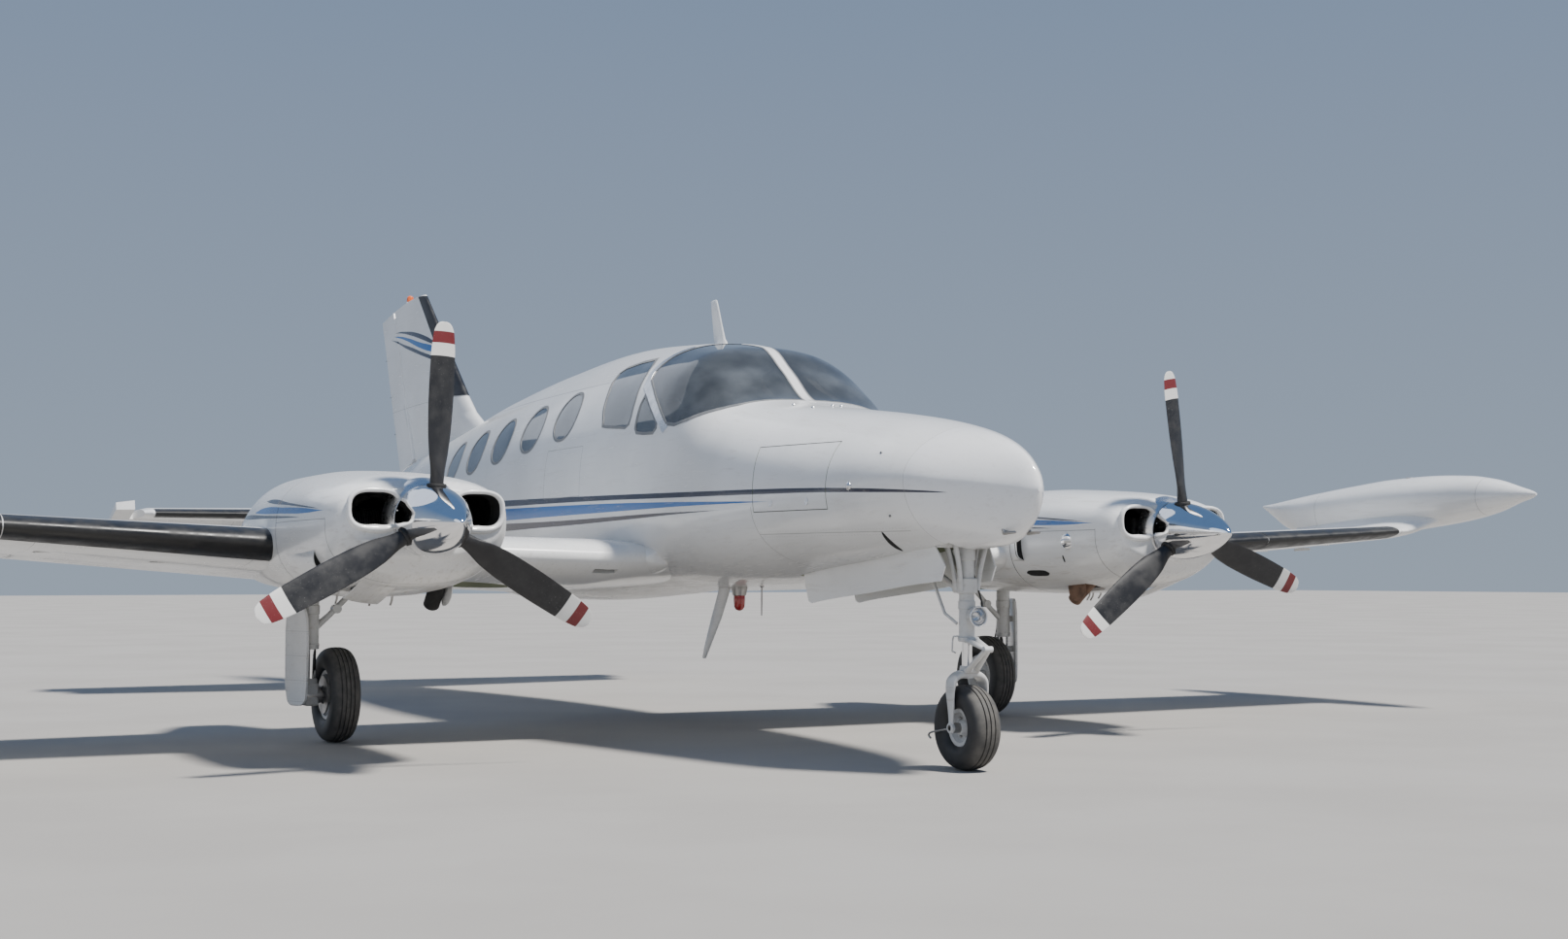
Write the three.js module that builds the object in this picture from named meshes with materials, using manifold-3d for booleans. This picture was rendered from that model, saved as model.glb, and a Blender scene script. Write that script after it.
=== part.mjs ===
// A pressurised twin piston light aircraft, parked on its three-wheel landing gear.
// Millimetres. The nose points to -Y, the tail to +Y, the left wing to +X, and +Z is up.
// The origin is on the ground, below the middle of the whole length and span.
import * as THREE from "three";
import { mergeVertices } from "three/addons/utils/BufferGeometryUtils.js";
import Module from "manifold-3d";

const wasm = await Module();
wasm.setup();

// Clearances
const GAP = 0.4;
const MOVING_GAP = 6;
const FAR = 9000;
const PIN = 5;
const PIN_REACH = 40;

// Fuselage
const RING_POINTS = 20;
const CABIN_WALL = 50;
const THIN_WALL = 26;
const TAIL_WALL = 14;
const BULKHEAD = 16;
const RADOME_JOINT_Y = -4600;
const CABIN_FRONT_Y = -2960;
const CABIN_REAR_Y = 1900;
const SILL_Z = 1300;
const CANT_RAIL_Z = 2284;
const FLOOR_MIDDLE_Y = -1500;
const FLOOR_MIDDLE_Z = 1205;
const FLOOR_SLOPE = 0.061;
const FLOOR_THICK = 22;
const GLASS_STRIP = 6;
const PANE = 12;
const POST_HALF = 32;

// Doors and lids
const DOOR_FRONT_Y = 1065;
const DOOR_REAR_Y = 1705;
const DOOR_BOTTOM_Z = 1020;
const DOOR_SPLIT_Z = 1540;
const DOOR_TOP_Z = 2055;
const DOOR_GAP = 8;
const NOSE_DOOR = { front: -4060, rear: -3440, low: 1290, high: 1640 };
const NOSE_DOOR_GAP = 8;
const NOSE_DOOR_MIDDLE_Z = (NOSE_DOOR.low + NOSE_DOOR.high) / 2;
const NOSE_WELL = { front: -4620, rear: -3140, half: 165, top: 1270 };
const NOSE_GEAR_DOOR = { front: -4480, rear: -3180, drop: 165 };
const LOCKER = { front: -1660, rear: -990, half: 215 };

// Wing, tip tanks and tail surfaces
const WING_TIP_X = 5570;
const HINGE_SHARE = 0.76;
const FLAP_END_SHARE = 0.93;
const FLAP_THICK = 12;
const FLAPS = [[905, 1900], [2810, 3985]];
const AILERON = { inner: 4010, outer: 5500 };
const TANK_X = 5870;
const FIN_TOP = { front: 3440, rear: 3276 };
const RUDDER_HEEL_Z = 1884;
const rudderHinge = [[0, 4050, 1975], [0, 4668, 3300]];
const RUDDER_NOSE = [56, 40];
const RUDDER_PIVOT = 9;
const ELEVATOR_HINGE_Y = 4060;
const ELEVATOR_HINGE_Z = 1447;
const ELEVATOR_DROOP = 17;

// Engines and propellers
const ENGINE_X = 2356;
const PROP_Y = -3405;
const PROP_Z = 1226;
const THRUST_TILT = THREE.MathUtils.degToRad(2.9);
const HUB_REAR = 80;
const SPINNER_REACH = 402;
const SPINNER_WALL = 6;
const BACKPLATE = 165.8;
const BLADE_HOLE = 50;
const LEFT_BLADE_PHASE = -9.3;
const RIGHT_BLADE_PHASE = 1.4;
const COWL_FRONT_Y = -3280;
const COWL_REAR_Y = -2260;
const COWL_WALL = 20;
const NACELLE_WALL = 24;
const INLET = { across: 258, z: 1274, halfWidth: 122, halfHeight: 92 };

// Landing gear
const MAIN_WHEEL_X = 2270;
const MAIN_AXLE_Y = -1413;
const MAIN_TYRE_RADIUS = 274;
const MAIN_TYRE_HALF = 84;
const MAIN_LEG_X = 2418;
const LEG_DOOR = { half: 105, low: 215, high: 800, toe: 20 };
const LEG_WELL_HALF = 85;
const LEG_WELL_TOP = 1035;
const WHEEL_WELL_X = 1560;
const WHEEL_WELL_TOP = 1060;
const WELL_SKIN = 14;
const NOSE_AXLE_Y = -4525;
const NOSE_TYRE_RADIUS = 211;
const NOSE_TYRE_HALF = 80;
const NOSE_LEG_Y = -4528;
const NOSE_PISTON_TOP = 632;
const AXLE_RADIUS = 20;
const WHEEL_FACETS = 32;
const RIM_FACETS = 16;

// Cabin furniture
const SEAT_X = 330;
const SEAT_WIDTH = 440;
const PANEL_Y = -2560;
const SEAT_ROWS = [
  // y, side that the back is on: +1 behind, -1 in front
  [-1900, 1],
  [-950, -1],
  [250, 1],
  [1300, 1],
];

// Paint and finishes, each with its colour, roughness and metalness
const finishes = {
  white: new THREE.MeshStandardMaterial({ color: 0xf2f2f0, roughness: 0.18, metalness: 0.0 }),
  liner: new THREE.MeshStandardMaterial({ color: 0xb9b2a4, roughness: 0.8, metalness: 0.0 }),
  glass: new THREE.MeshStandardMaterial({ color: 0x2a3036, roughness: 0.05, metalness: 0.0 }),
  chrome: new THREE.MeshStandardMaterial({ color: 0xd8d8d8, roughness: 0.06, metalness: 1.0 }),
  blade: new THREE.MeshStandardMaterial({ color: 0x17181a, roughness: 0.5, metalness: 0.1 }),
  iron: new THREE.MeshStandardMaterial({ color: 0x4a4846, roughness: 0.6, metalness: 0.6 }),
  gear: new THREE.MeshStandardMaterial({ color: 0xd9dadb, roughness: 0.3, metalness: 0.2 }),
  rubber: new THREE.MeshStandardMaterial({ color: 0x141414, roughness: 0.85, metalness: 0.0 }),
  leather: new THREE.MeshStandardMaterial({ color: 0x8c7c6a, roughness: 0.7, metalness: 0.0 }),
  panel: new THREE.MeshStandardMaterial({ color: 0x202224, roughness: 0.7, metalness: 0.0 }),
};

// Solids from three.js geometry, and back

function toSolid(geometry) {
  const bare = geometry.index ? geometry.toNonIndexed() : geometry.clone();
  bare.deleteAttribute("normal");
  bare.deleteAttribute("uv");
  const merged = mergeVertices(bare, 1e-3);
  const points = merged.attributes.position;
  const corner = (i) => new THREE.Vector3().fromBufferAttribute(points, i);
  const faces = new Uint32Array(merged.index.array);
  let volume = 0;
  for (let i = 0; i < faces.length; i += 3) {
    volume += corner(faces[i]).dot(corner(faces[i + 1]).cross(corner(faces[i + 2])));
  }
  if (volume < 0) faces.reverse();
  const source = new wasm.Mesh({
    numProp: 3,
    vertProperties: new Float32Array(points.array),
    triVerts: faces,
  });
  return new wasm.Manifold(source);
}

const aircraft = new THREE.Group();

function addPiece(name, solid, finish) {
  const source = solid.getMesh();
  const geometry = new THREE.BufferGeometry();
  const points = new Float32Array(source.numVert * 3);
  for (let i = 0; i < source.numVert; i += 1) {
    for (let k = 0; k < 3; k += 1) {
      points[i * 3 + k] = source.vertProperties[i * source.numProp + k];
    }
  }
  geometry.setAttribute("position", new THREE.BufferAttribute(points, 3));
  geometry.setIndex(new THREE.BufferAttribute(new Uint32Array(source.triVerts), 1));
  geometry.computeVertexNormals();
  const mesh = new THREE.Mesh(geometry, finishes[finish]);
  mesh.name = name;
  aircraft.add(mesh);
}

function moved(geometry, x, y, z) {
  return geometry.clone().translate(x, y, z);
}

// A box from its lowest to its highest corner
function box(x0, y0, z0, x1, y1, z1) {
  const geometry = new THREE.BoxGeometry(x1 - x0, y1 - y0, z1 - z0);
  return toSolid(moved(geometry, (x0 + x1) / 2, (y0 + y1) / 2, (z0 + z1) / 2));
}

// A round bar between two points, with its own radius at each end
function bar(from, to, radiusFrom, radiusTo = radiusFrom, sides = 12) {
  const start = new THREE.Vector3(...from);
  const end = new THREE.Vector3(...to);
  const span = new THREE.Vector3().subVectors(end, start);
  const geometry = new THREE.CylinderGeometry(radiusTo, radiusFrom, span.length(), sides);
  const turn = new THREE.Quaternion().setFromUnitVectors(
    new THREE.Vector3(0, 1, 0),
    span.clone().normalize(),
  );
  geometry.applyQuaternion(turn);
  const middle = start.add(end).multiplyScalar(0.5);
  return toSolid(geometry.translate(middle.x, middle.y, middle.z));
}

// A closed skin through rings that have the same number of points, with fans at both ends
function loft(rings) {
  const count = rings[0].length;
  const points = rings.flat();
  const faces = [];
  for (let r = 0; r + 1 < rings.length; r += 1) {
    const middleX = rings[r].reduce((sum, point) => sum + point.x / count, 0);
    for (let i = 0; i < count; i += 1) {
      const a = r * count + i;
      const b = r * count + ((i + 1) % count);
      // The diagonals mirror each other, so that a body's two halves match
      const mirror = points[a].x + points[b].x < 2 * middleX;
      if (mirror) faces.push([a, b, b + count], [a, b + count, a + count]);
      else faces.push([a, b, a + count], [b, b + count, a + count]);
    }
  }
  for (const [ring, start, flip] of [[rings[0], 0, true], [rings.at(-1), (rings.length - 1) * count, false]]) {
    const middle = new THREE.Vector3();
    ring.forEach((point) => middle.add(point));
    points.push(middle.divideScalar(count));
    const hub = points.length - 1;
    for (let i = 0; i < count; i += 1) {
      const a = start + i;
      const b = start + ((i + 1) % count);
      faces.push(flip ? [b, a, hub] : [a, b, hub]);
    }
  }
  const geometry = new THREE.BufferGeometry().setFromPoints(points);
  geometry.setIndex(faces.flat());
  return toSolid(geometry);
}

// A flat outline pushed through the object. plane "yz" pushes along X, "xy" along Z, "xz" along Y.
function prism(outline, plane, from, to) {
  const shape = new THREE.Shape(outline.map(([a, b]) => new THREE.Vector2(a, b)));
  const geometry = new THREE.ExtrudeGeometry(shape, { depth: to - from, bevelEnabled: false });
  geometry.translate(0, 0, from);
  if (plane === "yz") {
    geometry.applyMatrix4(new THREE.Matrix4().set(0, 0, 1, 0, 1, 0, 0, 0, 0, 1, 0, 0, 0, 0, 0, 1));
  }
  if (plane === "xz") {
    geometry.applyMatrix4(new THREE.Matrix4().set(1, 0, 0, 0, 0, 0, -1, 0, 0, 1, 0, 0, 0, 0, 0, 1));
  }
  return toSolid(geometry);
}

// A closed wheel or bush turned about an X axis line through (y, z). Rows are [radius, x].
// The facets are turned so that a flat one is lowest.
function turned(rows, y, z, facets) {
  const profile = rows.map(([radius, x]) => new THREE.Vector2(radius, x));
  const geometry = new THREE.LatheGeometry(profile, facets);
  geometry.rotateY(Math.PI / facets);
  geometry.applyMatrix4(new THREE.Matrix4().set(0, 1, 0, 0, 1, 0, 0, 0, 0, 0, -1, 0, 0, 0, 0, 1));
  const solid = toSolid(geometry);
  return solid.translate([0, y, z]);
}

function oval(a, b, halfWidth, halfHeight, count, grow = 0) {
  const outline = [];
  for (let i = 0; i < count; i += 1) {
    const angle = (2 * Math.PI * i) / count;
    outline.push([a + (halfWidth + grow) * Math.cos(angle), b + (halfHeight + grow) * Math.sin(angle)]);
  }
  return outline;
}

function mirrored(solid) {
  return solid.mirror([1, 0, 0]);
}

function linear(table, at, column) {
  const first = table[0];
  const last = table.at(-1);
  if (at <= first[0]) return first[column];
  if (at >= last[0]) return last[column];
  const next = table.findIndex((row) => row[0] > at);
  const [low, high] = [table[next - 1], table[next]];
  const share = (at - low[0]) / (high[0] - low[0]);
  return low[column] + share * (high[column] - low[column]);
}

// One ring of a body: a superellipse with its own height above and below the widest line
function bodyRing(y, centreX, row, inset, count = RING_POINTS) {
  const [top, bottom, half, belt, above, below] = row;
  const ring = [];
  for (let i = 0; i < count; i += 1) {
    const angle = (2 * Math.PI * (i + 0.5)) / count;
    const across = Math.cos(angle);
    const up = Math.sin(angle);
    const height = up > 0 ? top - inset - belt : belt - bottom - inset;
    const power = up > 0 ? above : below;
    const x = (half - inset) * Math.sign(across) * Math.abs(across) ** (2 / power);
    const z = belt + height * Math.sign(up) * Math.abs(up) ** (2 / power);
    ring.push(new THREE.Vector3(centreX + x, y, z));
  }
  return ring;
}

// Fuselage stations
const fuselage = [
  // y, top, bottom, half width, height of the widest line, roundness above it, roundness below it
  [-5145, 1374, 1346, 12, 1360, 2.0, 2.0],
  [-5115, 1448, 1258, 42, 1356, 1.8, 1.8],
  [-5015, 1543, 1165, 112, 1352, 1.75, 1.8],
  [-4840, 1626, 1100, 240, 1350, 1.8, 1.9],
  [-4600, 1693, 1085, 398, 1350, 1.9, 2.0],
  [-4300, 1752, 1066, 490, 1352, 2.0, 2.15],
  [-3900, 1812, 1028, 560, 1362, 2.15, 2.3],
  [-3400, 1876, 984, 630, 1385, 2.5, 2.4],
  [-2960, 1950, 930, 684, 1405, 3.0, 2.45],
  [-2700, 2136, 912, 714, 1420, 3.1, 2.45],
  [-2440, 2306, 900, 734, 1430, 2.85, 2.45],
  [-1860, 2384, 880, 750, 1440, 2.5, 2.4],
  [-1050, 2428, 828, 754, 1440, 2.2, 2.35],
  [-100, 2384, 790, 750, 1430, 2.1, 2.3],
  [900, 2300, 792, 706, 1420, 2.05, 2.25],
  [1900, 2182, 900, 592, 1420, 2.05, 2.2],
  [2900, 2075, 1080, 432, 1450, 2.05, 2.1],
  [3900, 1970, 1260, 262, 1520, 2.0, 2.0],
  [4540, 1870, 1400, 120, 1600, 2.0, 2.0],
];

function fuselageBody(inset) {
  return loft(fuselage.map(([y, ...row]) => bodyRing(y, 0, row, inset)));
}

// A table's row at any station between its first and last, without the station itself
function rowAt(table, y) {
  return [1, 2, 3, 4, 5, 6].map((column) => linear(table, y, column));
}

// The inner skin stops short where the body gets too slim for a wall
function fuselageInside(inset, from, to) {
  const stations = [from, ...fuselage.map((row) => row[0]).filter((y) => y > from && y < to), to];
  return loft(stations.map((y) => bodyRing(y, 0, rowAt(fuselage, y), inset)));
}

const outerBody = fuselageBody(0);
const slab = (from, to) => box(-FAR, from, -FAR, FAR, to, FAR);

// Wing: an aerofoil that tapers, twists and rises towards its tip
const wingStations = [
  // x, leading edge y, leading edge z, chord, drop of the trailing edge, thickness share
  [GAP / 2, -2250, 1060, 1730, 190, 0.12],
  [700, -2240, 1060, 1715, 200, 0.15],
  [900, -2232, 1060, 1690, 203, 0.165],
  [ENGINE_X, -2200, 1105, 1530, 185, 0.155],
  [WING_TIP_X, -2135, 1290, 1190, 108, 0.088],
];
const CAMBER = 0.02;
const SECTION_SHARES = [1, 0.76, 0.5, 0.28, 0.12, 0.04, 0.01];

function halfThickness(share) {
  const root = Math.sqrt(share);
  const curve = 0.2969 * root - 0.126 * share - 0.3516 * share ** 2 + 0.2843 * share ** 3;
  return 5 * (curve - 0.1015 * share ** 4);
}

function aerofoil(leadY, leadZ, chord, drop, thick, grow) {
  const at = (share, side) => {
    const camber = CAMBER * chord * 4 * share * (1 - share);
    const offset = Math.max(thick * chord * halfThickness(share) + grow, 1.5);
    return [leadY - grow + (chord + 2 * grow) * share, leadZ - drop * share + camber + side * offset];
  };
  const upper = SECTION_SHARES.map((share) => at(share, 1));
  const lower = [...SECTION_SHARES].reverse().map((share) => at(share, -1));
  return [...upper, [leadY - grow, leadZ], ...lower];
}

function wingLoft(stations, grow = 0) {
  return loft(stations.map(([x, leadY, leadZ, chord, drop, thick]) =>
    aerofoil(leadY, leadZ, chord, drop, thick, grow).map(([y, z]) => new THREE.Vector3(x, y, z))));
}

// How far the mean line lifts, and half the thickness, at a share of the chord
function surfaceCamber(stations, x, share) {
  return CAMBER * linear(stations, x, 3) * 4 * share * (1 - share);
}

function surfaceHalf(stations, x, share) {
  return linear(stations, x, 5) * linear(stations, x, 3) * halfThickness(share);
}

// The y and z of a wing's chord line at a share of its chord
function wingLine(stations, x, share) {
  const [leadY, leadZ, chord, drop] = [1, 2, 3, 4].map((column) => linear(stations, x, column));
  return [leadY + chord * share, leadZ - drop * share];
}

const tailStations = [
  // x, leading edge y, leading edge z, chord, drop of the trailing edge, thickness share
  [-20, 3060, 1452, 1470, 50, 0.10],
  [380, 3120, 1452, 1390, 48, 0.10],
  [2380, 3440, 1455, 980, 34, 0.09],
  [2432, 3500, 1455, 900, 32, 0.07],
];


const finStations = [
  // z, leading edge y, trailing edge y, thickness share
  [1800, 2100, 4519, 0.07],
  [2170, 2340, 4674, 0.07],
  [2300, 2600, 4729, 0.08],
  [2444, 2790, 4790, 0.09],
  [3450, 3918, 5199, 0.085],
];

const tankStations = [
  // y, top, bottom, half width, height of the widest line, roundness above it, roundness below it
  [-3042, 1545, 1527, 9, 1536, 2.0, 2.0],
  [-2910, 1592, 1483, 62, 1535, 2.0, 2.0],
  [-2700, 1655, 1415, 126, 1531, 2.0, 2.0],
  [-2450, 1692, 1364, 172, 1526, 2.0, 2.0],
  [-2110, 1706, 1322, 200, 1520, 2.0, 2.0],
  [-1750, 1696, 1288, 207, 1512, 2.0, 2.0],
  [-1335, 1661, 1266, 184, 1500, 2.0, 2.0],
  [-860, 1610, 1262, 138, 1488, 2.0, 1.9],
  [-560, 1572, 1352, 84, 1500, 2.0, 1.8],
  [-400, 1551, 1448, 44, 1515, 2.0, 1.8],
  [-275, 1539, 1524, 9, 1531, 2.0, 2.0],
];

const bladeStations = [
  // distance from the hub, chord, thickness, angle from the disc
  [60, 76, 70, 40],
  [200, 84, 60, 38],
  [330, 140, 34, 32],
  [560, 160, 20, 24],
  [780, 148, 14, 19],
  [910, 122, 10, 16],
  [972, 60, 7, 15],
];

// Spinner outline from the tip: y from the blades, radius
const SPINNER_OUTER = [[-392, 22], [-340, 62], [-240, 112], [-120, 150], [0, 172], [85, 176]];

// Nacelle: the cowling, and the part behind it that carries the wing locker
const nacelleStations = [
  // y, top, bottom, half width, height of the widest line, roundness above it, roundness below it
  [COWL_FRONT_Y, 1394, 1040, 398, 1240, 2.7, 2.5],
  [-3215, 1432, 958, 440, 1232, 2.7, 2.5],
  [-3040, 1466, 893, 474, 1222, 2.7, 2.5],
  [-2650, 1500, 850, 488, 1210, 2.7, 2.5],
  [COWL_REAR_Y, 1518, 842, 486, 1200, 2.6, 2.5],
  [-1700, 1520, 850, 468, 1190, 2.5, 2.4],
  [-950, 1420, 878, 378, 1132, 2.35, 2.3],
  [-600, 1300, 897, 292, 1082, 2.2, 2.2],
  [-260, 1130, 940, 170, 1035, 2.0, 2.0],
];

function nacelleBody(inset, from = COWL_FRONT_Y, to = -260) {
  const count = inset > 0 ? 12 : RING_POINTS;
  const stations = [from, ...nacelleStations.map((row) => row[0]).filter((y) => y > from && y < to), to];
  return loft(stations.map((y) => bodyRing(y, ENGINE_X, rowAt(nacelleStations, y), inset, count)));
}

// One ring of a body's skin at any station, about its own centre line
function skinRing(table, y) {
  return bodyRing(y, 0, rowAt(table, y), 0);
}

// How far left of its centre line a body's skin lies, at a height
function skinX(table, y, z) {
  const left = skinRing(table, y).filter((point) => point.x > 0).sort((a, b) => a.z - b.z);
  return linear(left.map((point) => [point.z, point.x]), z, 1);
}

// The height of a body's upper skin, or its lower skin, at a distance from its centre line
function skinZ(table, y, across, side = 1) {
  const belt = linear(table, y, 4);
  const half = skinRing(table, y).filter((point) => (point.z - belt) * side > 0).sort((a, b) => a.x - b.x);
  return linear(half.map((point) => [point.x, point.z]), across, 1);
}

// Two short pins on a hinge line, reaching almost to the walls at its two ends
function hingePins([from, to], radius, length, clear = GAP + 0.13 * radius) {
  const start = new THREE.Vector3(...from);
  const end = new THREE.Vector3(...to);
  const along = new THREE.Vector3().subVectors(end, start).normalize();
  const at = (point, distance) => point.clone().addScaledVector(along, distance).toArray();
  const first = bar(at(start, clear), at(start, length), radius, radius, 8);
  return first.add(bar(at(end, -length), at(end, -clear), radius, radius, 8));
}

function spun(solid, [from, to], degrees) {
  const start = new THREE.Vector3(...from);
  const along = new THREE.Vector3(...to).sub(start).normalize();
  const matrix = new THREE.Matrix4().makeTranslation(...start)
    .multiply(new THREE.Matrix4().makeRotationAxis(along, THREE.MathUtils.degToRad(degrees)))
    .multiply(new THREE.Matrix4().makeTranslation(...start.negate()));
  return solid.transform(matrix.elements);
}

// An outline with every edge moved out by the same amount
function grown(outline, amount) {
  const count = outline.length;
  const turn = outline.reduce((sum, [a, b], i) => {
    const [c, d] = outline[(i + 1) % count];
    return sum + a * d - b * c;
  }, 0);
  const normal = ([a, b], [c, d]) => {
    const length = Math.hypot(c - a, d - b) * Math.sign(turn);
    return [(d - b) / length, (a - c) / length];
  };
  return outline.map((point, i) => {
    const before = normal(outline[(i + count - 1) % count], point);
    const after = normal(point, outline[(i + 1) % count]);
    const scale = amount / (1 + before[0] * after[0] + before[1] * after[1]);
    return [point[0] + (before[0] + after[0]) * scale, point[1] + (before[1] + after[1]) * scale];
  });
}

// Window outlines: side windows as (y, z), the windshield half as (x, z)
const OVAL_HALF_LENGTH = 178;
const OVAL_HALF_HEIGHT = 152;
const ovalCentres = [[-960, 1975], [-375, 1932], [210, 1888], [795, 1845], [1385, 1800]];
const cockpitWindow = [[-1708, 1862], [-1640, 1872], [-1622, 1906], [-1572, 1975], [-1522, 2079], [-1470, 2158],
  [-1462, 2218], [-1510, 2247], [-1685, 2266], [-1872, 2268], [-1940, 2217], [-1973, 2153], [-2002, 2072],
  [-2032, 1985], [-2043, 1901], [-2038, 1857], [-1996, 1838]];
const ventWindow = [[-2148, 2015], [-2136, 1964], [-2139, 1869], [-2145, 1825], [-2175, 1795], [-2262, 1786],
  [-2388, 1781], [-2418, 1806], [-2412, 1838], [-2336, 1893], [-2245, 1956]];
const windshield = [[-2085, 2223], [-2080, 2170], [-2110, 2114], [-2225, 2047], [-2371, 1946], [-2531, 1824],
  [-2624, 1812], [-2730, 1835], [-2806, 1861], [-2886, 1891], [-2930, 1915], [-2950, 1945], [-2957, 1975],
  [-2957, 2100], [-2500, 2350], [-2205, 2370], [-2134, 2308], [-2104, 2273]];

function ovalCut(index, grow = 0) {
  const [y, z] = ovalCentres[index];
  return prism(oval(y, z, OVAL_HALF_LENGTH + grow, OVAL_HALF_HEIGHT + grow, 16), "yz", 200, 1100);
}

function sideWindowCuts(grow, ovals) {
  const cockpit = prism(grown(cockpitWindow, grow), "yz", 200, 1100);
  let cuts = cockpit.add(prism(grown(ventWindow, grow), "yz", 200, 1100));
  for (const index of ovals) {
    cuts = cuts.add(ovalCut(index, grow));
  }
  return cuts;
}

const windshieldCut = (grow) => prism(grown(windshield, grow), "yz", POST_HALF - grow, 1100);

// Floor: parallel to the cabin, which stands a little nose high
const floorZ = (y) => FLOOR_MIDDLE_Z - FLOOR_SLOPE * (y - FLOOR_MIDDLE_Y);
const floorPlate = (y0, y1, above, thick, x0, x1) => prism([[y0, floorZ(y0) + above], [y1, floorZ(y1) + above],
  [y1, floorZ(y1) + above + thick], [y0, floorZ(y0) + above + thick]], "yz", x0, x1);

// A door's opening in the left skin. Its front and rear edges are square to the skin, which tapers, so
// that the door swings past them. The skin's slope is taken at one height.
function skinSlope(front, rear, z) {
  return (skinX(fuselage, rear, z) - skinX(fuselage, front, z)) / (rear - front);
}

function squareCut(front, rear, low, high, slopeZ) {
  const slope = skinSlope(front, rear, slopeZ);
  const edge = (y, x) => [x, y - (x - skinX(fuselage, y, slopeZ)) * slope];
  return prism([edge(front, 200), edge(front, 1100), edge(rear, 1100), edge(rear, 200)], "xy", low, high);
}

// The line where such an opening's edge meets the skin at a height
function skinEdge(front, rear, z, slopeZ) {
  const slope = skinSlope(front, rear, slopeZ);
  return [front, rear].map((y) => {
    const x = skinX(fuselage, y, z);
    const at = y - (x - skinX(fuselage, y, slopeZ)) * slope;
    return [skinX(fuselage, at, z), at, z];
  });
}

// The airstair door's doorway, and its two leaves
const DOOR_MIDDLE_Z = (DOOR_BOTTOM_Z + DOOR_TOP_Z) / 2;
const doorwayCut = squareCut(DOOR_FRONT_Y, DOOR_REAR_Y, DOOR_BOTTOM_Z, DOOR_TOP_Z, DOOR_MIDDLE_Z)
  .subtract(fuselageInside(CABIN_WALL + 4 * MOVING_GAP, DOOR_FRONT_Y - 100, DOOR_REAR_Y + 100));
const doorEdge = (z) => skinEdge(DOOR_FRONT_Y, DOOR_REAR_Y, z, DOOR_MIDDLE_Z);
const airstairUpperHinge = doorEdge(DOOR_TOP_Z - MOVING_GAP);
const airstairLowerHinge = doorEdge(DOOR_BOTTOM_Z + MOVING_GAP);

const noseDoorHinge = skinEdge(NOSE_DOOR.front, NOSE_DOOR.rear, NOSE_DOOR.high - NOSE_DOOR_GAP, NOSE_DOOR_MIDDLE_Z);
const lockerHinge = [LOCKER.front, LOCKER.rear]
  .map((y) => [ENGINE_X + LOCKER.half - MOVING_GAP, y, skinZ(nacelleStations, y, LOCKER.half - MOVING_GAP)]);

function makeAirstair(shell) {
  const leaf = (low, high) => shell
    .intersect(squareCut(DOOR_FRONT_Y + DOOR_GAP, DOOR_REAR_Y - DOOR_GAP, low, high, DOOR_MIDDLE_Z));
  const upper = leaf(DOOR_SPLIT_Z + MOVING_GAP, DOOR_TOP_Z - MOVING_GAP);
  const lower = leaf(DOOR_BOTTOM_Z + MOVING_GAP, DOOR_SPLIT_Z);
  const last = ovalCentres.length - 1;
  const reach = DOOR_GAP + PIN_REACH;
  addPiece("airstair_upper", upper.subtract(ovalCut(last)).add(hingePins(airstairUpperHinge, PIN, reach)), "white");
  addPiece("airstair_glass", leaf(DOOR_SPLIT_Z, DOOR_TOP_Z).intersect(ovalCut(last, -GAP)), "glass");
  addPiece("airstair_lower", lower.add(hingePins(airstairLowerHinge, PIN, reach)), "white");
}

function bellyFittings() {
  const antenna = prism([[-1965, 892], [-1835, 884], [-1595, 443], [-1640, 443]], "yz", -8, 8);
  const beacon = bar([0, -2095, 905], [0, -2095, 800], 48).add(bar([0, -2095, 805], [0, -2095, 745], 36, 28));
  const whip = bar([0, -2383, 920], [0, -2379, 699], 6, 4, 6);
  return antenna.add(beacon).add(whip);
}

const roofAntenna = () => prism([[-1905, 2370], [-1760, 2370], [-1705, 2675], [-1772, 2675]], "yz", -9, 9);

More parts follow.
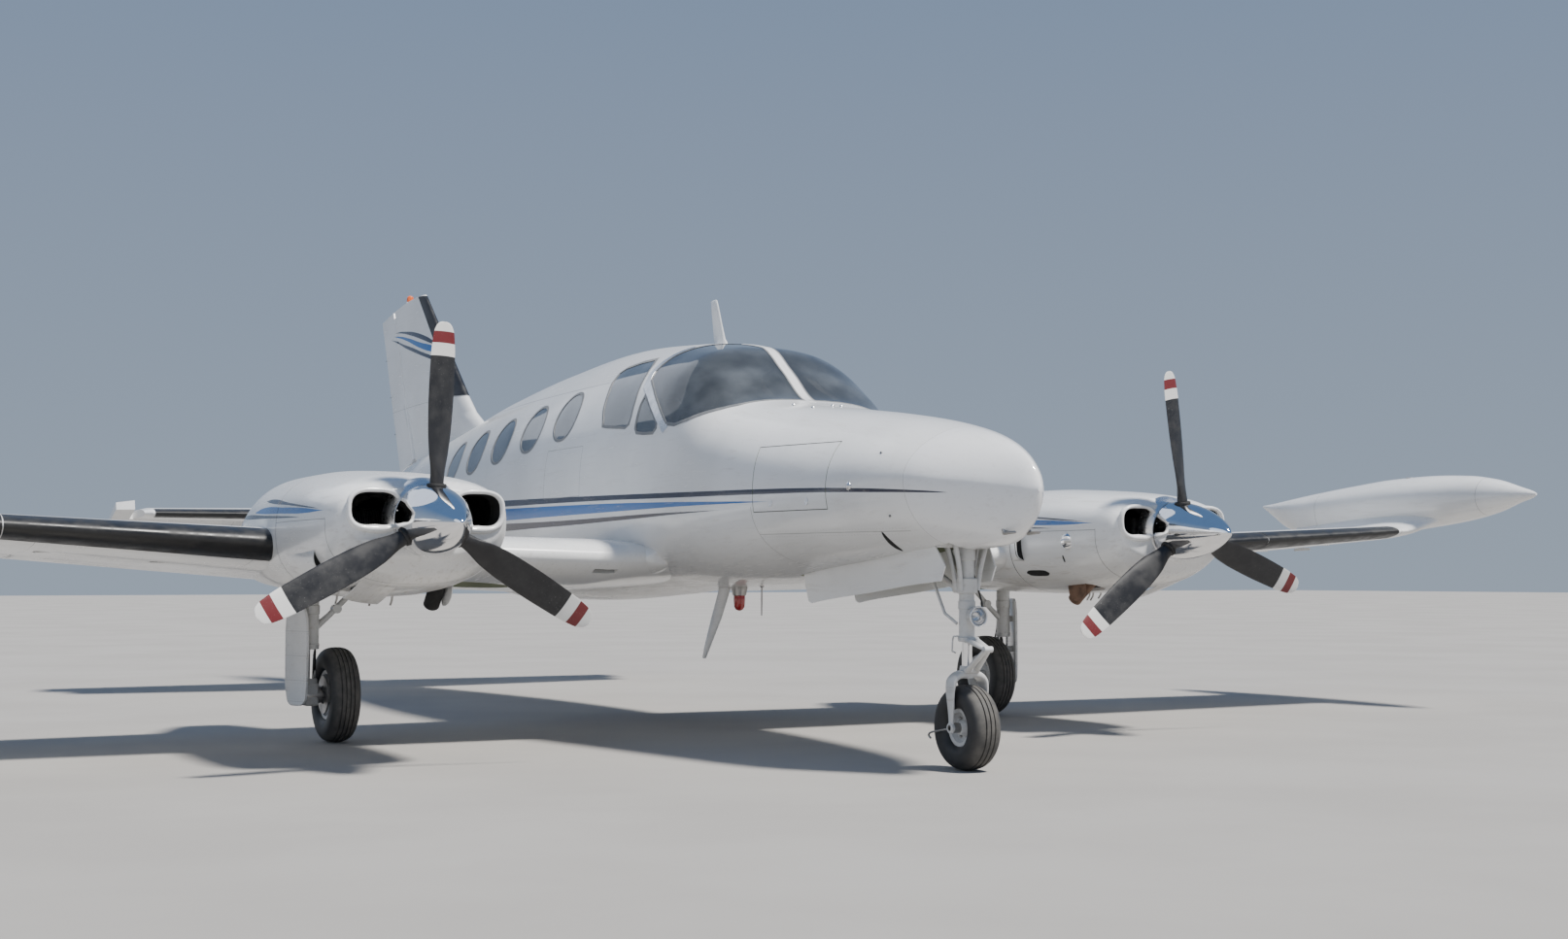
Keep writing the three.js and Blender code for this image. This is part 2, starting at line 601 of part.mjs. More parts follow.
// Cabin: belly with floor and bulkheads, two sides, roof, and the glass in them
function makeCabin() {
  const [front, rear] = [CABIN_FRONT_Y, CABIN_REAR_Y];
  const inside = (inset) => fuselageInside(inset, front - 100, rear + 100);
  const shell = outerBody.intersect(slab(front, rear)).subtract(inside(CABIN_WALL));
  const level = (low, high) => box(-FAR, -FAR, low, FAR, FAR, high);
  const below = level(-FAR, SILL_Z - GAP);
  const between = level(SILL_Z, CANT_RAIL_Z - GAP).intersect(box(GAP / 2, -FAR, 0, FAR, FAR, FAR));
  const wallFace = inside(CABIN_WALL + GAP);
  const floor = inside(CABIN_WALL - 2).intersect(floorPlate(front, rear, -FLOOR_THICK, FLOOR_THICK, -900, 900));
  const bulkheads = wallFace.intersect(slab(front, front + BULKHEAD).add(slab(rear - BULKHEAD, rear)));
  const wings = wingLoft(wingStations, GAP);
  const belly = shell.intersect(below).add(floor).add(bulkheads).subtract(doorwayCut)
    .subtract(wings).subtract(mirrored(wings)).add(bellyFittings());
  addPiece("cabin_belly", belly, "white");

  const side = shell.intersect(between).subtract(windshieldCut(0));
  const openSide = side.subtract(sideWindowCuts(0, [0, 1, 2, 3]));
  addPiece("cabin_side_left", openSide.subtract(doorwayCut), "white");
  addPiece("cabin_side_right", mirrored(openSide.subtract(ovalCut(4))), "white");
  const roof = shell.intersect(level(CANT_RAIL_Z, FAR)).subtract(windshieldCut(0)).subtract(mirrored(windshieldCut(0)));
  addPiece("cabin_roof", roof.add(roofAntenna()), "white");

  const strip = wallFace.subtract(inside(CABIN_WALL + GAP + GLASS_STRIP));
  const panes = outerBody.subtract(inside(CABIN_WALL + GAP + 1)).intersect(between);
  const glass = (ovals, rearEnd) => strip.intersect(box(200, -2200, 1700, FAR, rearEnd, 2150))
    .add(panes.intersect(sideWindowCuts(-GAP, ovals)));
  addPiece("side_glass_left", glass([0, 1, 2, 3], DOOR_FRONT_Y - 30), "glass");
  addPiece("side_glass_right", mirrored(glass([0, 1, 2, 3, 4], 1620)), "glass");
  const pane = outerBody.subtract(inside(PANE)).intersect(windshieldCut(-GAP));
  addPiece("windshield_left", pane, "glass");
  addPiece("windshield_right", mirrored(pane), "glass");
  makeAirstair(shell);
}

// Nose: a solid radome, then a thin shell with the wheel well below and a baggage bay on each side
function makeNose() {
  const [front, rear] = [RADOME_JOINT_Y, CABIN_FRONT_Y - GAP];
  addPiece("nose_cone", outerBody.intersect(slab(-FAR, front - GAP)), "white");
  const shell = outerBody.intersect(slab(front, rear))
    .subtract(fuselageInside(THIN_WALL, front + THIN_WALL, rear - THIN_WALL));
  const outline = (gap) => squareCut(NOSE_DOOR.front + gap, NOSE_DOOR.rear - gap, NOSE_DOOR.low + gap,
    NOSE_DOOR.high - gap, NOSE_DOOR_MIDDLE_Z);
  const doorCut = outline(0);
  const door = shell.intersect(outline(NOSE_DOOR_GAP));
  const halfWell = NOSE_WELL.half;
  const well = box(-halfWell, NOSE_WELL.front, 0, halfWell, NOSE_WELL.rear, NOSE_WELL.top);
  const cover = box(-halfWell - THIN_WALL, front, NOSE_WELL.top, halfWell + THIN_WALL, rear, NOSE_WELL.top + THIN_WALL);
  const wall = box(halfWell, front, 900, halfWell + THIN_WALL, rear, NOSE_WELL.top + 5);
  const inner = fuselageInside(THIN_WALL - 2, front + 5, rear - 5);
  const lining = cover.add(wall).add(mirrored(wall)).intersect(inner);
  const body = shell.subtract(well).subtract(doorCut).subtract(mirrored(doorCut)).add(lining);
  addPiece("nose_section", body, "white");
  const pins = hingePins(noseDoorHinge, PIN, NOSE_DOOR_GAP + PIN_REACH);
  addPiece("nose_door_left", door.add(pins), "white");
  addPiece("nose_door_right", mirrored(door.add(pins)), "white");
}

// Tail: cone, fin with rudder, tailplane with elevators

function finSection([z, lead, trail, thick], inset) {
  const chord = trail - lead;
  const place = (share, side) => {
    const half = Math.max(thick * chord * halfThickness(share) - inset, 2);
    return new THREE.Vector3(side * half, lead + inset * 2 + (chord - inset * 2) * share, z);
  };
  const left = SECTION_SHARES.map((share) => place(share, 1));
  const right = [...SECTION_SHARES].reverse().map((share) => place(share, -1));
  return [...left, new THREE.Vector3(0, lead + inset * 2, z), ...right];
}

function makeFin() {
  const [[, hingeY0, hingeZ0], [, hingeY1, hingeZ1]] = rudderHinge;
  const [nose0, nose1] = RUDDER_NOSE;
  const outline = [[1900, 1700], [5600, 1700], [5600, FIN_TOP.rear], [3800, FIN_TOP.front], [1900, FIN_TOP.front]];
  const full = loft(finStations.map((row) => finSection(row, 0)))
    .intersect(prism(outline, "yz", -300, 300)).subtract(fuselageBody(-GAP));
  const slope = (hingeY1 - hingeY0) / (hingeZ1 - hingeZ0);
  const hingeAt = (z) => hingeY0 + slope * (z - hingeZ0);
  const clear = MOVING_GAP + 2;
  const back = (radius) => (radius + clear) * Math.hypot(1, slope);
  const rearPart = prism([[hingeAt(1700) - back(nose0), 1700], [hingeAt(hingeZ0) - back(nose0), hingeZ0],
    [hingeAt(3600) - back(nose1), 3600], [5600, 3600], [5600, 1700]], "yz", -300, 300);
  const beacon = bar([0, 4330, 3300], [0, 4330, 3440], 34).add(bar([0, 4330, 3435], [0, 4330, 3478], 30, 18));
  const hollow = loft(finStations.map((row) => finSection(row, TAIL_WALL)))
    .intersect(box(-FAR, 0, 0, FAR, FAR, FIN_TOP.rear - 40)).subtract(fuselageBody(-GAP - TAIL_WALL));
  addPiece("fin", full.subtract(rearPart).subtract(hollow).add(beacon), "white");
  const behind = prism([[hingeAt(hingeZ0), hingeZ0], [hingeAt(3600), 3600], [5600, 3600],
    [5600, RUDDER_HEEL_Z - 60], [4560, RUDDER_HEEL_Z]], "yz", -300, 300);
  // The pivot at the rudder's foot stops just above the tail cone's sloping deck
  const deck = (y) => Math.max(...skinRing(fuselage, y).map((point) => point.z));
  const fall = (deck(hingeY0 - 50) - deck(hingeY0)) / 50;
  const lean = Math.atan(slope) - Math.atan(fall);
  const height = (hingeZ0 - deck(hingeY0)) * Math.cos(Math.atan(fall));
  const reach = (height - RUDDER_PIVOT * Math.sin(lean) - 1.5 * GAP) / Math.cos(lean);
  const unit = Math.hypot(1, slope);
  const foot = [0, hingeY0 - (reach * slope) / unit, hingeZ0 - reach / unit];
  const nose = bar(rudderHinge[0], rudderHinge[1], nose0, nose1)
    .add(bar([0, hingeY0 + 5 * slope, hingeZ0 + 5], foot, RUDDER_PIVOT));
  addPiece("rudder", full.intersect(behind).subtract(fuselageBody(-MOVING_GAP)).add(nose), "white");
}

const elevatorX0 = 290;
const elevatorX1 = 2450;
const elevatorTipX = 2590;
const elevatorHinge = [elevatorX0, 2410].map((x) => [x, ELEVATOR_HINGE_Y, ELEVATOR_HINGE_Z]);

function makeTailplane() {
  const reach = (rows, x) => rows.map((row, i) => (i === rows.length - 1 ? [x, ...row.slice(1)] : row));
  const tailplane = wingLoft(reach(tailStations, 2432));
  const tipped = wingLoft(reach(tailStations, elevatorTipX));
  const grownPlane = wingLoft(tailStations, GAP);
  const shell = outerBody.intersect(slab(CABIN_REAR_Y + GAP, FAR))
    .subtract(fuselageInside(TAIL_WALL, CABIN_REAR_Y - 10, 4200));
  addPiece("tail_section", shell.subtract(grownPlane).subtract(mirrored(grownPlane)), "white");

  const noseRadius = (x) => surfaceHalf(tailStations, x,
    (ELEVATOR_HINGE_Y - linear(tailStations, x, 1)) / linear(tailStations, x, 3));
  const [start, end] = elevatorHinge;
  const [nose0, nose1] = [noseRadius(start[0]), noseRadius(end[0])];
  const clear = MOVING_GAP + 2;
  const fixedCut = prism([[elevatorX0 - 8, start[1] - nose0 - clear], [FAR / 3, end[1] - nose1 - clear],
    [FAR / 3, 5600], [elevatorX0 - 8, 5600]], "xy", 1000, 2000);
  const hollow = wingLoft(tailStations, -TAIL_WALL).intersect(box(elevatorX0 + TAIL_WALL, 0, 0, 2380, FAR, FAR));
  const fixedHalf = tailplane.subtract(fixedCut).subtract(hollow);
  addPiece("tailplane", fixedHalf.add(mirrored(fixedHalf)), "white");
  const horn = [[2410, end[1]], [elevatorX1, end[1]], [elevatorX1, end[1] - 250], [elevatorTipX, end[1] - 215]];
  const region = prism([[elevatorX0, start[1]], ...horn, [elevatorTipX, 5600], [elevatorX0, 5600]], "xy", 1000, 2000);
  const elevator = tipped.intersect(region).add(bar(start, end, nose0, nose1))
    .add(bar([start[0] + 2, start[1], start[2]], [elevatorX0 - 8 + GAP, start[1], start[2]], 14, 14, 8));
  const drooped = spun(elevator, elevatorHinge, -ELEVATOR_DROOP);
  addPiece("elevator_left", drooped, "white");
  addPiece("elevator_right", mirrored(drooped), "white");
}

// Wing with aileron, split flaps and wheel well

const wingPoint = (x, share, side = 0) => {
  const [y, z] = wingLine(wingStations, x, share);
  const lift = surfaceCamber(wingStations, x, share) + side * surfaceHalf(wingStations, x, share);
  return [x, y, z + lift];
};
const aileronHinge = [wingPoint(AILERON.inner, HINGE_SHARE), wingPoint(AILERON.outer, HINGE_SHARE)];
const flapHinge = ([inner, outer]) => [wingPoint(inner, HINGE_SHARE, -1), wingPoint(outer, HINGE_SHARE, -1)];

function legWell(grow = 0) {
  const slot = box(1500, MAIN_AXLE_Y - LEG_WELL_HALF - grow, 500, MAIN_LEG_X + 100 + grow,
    MAIN_AXLE_Y + LEG_WELL_HALF + grow, LEG_WELL_TOP);
  const pocket = bar([WHEEL_WELL_X, MAIN_AXLE_Y, 500], [WHEEL_WELL_X, MAIN_AXLE_Y, WHEEL_WELL_TOP], 325, 325, 20);
  return slot.add(pocket);
}

function makeWing() {
  const full = wingLoft(wingStations);
  const clear = MOVING_GAP + 2;
  // A plan-view strip behind a hinge line, from forward of it to behind it, with its ends square to it
  const behindHinge = ([from, to], forward, behind, sideways) => {
    const [dx, dy] = [to[0] - from[0], to[1] - from[1]];
    const span = Math.hypot(dx, dy);
    const corner = ([x, y], along, aft) => [x + (along * dx - aft * dy) / span, y + (along * dy + aft * dx) / span];
    return prism([corner(from, -sideways, -forward), corner(to, sideways, -forward),
      corner(to, sideways, behind), corner(from, -sideways, behind)], "xy", 500, 2000);
  };
  const [inner, outer] = aileronHinge;
  const noseInner = surfaceHalf(wingStations, inner[0], HINGE_SHARE);
  const noseOuter = surfaceHalf(wingStations, outer[0], HINGE_SHARE);
  const aileronCut = behindHinge(aileronHinge, noseInner + clear, 900, MOVING_GAP);
  const aileronRegion = behindHinge(aileronHinge, 0, 800, 0);
  const aileron = full.intersect(aileronRegion).add(bar(inner, outer, noseInner, noseOuter))
    .add(hingePins([[inner[0] - MOVING_GAP, inner[1], inner[2]], [outer[0] + MOVING_GAP, outer[1], outer[2]]], 6, 30));

  // The wheel well leaves the upper skin whole
  let wing = full.subtract(aileronCut).subtract(legWell().intersect(full.translate([0, 0, -WELL_SKIN])));
  const layer = (thick) => full.subtract(full.translate([0, 0, thick]));
  const flaps = [];
  for (const span of FLAPS) {
    const chord = wingPoint(span[1], FLAP_END_SHARE)[1] - wingPoint(span[1], HINGE_SHARE)[1];
    const strip = (grow) => behindHinge(flapHinge(span), grow, chord + grow, grow);
    wing = wing.subtract(layer(FLAP_THICK + MOVING_GAP).intersect(strip(MOVING_GAP)));
    const [a, b] = flapHinge(span);
    const pinLine = [[a[0] - MOVING_GAP, a[1] + 6, a[2] + 6], [b[0] + MOVING_GAP, b[1] + 6, b[2] + 6]];
    flaps.push(layer(FLAP_THICK).intersect(strip(0)).add(hingePins(pinLine, 5, 30)));
  }
  addPiece("wing_left", wing, "white");
  addPiece("wing_right", mirrored(wing), "white");
  addPiece("aileron_left", aileron, "white");
  addPiece("aileron_right", mirrored(aileron), "white");
  ["flap_inner", "flap_outer"].forEach((name, i) => {
    addPiece(`${name}_left`, flaps[i], "white");
    addPiece(`${name}_right`, mirrored(flaps[i]), "white");
  });
}

// Tip tank: a long drop on a canted fairing above the wing tip
function makeTipTanks() {
  const rings = tankStations.map(([y, ...row]) => bodyRing(y, TANK_X, row, 0, 16));
  const tip = wingStations.at(-1);
  const fairing = wingLoft([[WING_TIP_X + GAP, ...tip.slice(1)], [TANK_X - 20, tip[1] - 160, 1400, tip[3] + 420, 20, 0.12]]);
  const tank = loft(rings).add(fairing).subtract(wingLoft(wingStations, GAP));
  addPiece("tip_tank_left", tank, "white");
  addPiece("tip_tank_right", mirrored(tank), "white");
}

// A point on the left engine's thrust line, at a distance behind the blades
const thrustPoint = (distance) => [ENGINE_X, PROP_Y + distance * Math.cos(THRUST_TILT),
  PROP_Z + distance * Math.sin(THRUST_TILT)];

// Nacelles: a hollow cowling with two inlets, the engine, and the part behind the firewall with its locker
function makeNacelles() {
  const cowlShell = nacelleBody(0, COWL_FRONT_Y, COWL_REAR_Y - GAP)
    .subtract(nacelleBody(COWL_WALL, COWL_FRONT_Y + COWL_WALL, COWL_REAR_Y + 50));
  const inlet = (side) => prism(oval(ENGINE_X + side * INLET.across, INLET.z, INLET.halfWidth, INLET.halfHeight, 16),
    "xz", -COWL_FRONT_Y - 170, -COWL_FRONT_Y + 60);
  const shaftHole = bar(thrustPoint(60), thrustPoint(190), 100, 100, 20);
  const cowl = cowlShell.subtract(inlet(-1)).subtract(inlet(1)).subtract(shaftHole);
  const exhaust = bar([ENGINE_X - 250, -2720, 905], [ENGINE_X - 250, -2640, 800], 42, 42, 12);
  addPiece("cowl_left", cowl.add(exhaust), "white");
  addPiece("cowl_right", mirrored(cowl.add(exhaust)), "white");

  const half = [[-330, 1090], [-240, 1005], [240, 1005], [330, 1090], [330, 1320],
    [250, 1395], [-250, 1395], [-330, 1320]];
  const block = prism(half.map(([x, z]) => [ENGINE_X + x, z]), "xz", 2300, 3060);
  let engine = block.add(bar(thrustPoint(420), thrustPoint(HUB_REAR + GAP), 70, 70, 16));
  for (const side of [-1, 1]) {
    for (const z of [1060, 1340]) {
      engine = engine.add(bar([ENGINE_X + side * 210, -2320, z], [ENGINE_X + side * 210, COWL_REAR_Y - GAP, z], 18, 18, 8));
    }
  }
  addPiece("engine_left", engine, "iron");
  addPiece("engine_right", mirrored(engine), "iron");

  const shell = nacelleBody(0, COWL_REAR_Y).subtract(nacelleBody(NACELLE_WALL, COWL_REAR_Y + NACELLE_WALL, -520));
  const [[, hingeFront, frontZ], [, hingeRear, rearZ]] = lockerHinge;
  const slope = (rearZ - frontZ) / (hingeRear - hingeFront);
  const lidOutline = (gap) => {
    const edge = (y, edgeZ, z) => [y - (z - edgeZ) * slope, z];
    const outline = [edge(hingeFront + gap, frontZ, 1150), edge(hingeRear - gap, rearZ, 1150),
      edge(hingeRear - gap, rearZ, 1700), edge(hingeFront + gap, frontZ, 1700)];
    return prism(outline, "yz", ENGINE_X - LOCKER.half + gap, ENGINE_X + LOCKER.half - gap);
  };
  const lid = shell.intersect(lidOutline(MOVING_GAP)).add(hingePins(lockerHinge, PIN, MOVING_GAP + PIN_REACH, 2 * GAP));
  const body = shell.subtract(wingLoft(wingStations, GAP)).subtract(lidOutline(0)).subtract(legWell(2));
  addPiece("nacelle_left", body, "white");
  addPiece("nacelle_right", mirrored(body), "white");
  addPiece("locker_lid_left", lid, "white");
  addPiece("locker_lid_right", mirrored(lid), "white");
}

// Propellers: three blades on a hub inside a hollow spinner, turned to where the photograph shows them

function bladeSolid() {
  return loft(bladeStations.map(([radius, chord, thick, twist]) => {
    const pitch = THREE.MathUtils.degToRad(twist);
    const ring = [];
    for (let i = 0; i < 10; i += 1) {
      const angle = (2 * Math.PI * i) / 10;
      const along = (chord / 2) * Math.cos(angle);
      const across = (thick / 2) * Math.sin(angle);
      ring.push(new THREE.Vector3(along * Math.cos(pitch) - across * Math.sin(pitch),
        along * Math.sin(pitch) + across * Math.cos(pitch), radius));
    }
    return ring;
  }));
}

function makePropellers() {
  const place = (solid, side) => solid.rotate([THREE.MathUtils.radToDeg(THRUST_TILT), 0, 0])
    .translate([side * ENGINE_X, PROP_Y, PROP_Z]);
  const blade = bladeSolid();
  const rootHole = bar([0, 0, 0], [0, 0, 260], BLADE_HOLE, BLADE_HOLE, 12);
  const profile = [[0, -SPINNER_REACH], ...SPINNER_OUTER.map(([y, radius]) => [radius, y]),
    ...[...SPINNER_OUTER].reverse().map(([y, radius]) => [radius - SPINNER_WALL, Math.max(y, 4 - SPINNER_REACH)]),
    [0, SPINNER_WALL * 3 - SPINNER_REACH]];
  const geometry = new THREE.LatheGeometry(profile.map(([radius, y]) => new THREE.Vector2(radius, y)), 18);
  const cone = toSolid(geometry);
  for (const [name, side, phase] of [["left", 1, LEFT_BLADE_PHASE], ["right", -1, RIGHT_BLADE_PHASE]]) {
    let prop = bar([0, HUB_REAR, 0], [0, -90, 0], 92, 60, 12).add(bar([0, 60, 0], [0, 72, 0], BACKPLATE, BACKPLATE, 24));
    let spinner = cone;
    for (const turn of [0, 120, 240]) {
      const angle = phase + turn;
      prop = prop.add(blade.rotate([0, angle, 0]));
      spinner = spinner.subtract(rootHole.rotate([0, angle, 0]));
    }
    addPiece(`propeller_${name}`, place(prop, side), "blade");
    addPiece(`spinner_${name}`, place(spinner, side), "chrome");
  }
}

// Wheels: a tyre on a rim, turned about the axle

function makeWheel(name, x, y, tyreRadius, tyreHalf, rimRadius, rimHalf, bore) {
  const shoulder = (tyreRadius + rimRadius) / 2;
  const tyre = [[rimRadius + GAP, -rimHalf], [shoulder, -tyreHalf], [tyreRadius * 0.93, -tyreHalf * 0.84],
    [tyreRadius, -tyreHalf * 0.34], [tyreRadius, tyreHalf * 0.34], [tyreRadius * 0.93, tyreHalf * 0.84],
    [shoulder, tyreHalf], [rimRadius + GAP, rimHalf]];
  const seat = rimRadius - 0.5;
  const rim = [[bore, -rimHalf], [bore + 30, -rimHalf], [bore + 30, -rimHalf * 0.4], [seat - 12, -rimHalf * 0.4],
    [seat - 12, -rimHalf], [seat, -rimHalf], [seat, rimHalf], [seat - 12, rimHalf],
    [seat - 12, rimHalf * 0.4], [bore + 30, rimHalf * 0.4], [bore + 30, rimHalf], [bore, rimHalf]];
  const height = tyreRadius * Math.cos(Math.PI / WHEEL_FACETS);
  const closed = (rows) => [...rows, rows[0]].map(([radius, offset]) => [radius, offset + x]);
  addPiece(`${name}_tyre`, turned(closed(tyre), y, height, WHEEL_FACETS), "rubber");
  addPiece(`${name}_rim`, turned(closed(rim), y, height, RIM_FACETS), "gear");
}

function makeMainGear() {
  const axleZ = MAIN_TYRE_RADIUS * Math.cos(Math.PI / WHEEL_FACETS);
  const [x, y] = [MAIN_LEG_X, MAIN_AXLE_Y];
  const wheelFace = MAIN_WHEEL_X + 58;
  // The door on the leg is turned a little, with its front edge inwards
  const toed = (solid) => solid.translate([-x - 78, -y, 0]).rotate([0, 0, -LEG_DOOR.toe]).translate([x + 78, y, 0]);
  const leg = bar([x, y, 540], [x, y, LEG_WELL_TOP - 20], 48)
    .add(bar([x, y, 330], [x, y, 560], 31))
    .add(bar([x, y - LEG_WELL_HALF + GAP, 975], [x, y + LEG_WELL_HALF - GAP, 975], 24))
    .add(box(x - 42, y - 45, axleZ - 60, x + 42, y + 45, 345))
    .add(bar([x, y, axleZ], [wheelFace + 1, y, axleZ], 46, 46, 16))
    .add(bar([x, y, axleZ], [MAIN_WHEEL_X - 70, y, axleZ], AXLE_RADIUS, AXLE_RADIUS, 16))
    .add(bar([x - 10, y, 650], [2130, y, 905], 18, 18, 8))
    .add(bar([x, y + 40, 520], [x, y + 150, 425], 15, 15, 8))
    .add(bar([x, y + 150, 425], [x, y + 40, 330], 15, 15, 8))
    .add(toed(box(x + 10, y - 30, 430, x + 70, y + 30, 470)))
    .add(toed(box(x + 10, y - 30, 640, x + 70, y + 30, 680)));
  const door = toed(box(x + 70 + GAP, y - LEG_DOOR.half, LEG_DOOR.low, x + 86, y + LEG_DOOR.half, LEG_DOOR.high));
  for (const [name, side] of [["left", (solid) => solid], ["right", mirrored]]) {
    addPiece(`main_leg_${name}`, side(leg), "gear");
    addPiece(`main_leg_door_${name}`, side(door), "white");
  }
  for (const [name, side] of [["main_left", 1], ["main_right", -1]]) {
    makeWheel(name, side * MAIN_WHEEL_X, y, MAIN_TYRE_RADIUS, MAIN_TYRE_HALF, 128, 56, AXLE_RADIUS + 0.9);
  }
}

function makeNoseGear() {
  const axleZ = NOSE_TYRE_RADIUS * Math.cos(Math.PI / WHEEL_FACETS);
  const y = NOSE_LEG_Y;
  const half = NOSE_WELL.half - GAP;
  const leg = bar([0, y, NOSE_PISTON_TOP], [0, y, 1120], 46)
    .add(bar([-half, y, 1120], [half, y, 1120], 26))
    .add(bar([0, y, 820], [-95, y + 330, 1120], 18, 18, 8))
    .add(bar([0, y, 820], [95, y + 330, 1120], 18, 18, 8))
    .add(bar([-half, y + 330, 1120], [half, y + 330, 1120], 20, 20, 8))
    .add(bar([0, y, 756], [0, y - 95, 756], 36, 48, 16));
  addPiece("nose_leg", leg, "gear");
  const armX = NOSE_TYRE_HALF + 26;
  let fork = bar([0, y, 470], [0, y, NOSE_PISTON_TOP - GAP], 32)
    .add(box(-armX - 14, y - 40, 445, armX + 14, y + 40, 500))
    .add(bar([0, y - 30, 610], [0, y - 130, 545], 14, 14, 8))
    .add(bar([0, y - 130, 545], [0, y - 30, 480], 14, 14, 8))
    .add(bar([-armX, NOSE_AXLE_Y, axleZ], [armX, NOSE_AXLE_Y, axleZ], AXLE_RADIUS, AXLE_RADIUS, 16));
  for (const side of [-1, 1]) {
    fork = fork.add(bar([side * armX, y, 470], [side * armX, NOSE_AXLE_Y, axleZ - 15], 22, 16, 8))
      .add(bar([side * (46 + GAP), NOSE_AXLE_Y, axleZ], [side * armX, NOSE_AXLE_Y, axleZ], 30, 30, 12));
  }
  addPiece("nose_fork", fork, "gear");
  makeWheel("nose", 0, NOSE_AXLE_Y, NOSE_TYRE_RADIUS, NOSE_TYRE_HALF, 80, 46, AXLE_RADIUS + 0.9);

  const edgeZ = (at) => skinZ(fuselage, at, NOSE_WELL.half, -1);
  const [front, rear] = [NOSE_GEAR_DOOR.front, NOSE_GEAR_DOOR.rear];
  const outline = [[front, edgeZ(front) + 24], [front + 60, edgeZ(front) - NOSE_GEAR_DOOR.drop],
    [rear - 20, edgeZ(rear) - NOSE_GEAR_DOOR.drop], [rear, edgeZ(rear) + 24]];
  const door = prism(outline, "yz", half - 12, half);
  addPiece("nose_gear_door_left", door, "white");
  addPiece("nose_gear_door_right", mirrored(door), "white");
}

// Cabin furniture that shows through the glass: seats on their rails, and the instrument panel

function seatShape(y, facing, x, width) {
  const z = floorZ(y);
  const cushion = box(x - width / 2, y - 230, z + 210, x + width / 2, y + 230, z + 340);
  const lean = facing * 90;
  const foot = y + facing * 190;
  const back = prism([[foot, z + 330], [foot + facing * 90, z + 330], [foot + facing * 90 + lean, z + 850],
    [foot + lean, z + 850]], "yz", x - width / 2, x + width / 2);
  const head = prism([[foot + lean + facing * 8, z + 840], [foot + lean + facing * 80, z + 840],
    [foot + lean + facing * 92, z + 990], [foot + lean + facing * 20, z + 990]], "yz", x - width / 4, x + width / 4);
  const stand = box(x - width / 2 + 60, y - 150, z - 30, x + width / 2 - 60, y + 150, z + 220);
  return cushion.add(back).add(head).add(stand);
}

function makeInterior() {
  const cabinRoom = fuselageInside(CABIN_WALL + GAP + GLASS_STRIP + 6, CABIN_FRONT_Y, CABIN_REAR_Y);
  for (const [name, side, rows] of [["left", 1, SEAT_ROWS.slice(0, 3)], ["right", -1, SEAT_ROWS]]) {
    let seats = floorPlate(-2250, 1640 * (side < 0 ? 1 : 0) + 640 * (side > 0 ? 1 : 0), GAP, 14, 150, 480);
    for (const [y, facing] of rows) {
      seats = seats.add(seatShape(y, facing, SEAT_X, SEAT_WIDTH).subtract(floorPlate(-3200, 2200, -400, 400 + GAP, -900, 900)));
    }
    seats = seats.intersect(cabinRoom);
    addPiece(`seats_${name}`, side > 0 ? seats : mirrored(seats), "leather");
  }
  const room = fuselageInside(CABIN_WALL + GAP, CABIN_FRONT_Y - 100, CABIN_REAR_Y + 100);
  const y = PANEL_Y;
  const yoke = bar([360, y, 1640], [360, y + 190, 1650], 13, 13, 8)
    .add(box(265, y + 180, 1640, 455, y + 215, 1675)).add(box(255, y + 180, 1640, 285, y + 212, 1780))
    .add(box(435, y + 180, 1640, 465, y + 212, 1780));
  const board = box(-FAR, y - 40, 1500, FAR, y, 1900).add(box(-FAR, CABIN_FRONT_Y + BULKHEAD + 20, 1880, FAR, y + 60, 1905))
    .intersect(room);
  const pedestal = box(-110, y - 40, floorZ(y) + GAP, 110, y + 260, 1500)
    .subtract(floorPlate(-3200, 2200, -400, 400 + GAP, -900, 900)).add(box(-110, y - 40, 1480, 110, y - 2, 1560));
  addPiece("instrument_panel", board.add(pedestal).add(yoke).add(mirrored(yoke)), "panel");
}

makeNose();
makeCabin();
makeTailplane();
makeFin();
makeWing();
makeTipTanks();
makeNacelles();
makePropellers();
makeMainGear();
makeNoseGear();
makeInterior();

export default aircraft;
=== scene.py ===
"""Dressed model of a pressurised twin piston light aircraft, parked on its landing gear. Metres."""
from __future__ import annotations

import logging
import math
from collections.abc import Callable, Sequence
from dataclasses import dataclass, field
from enum import Enum

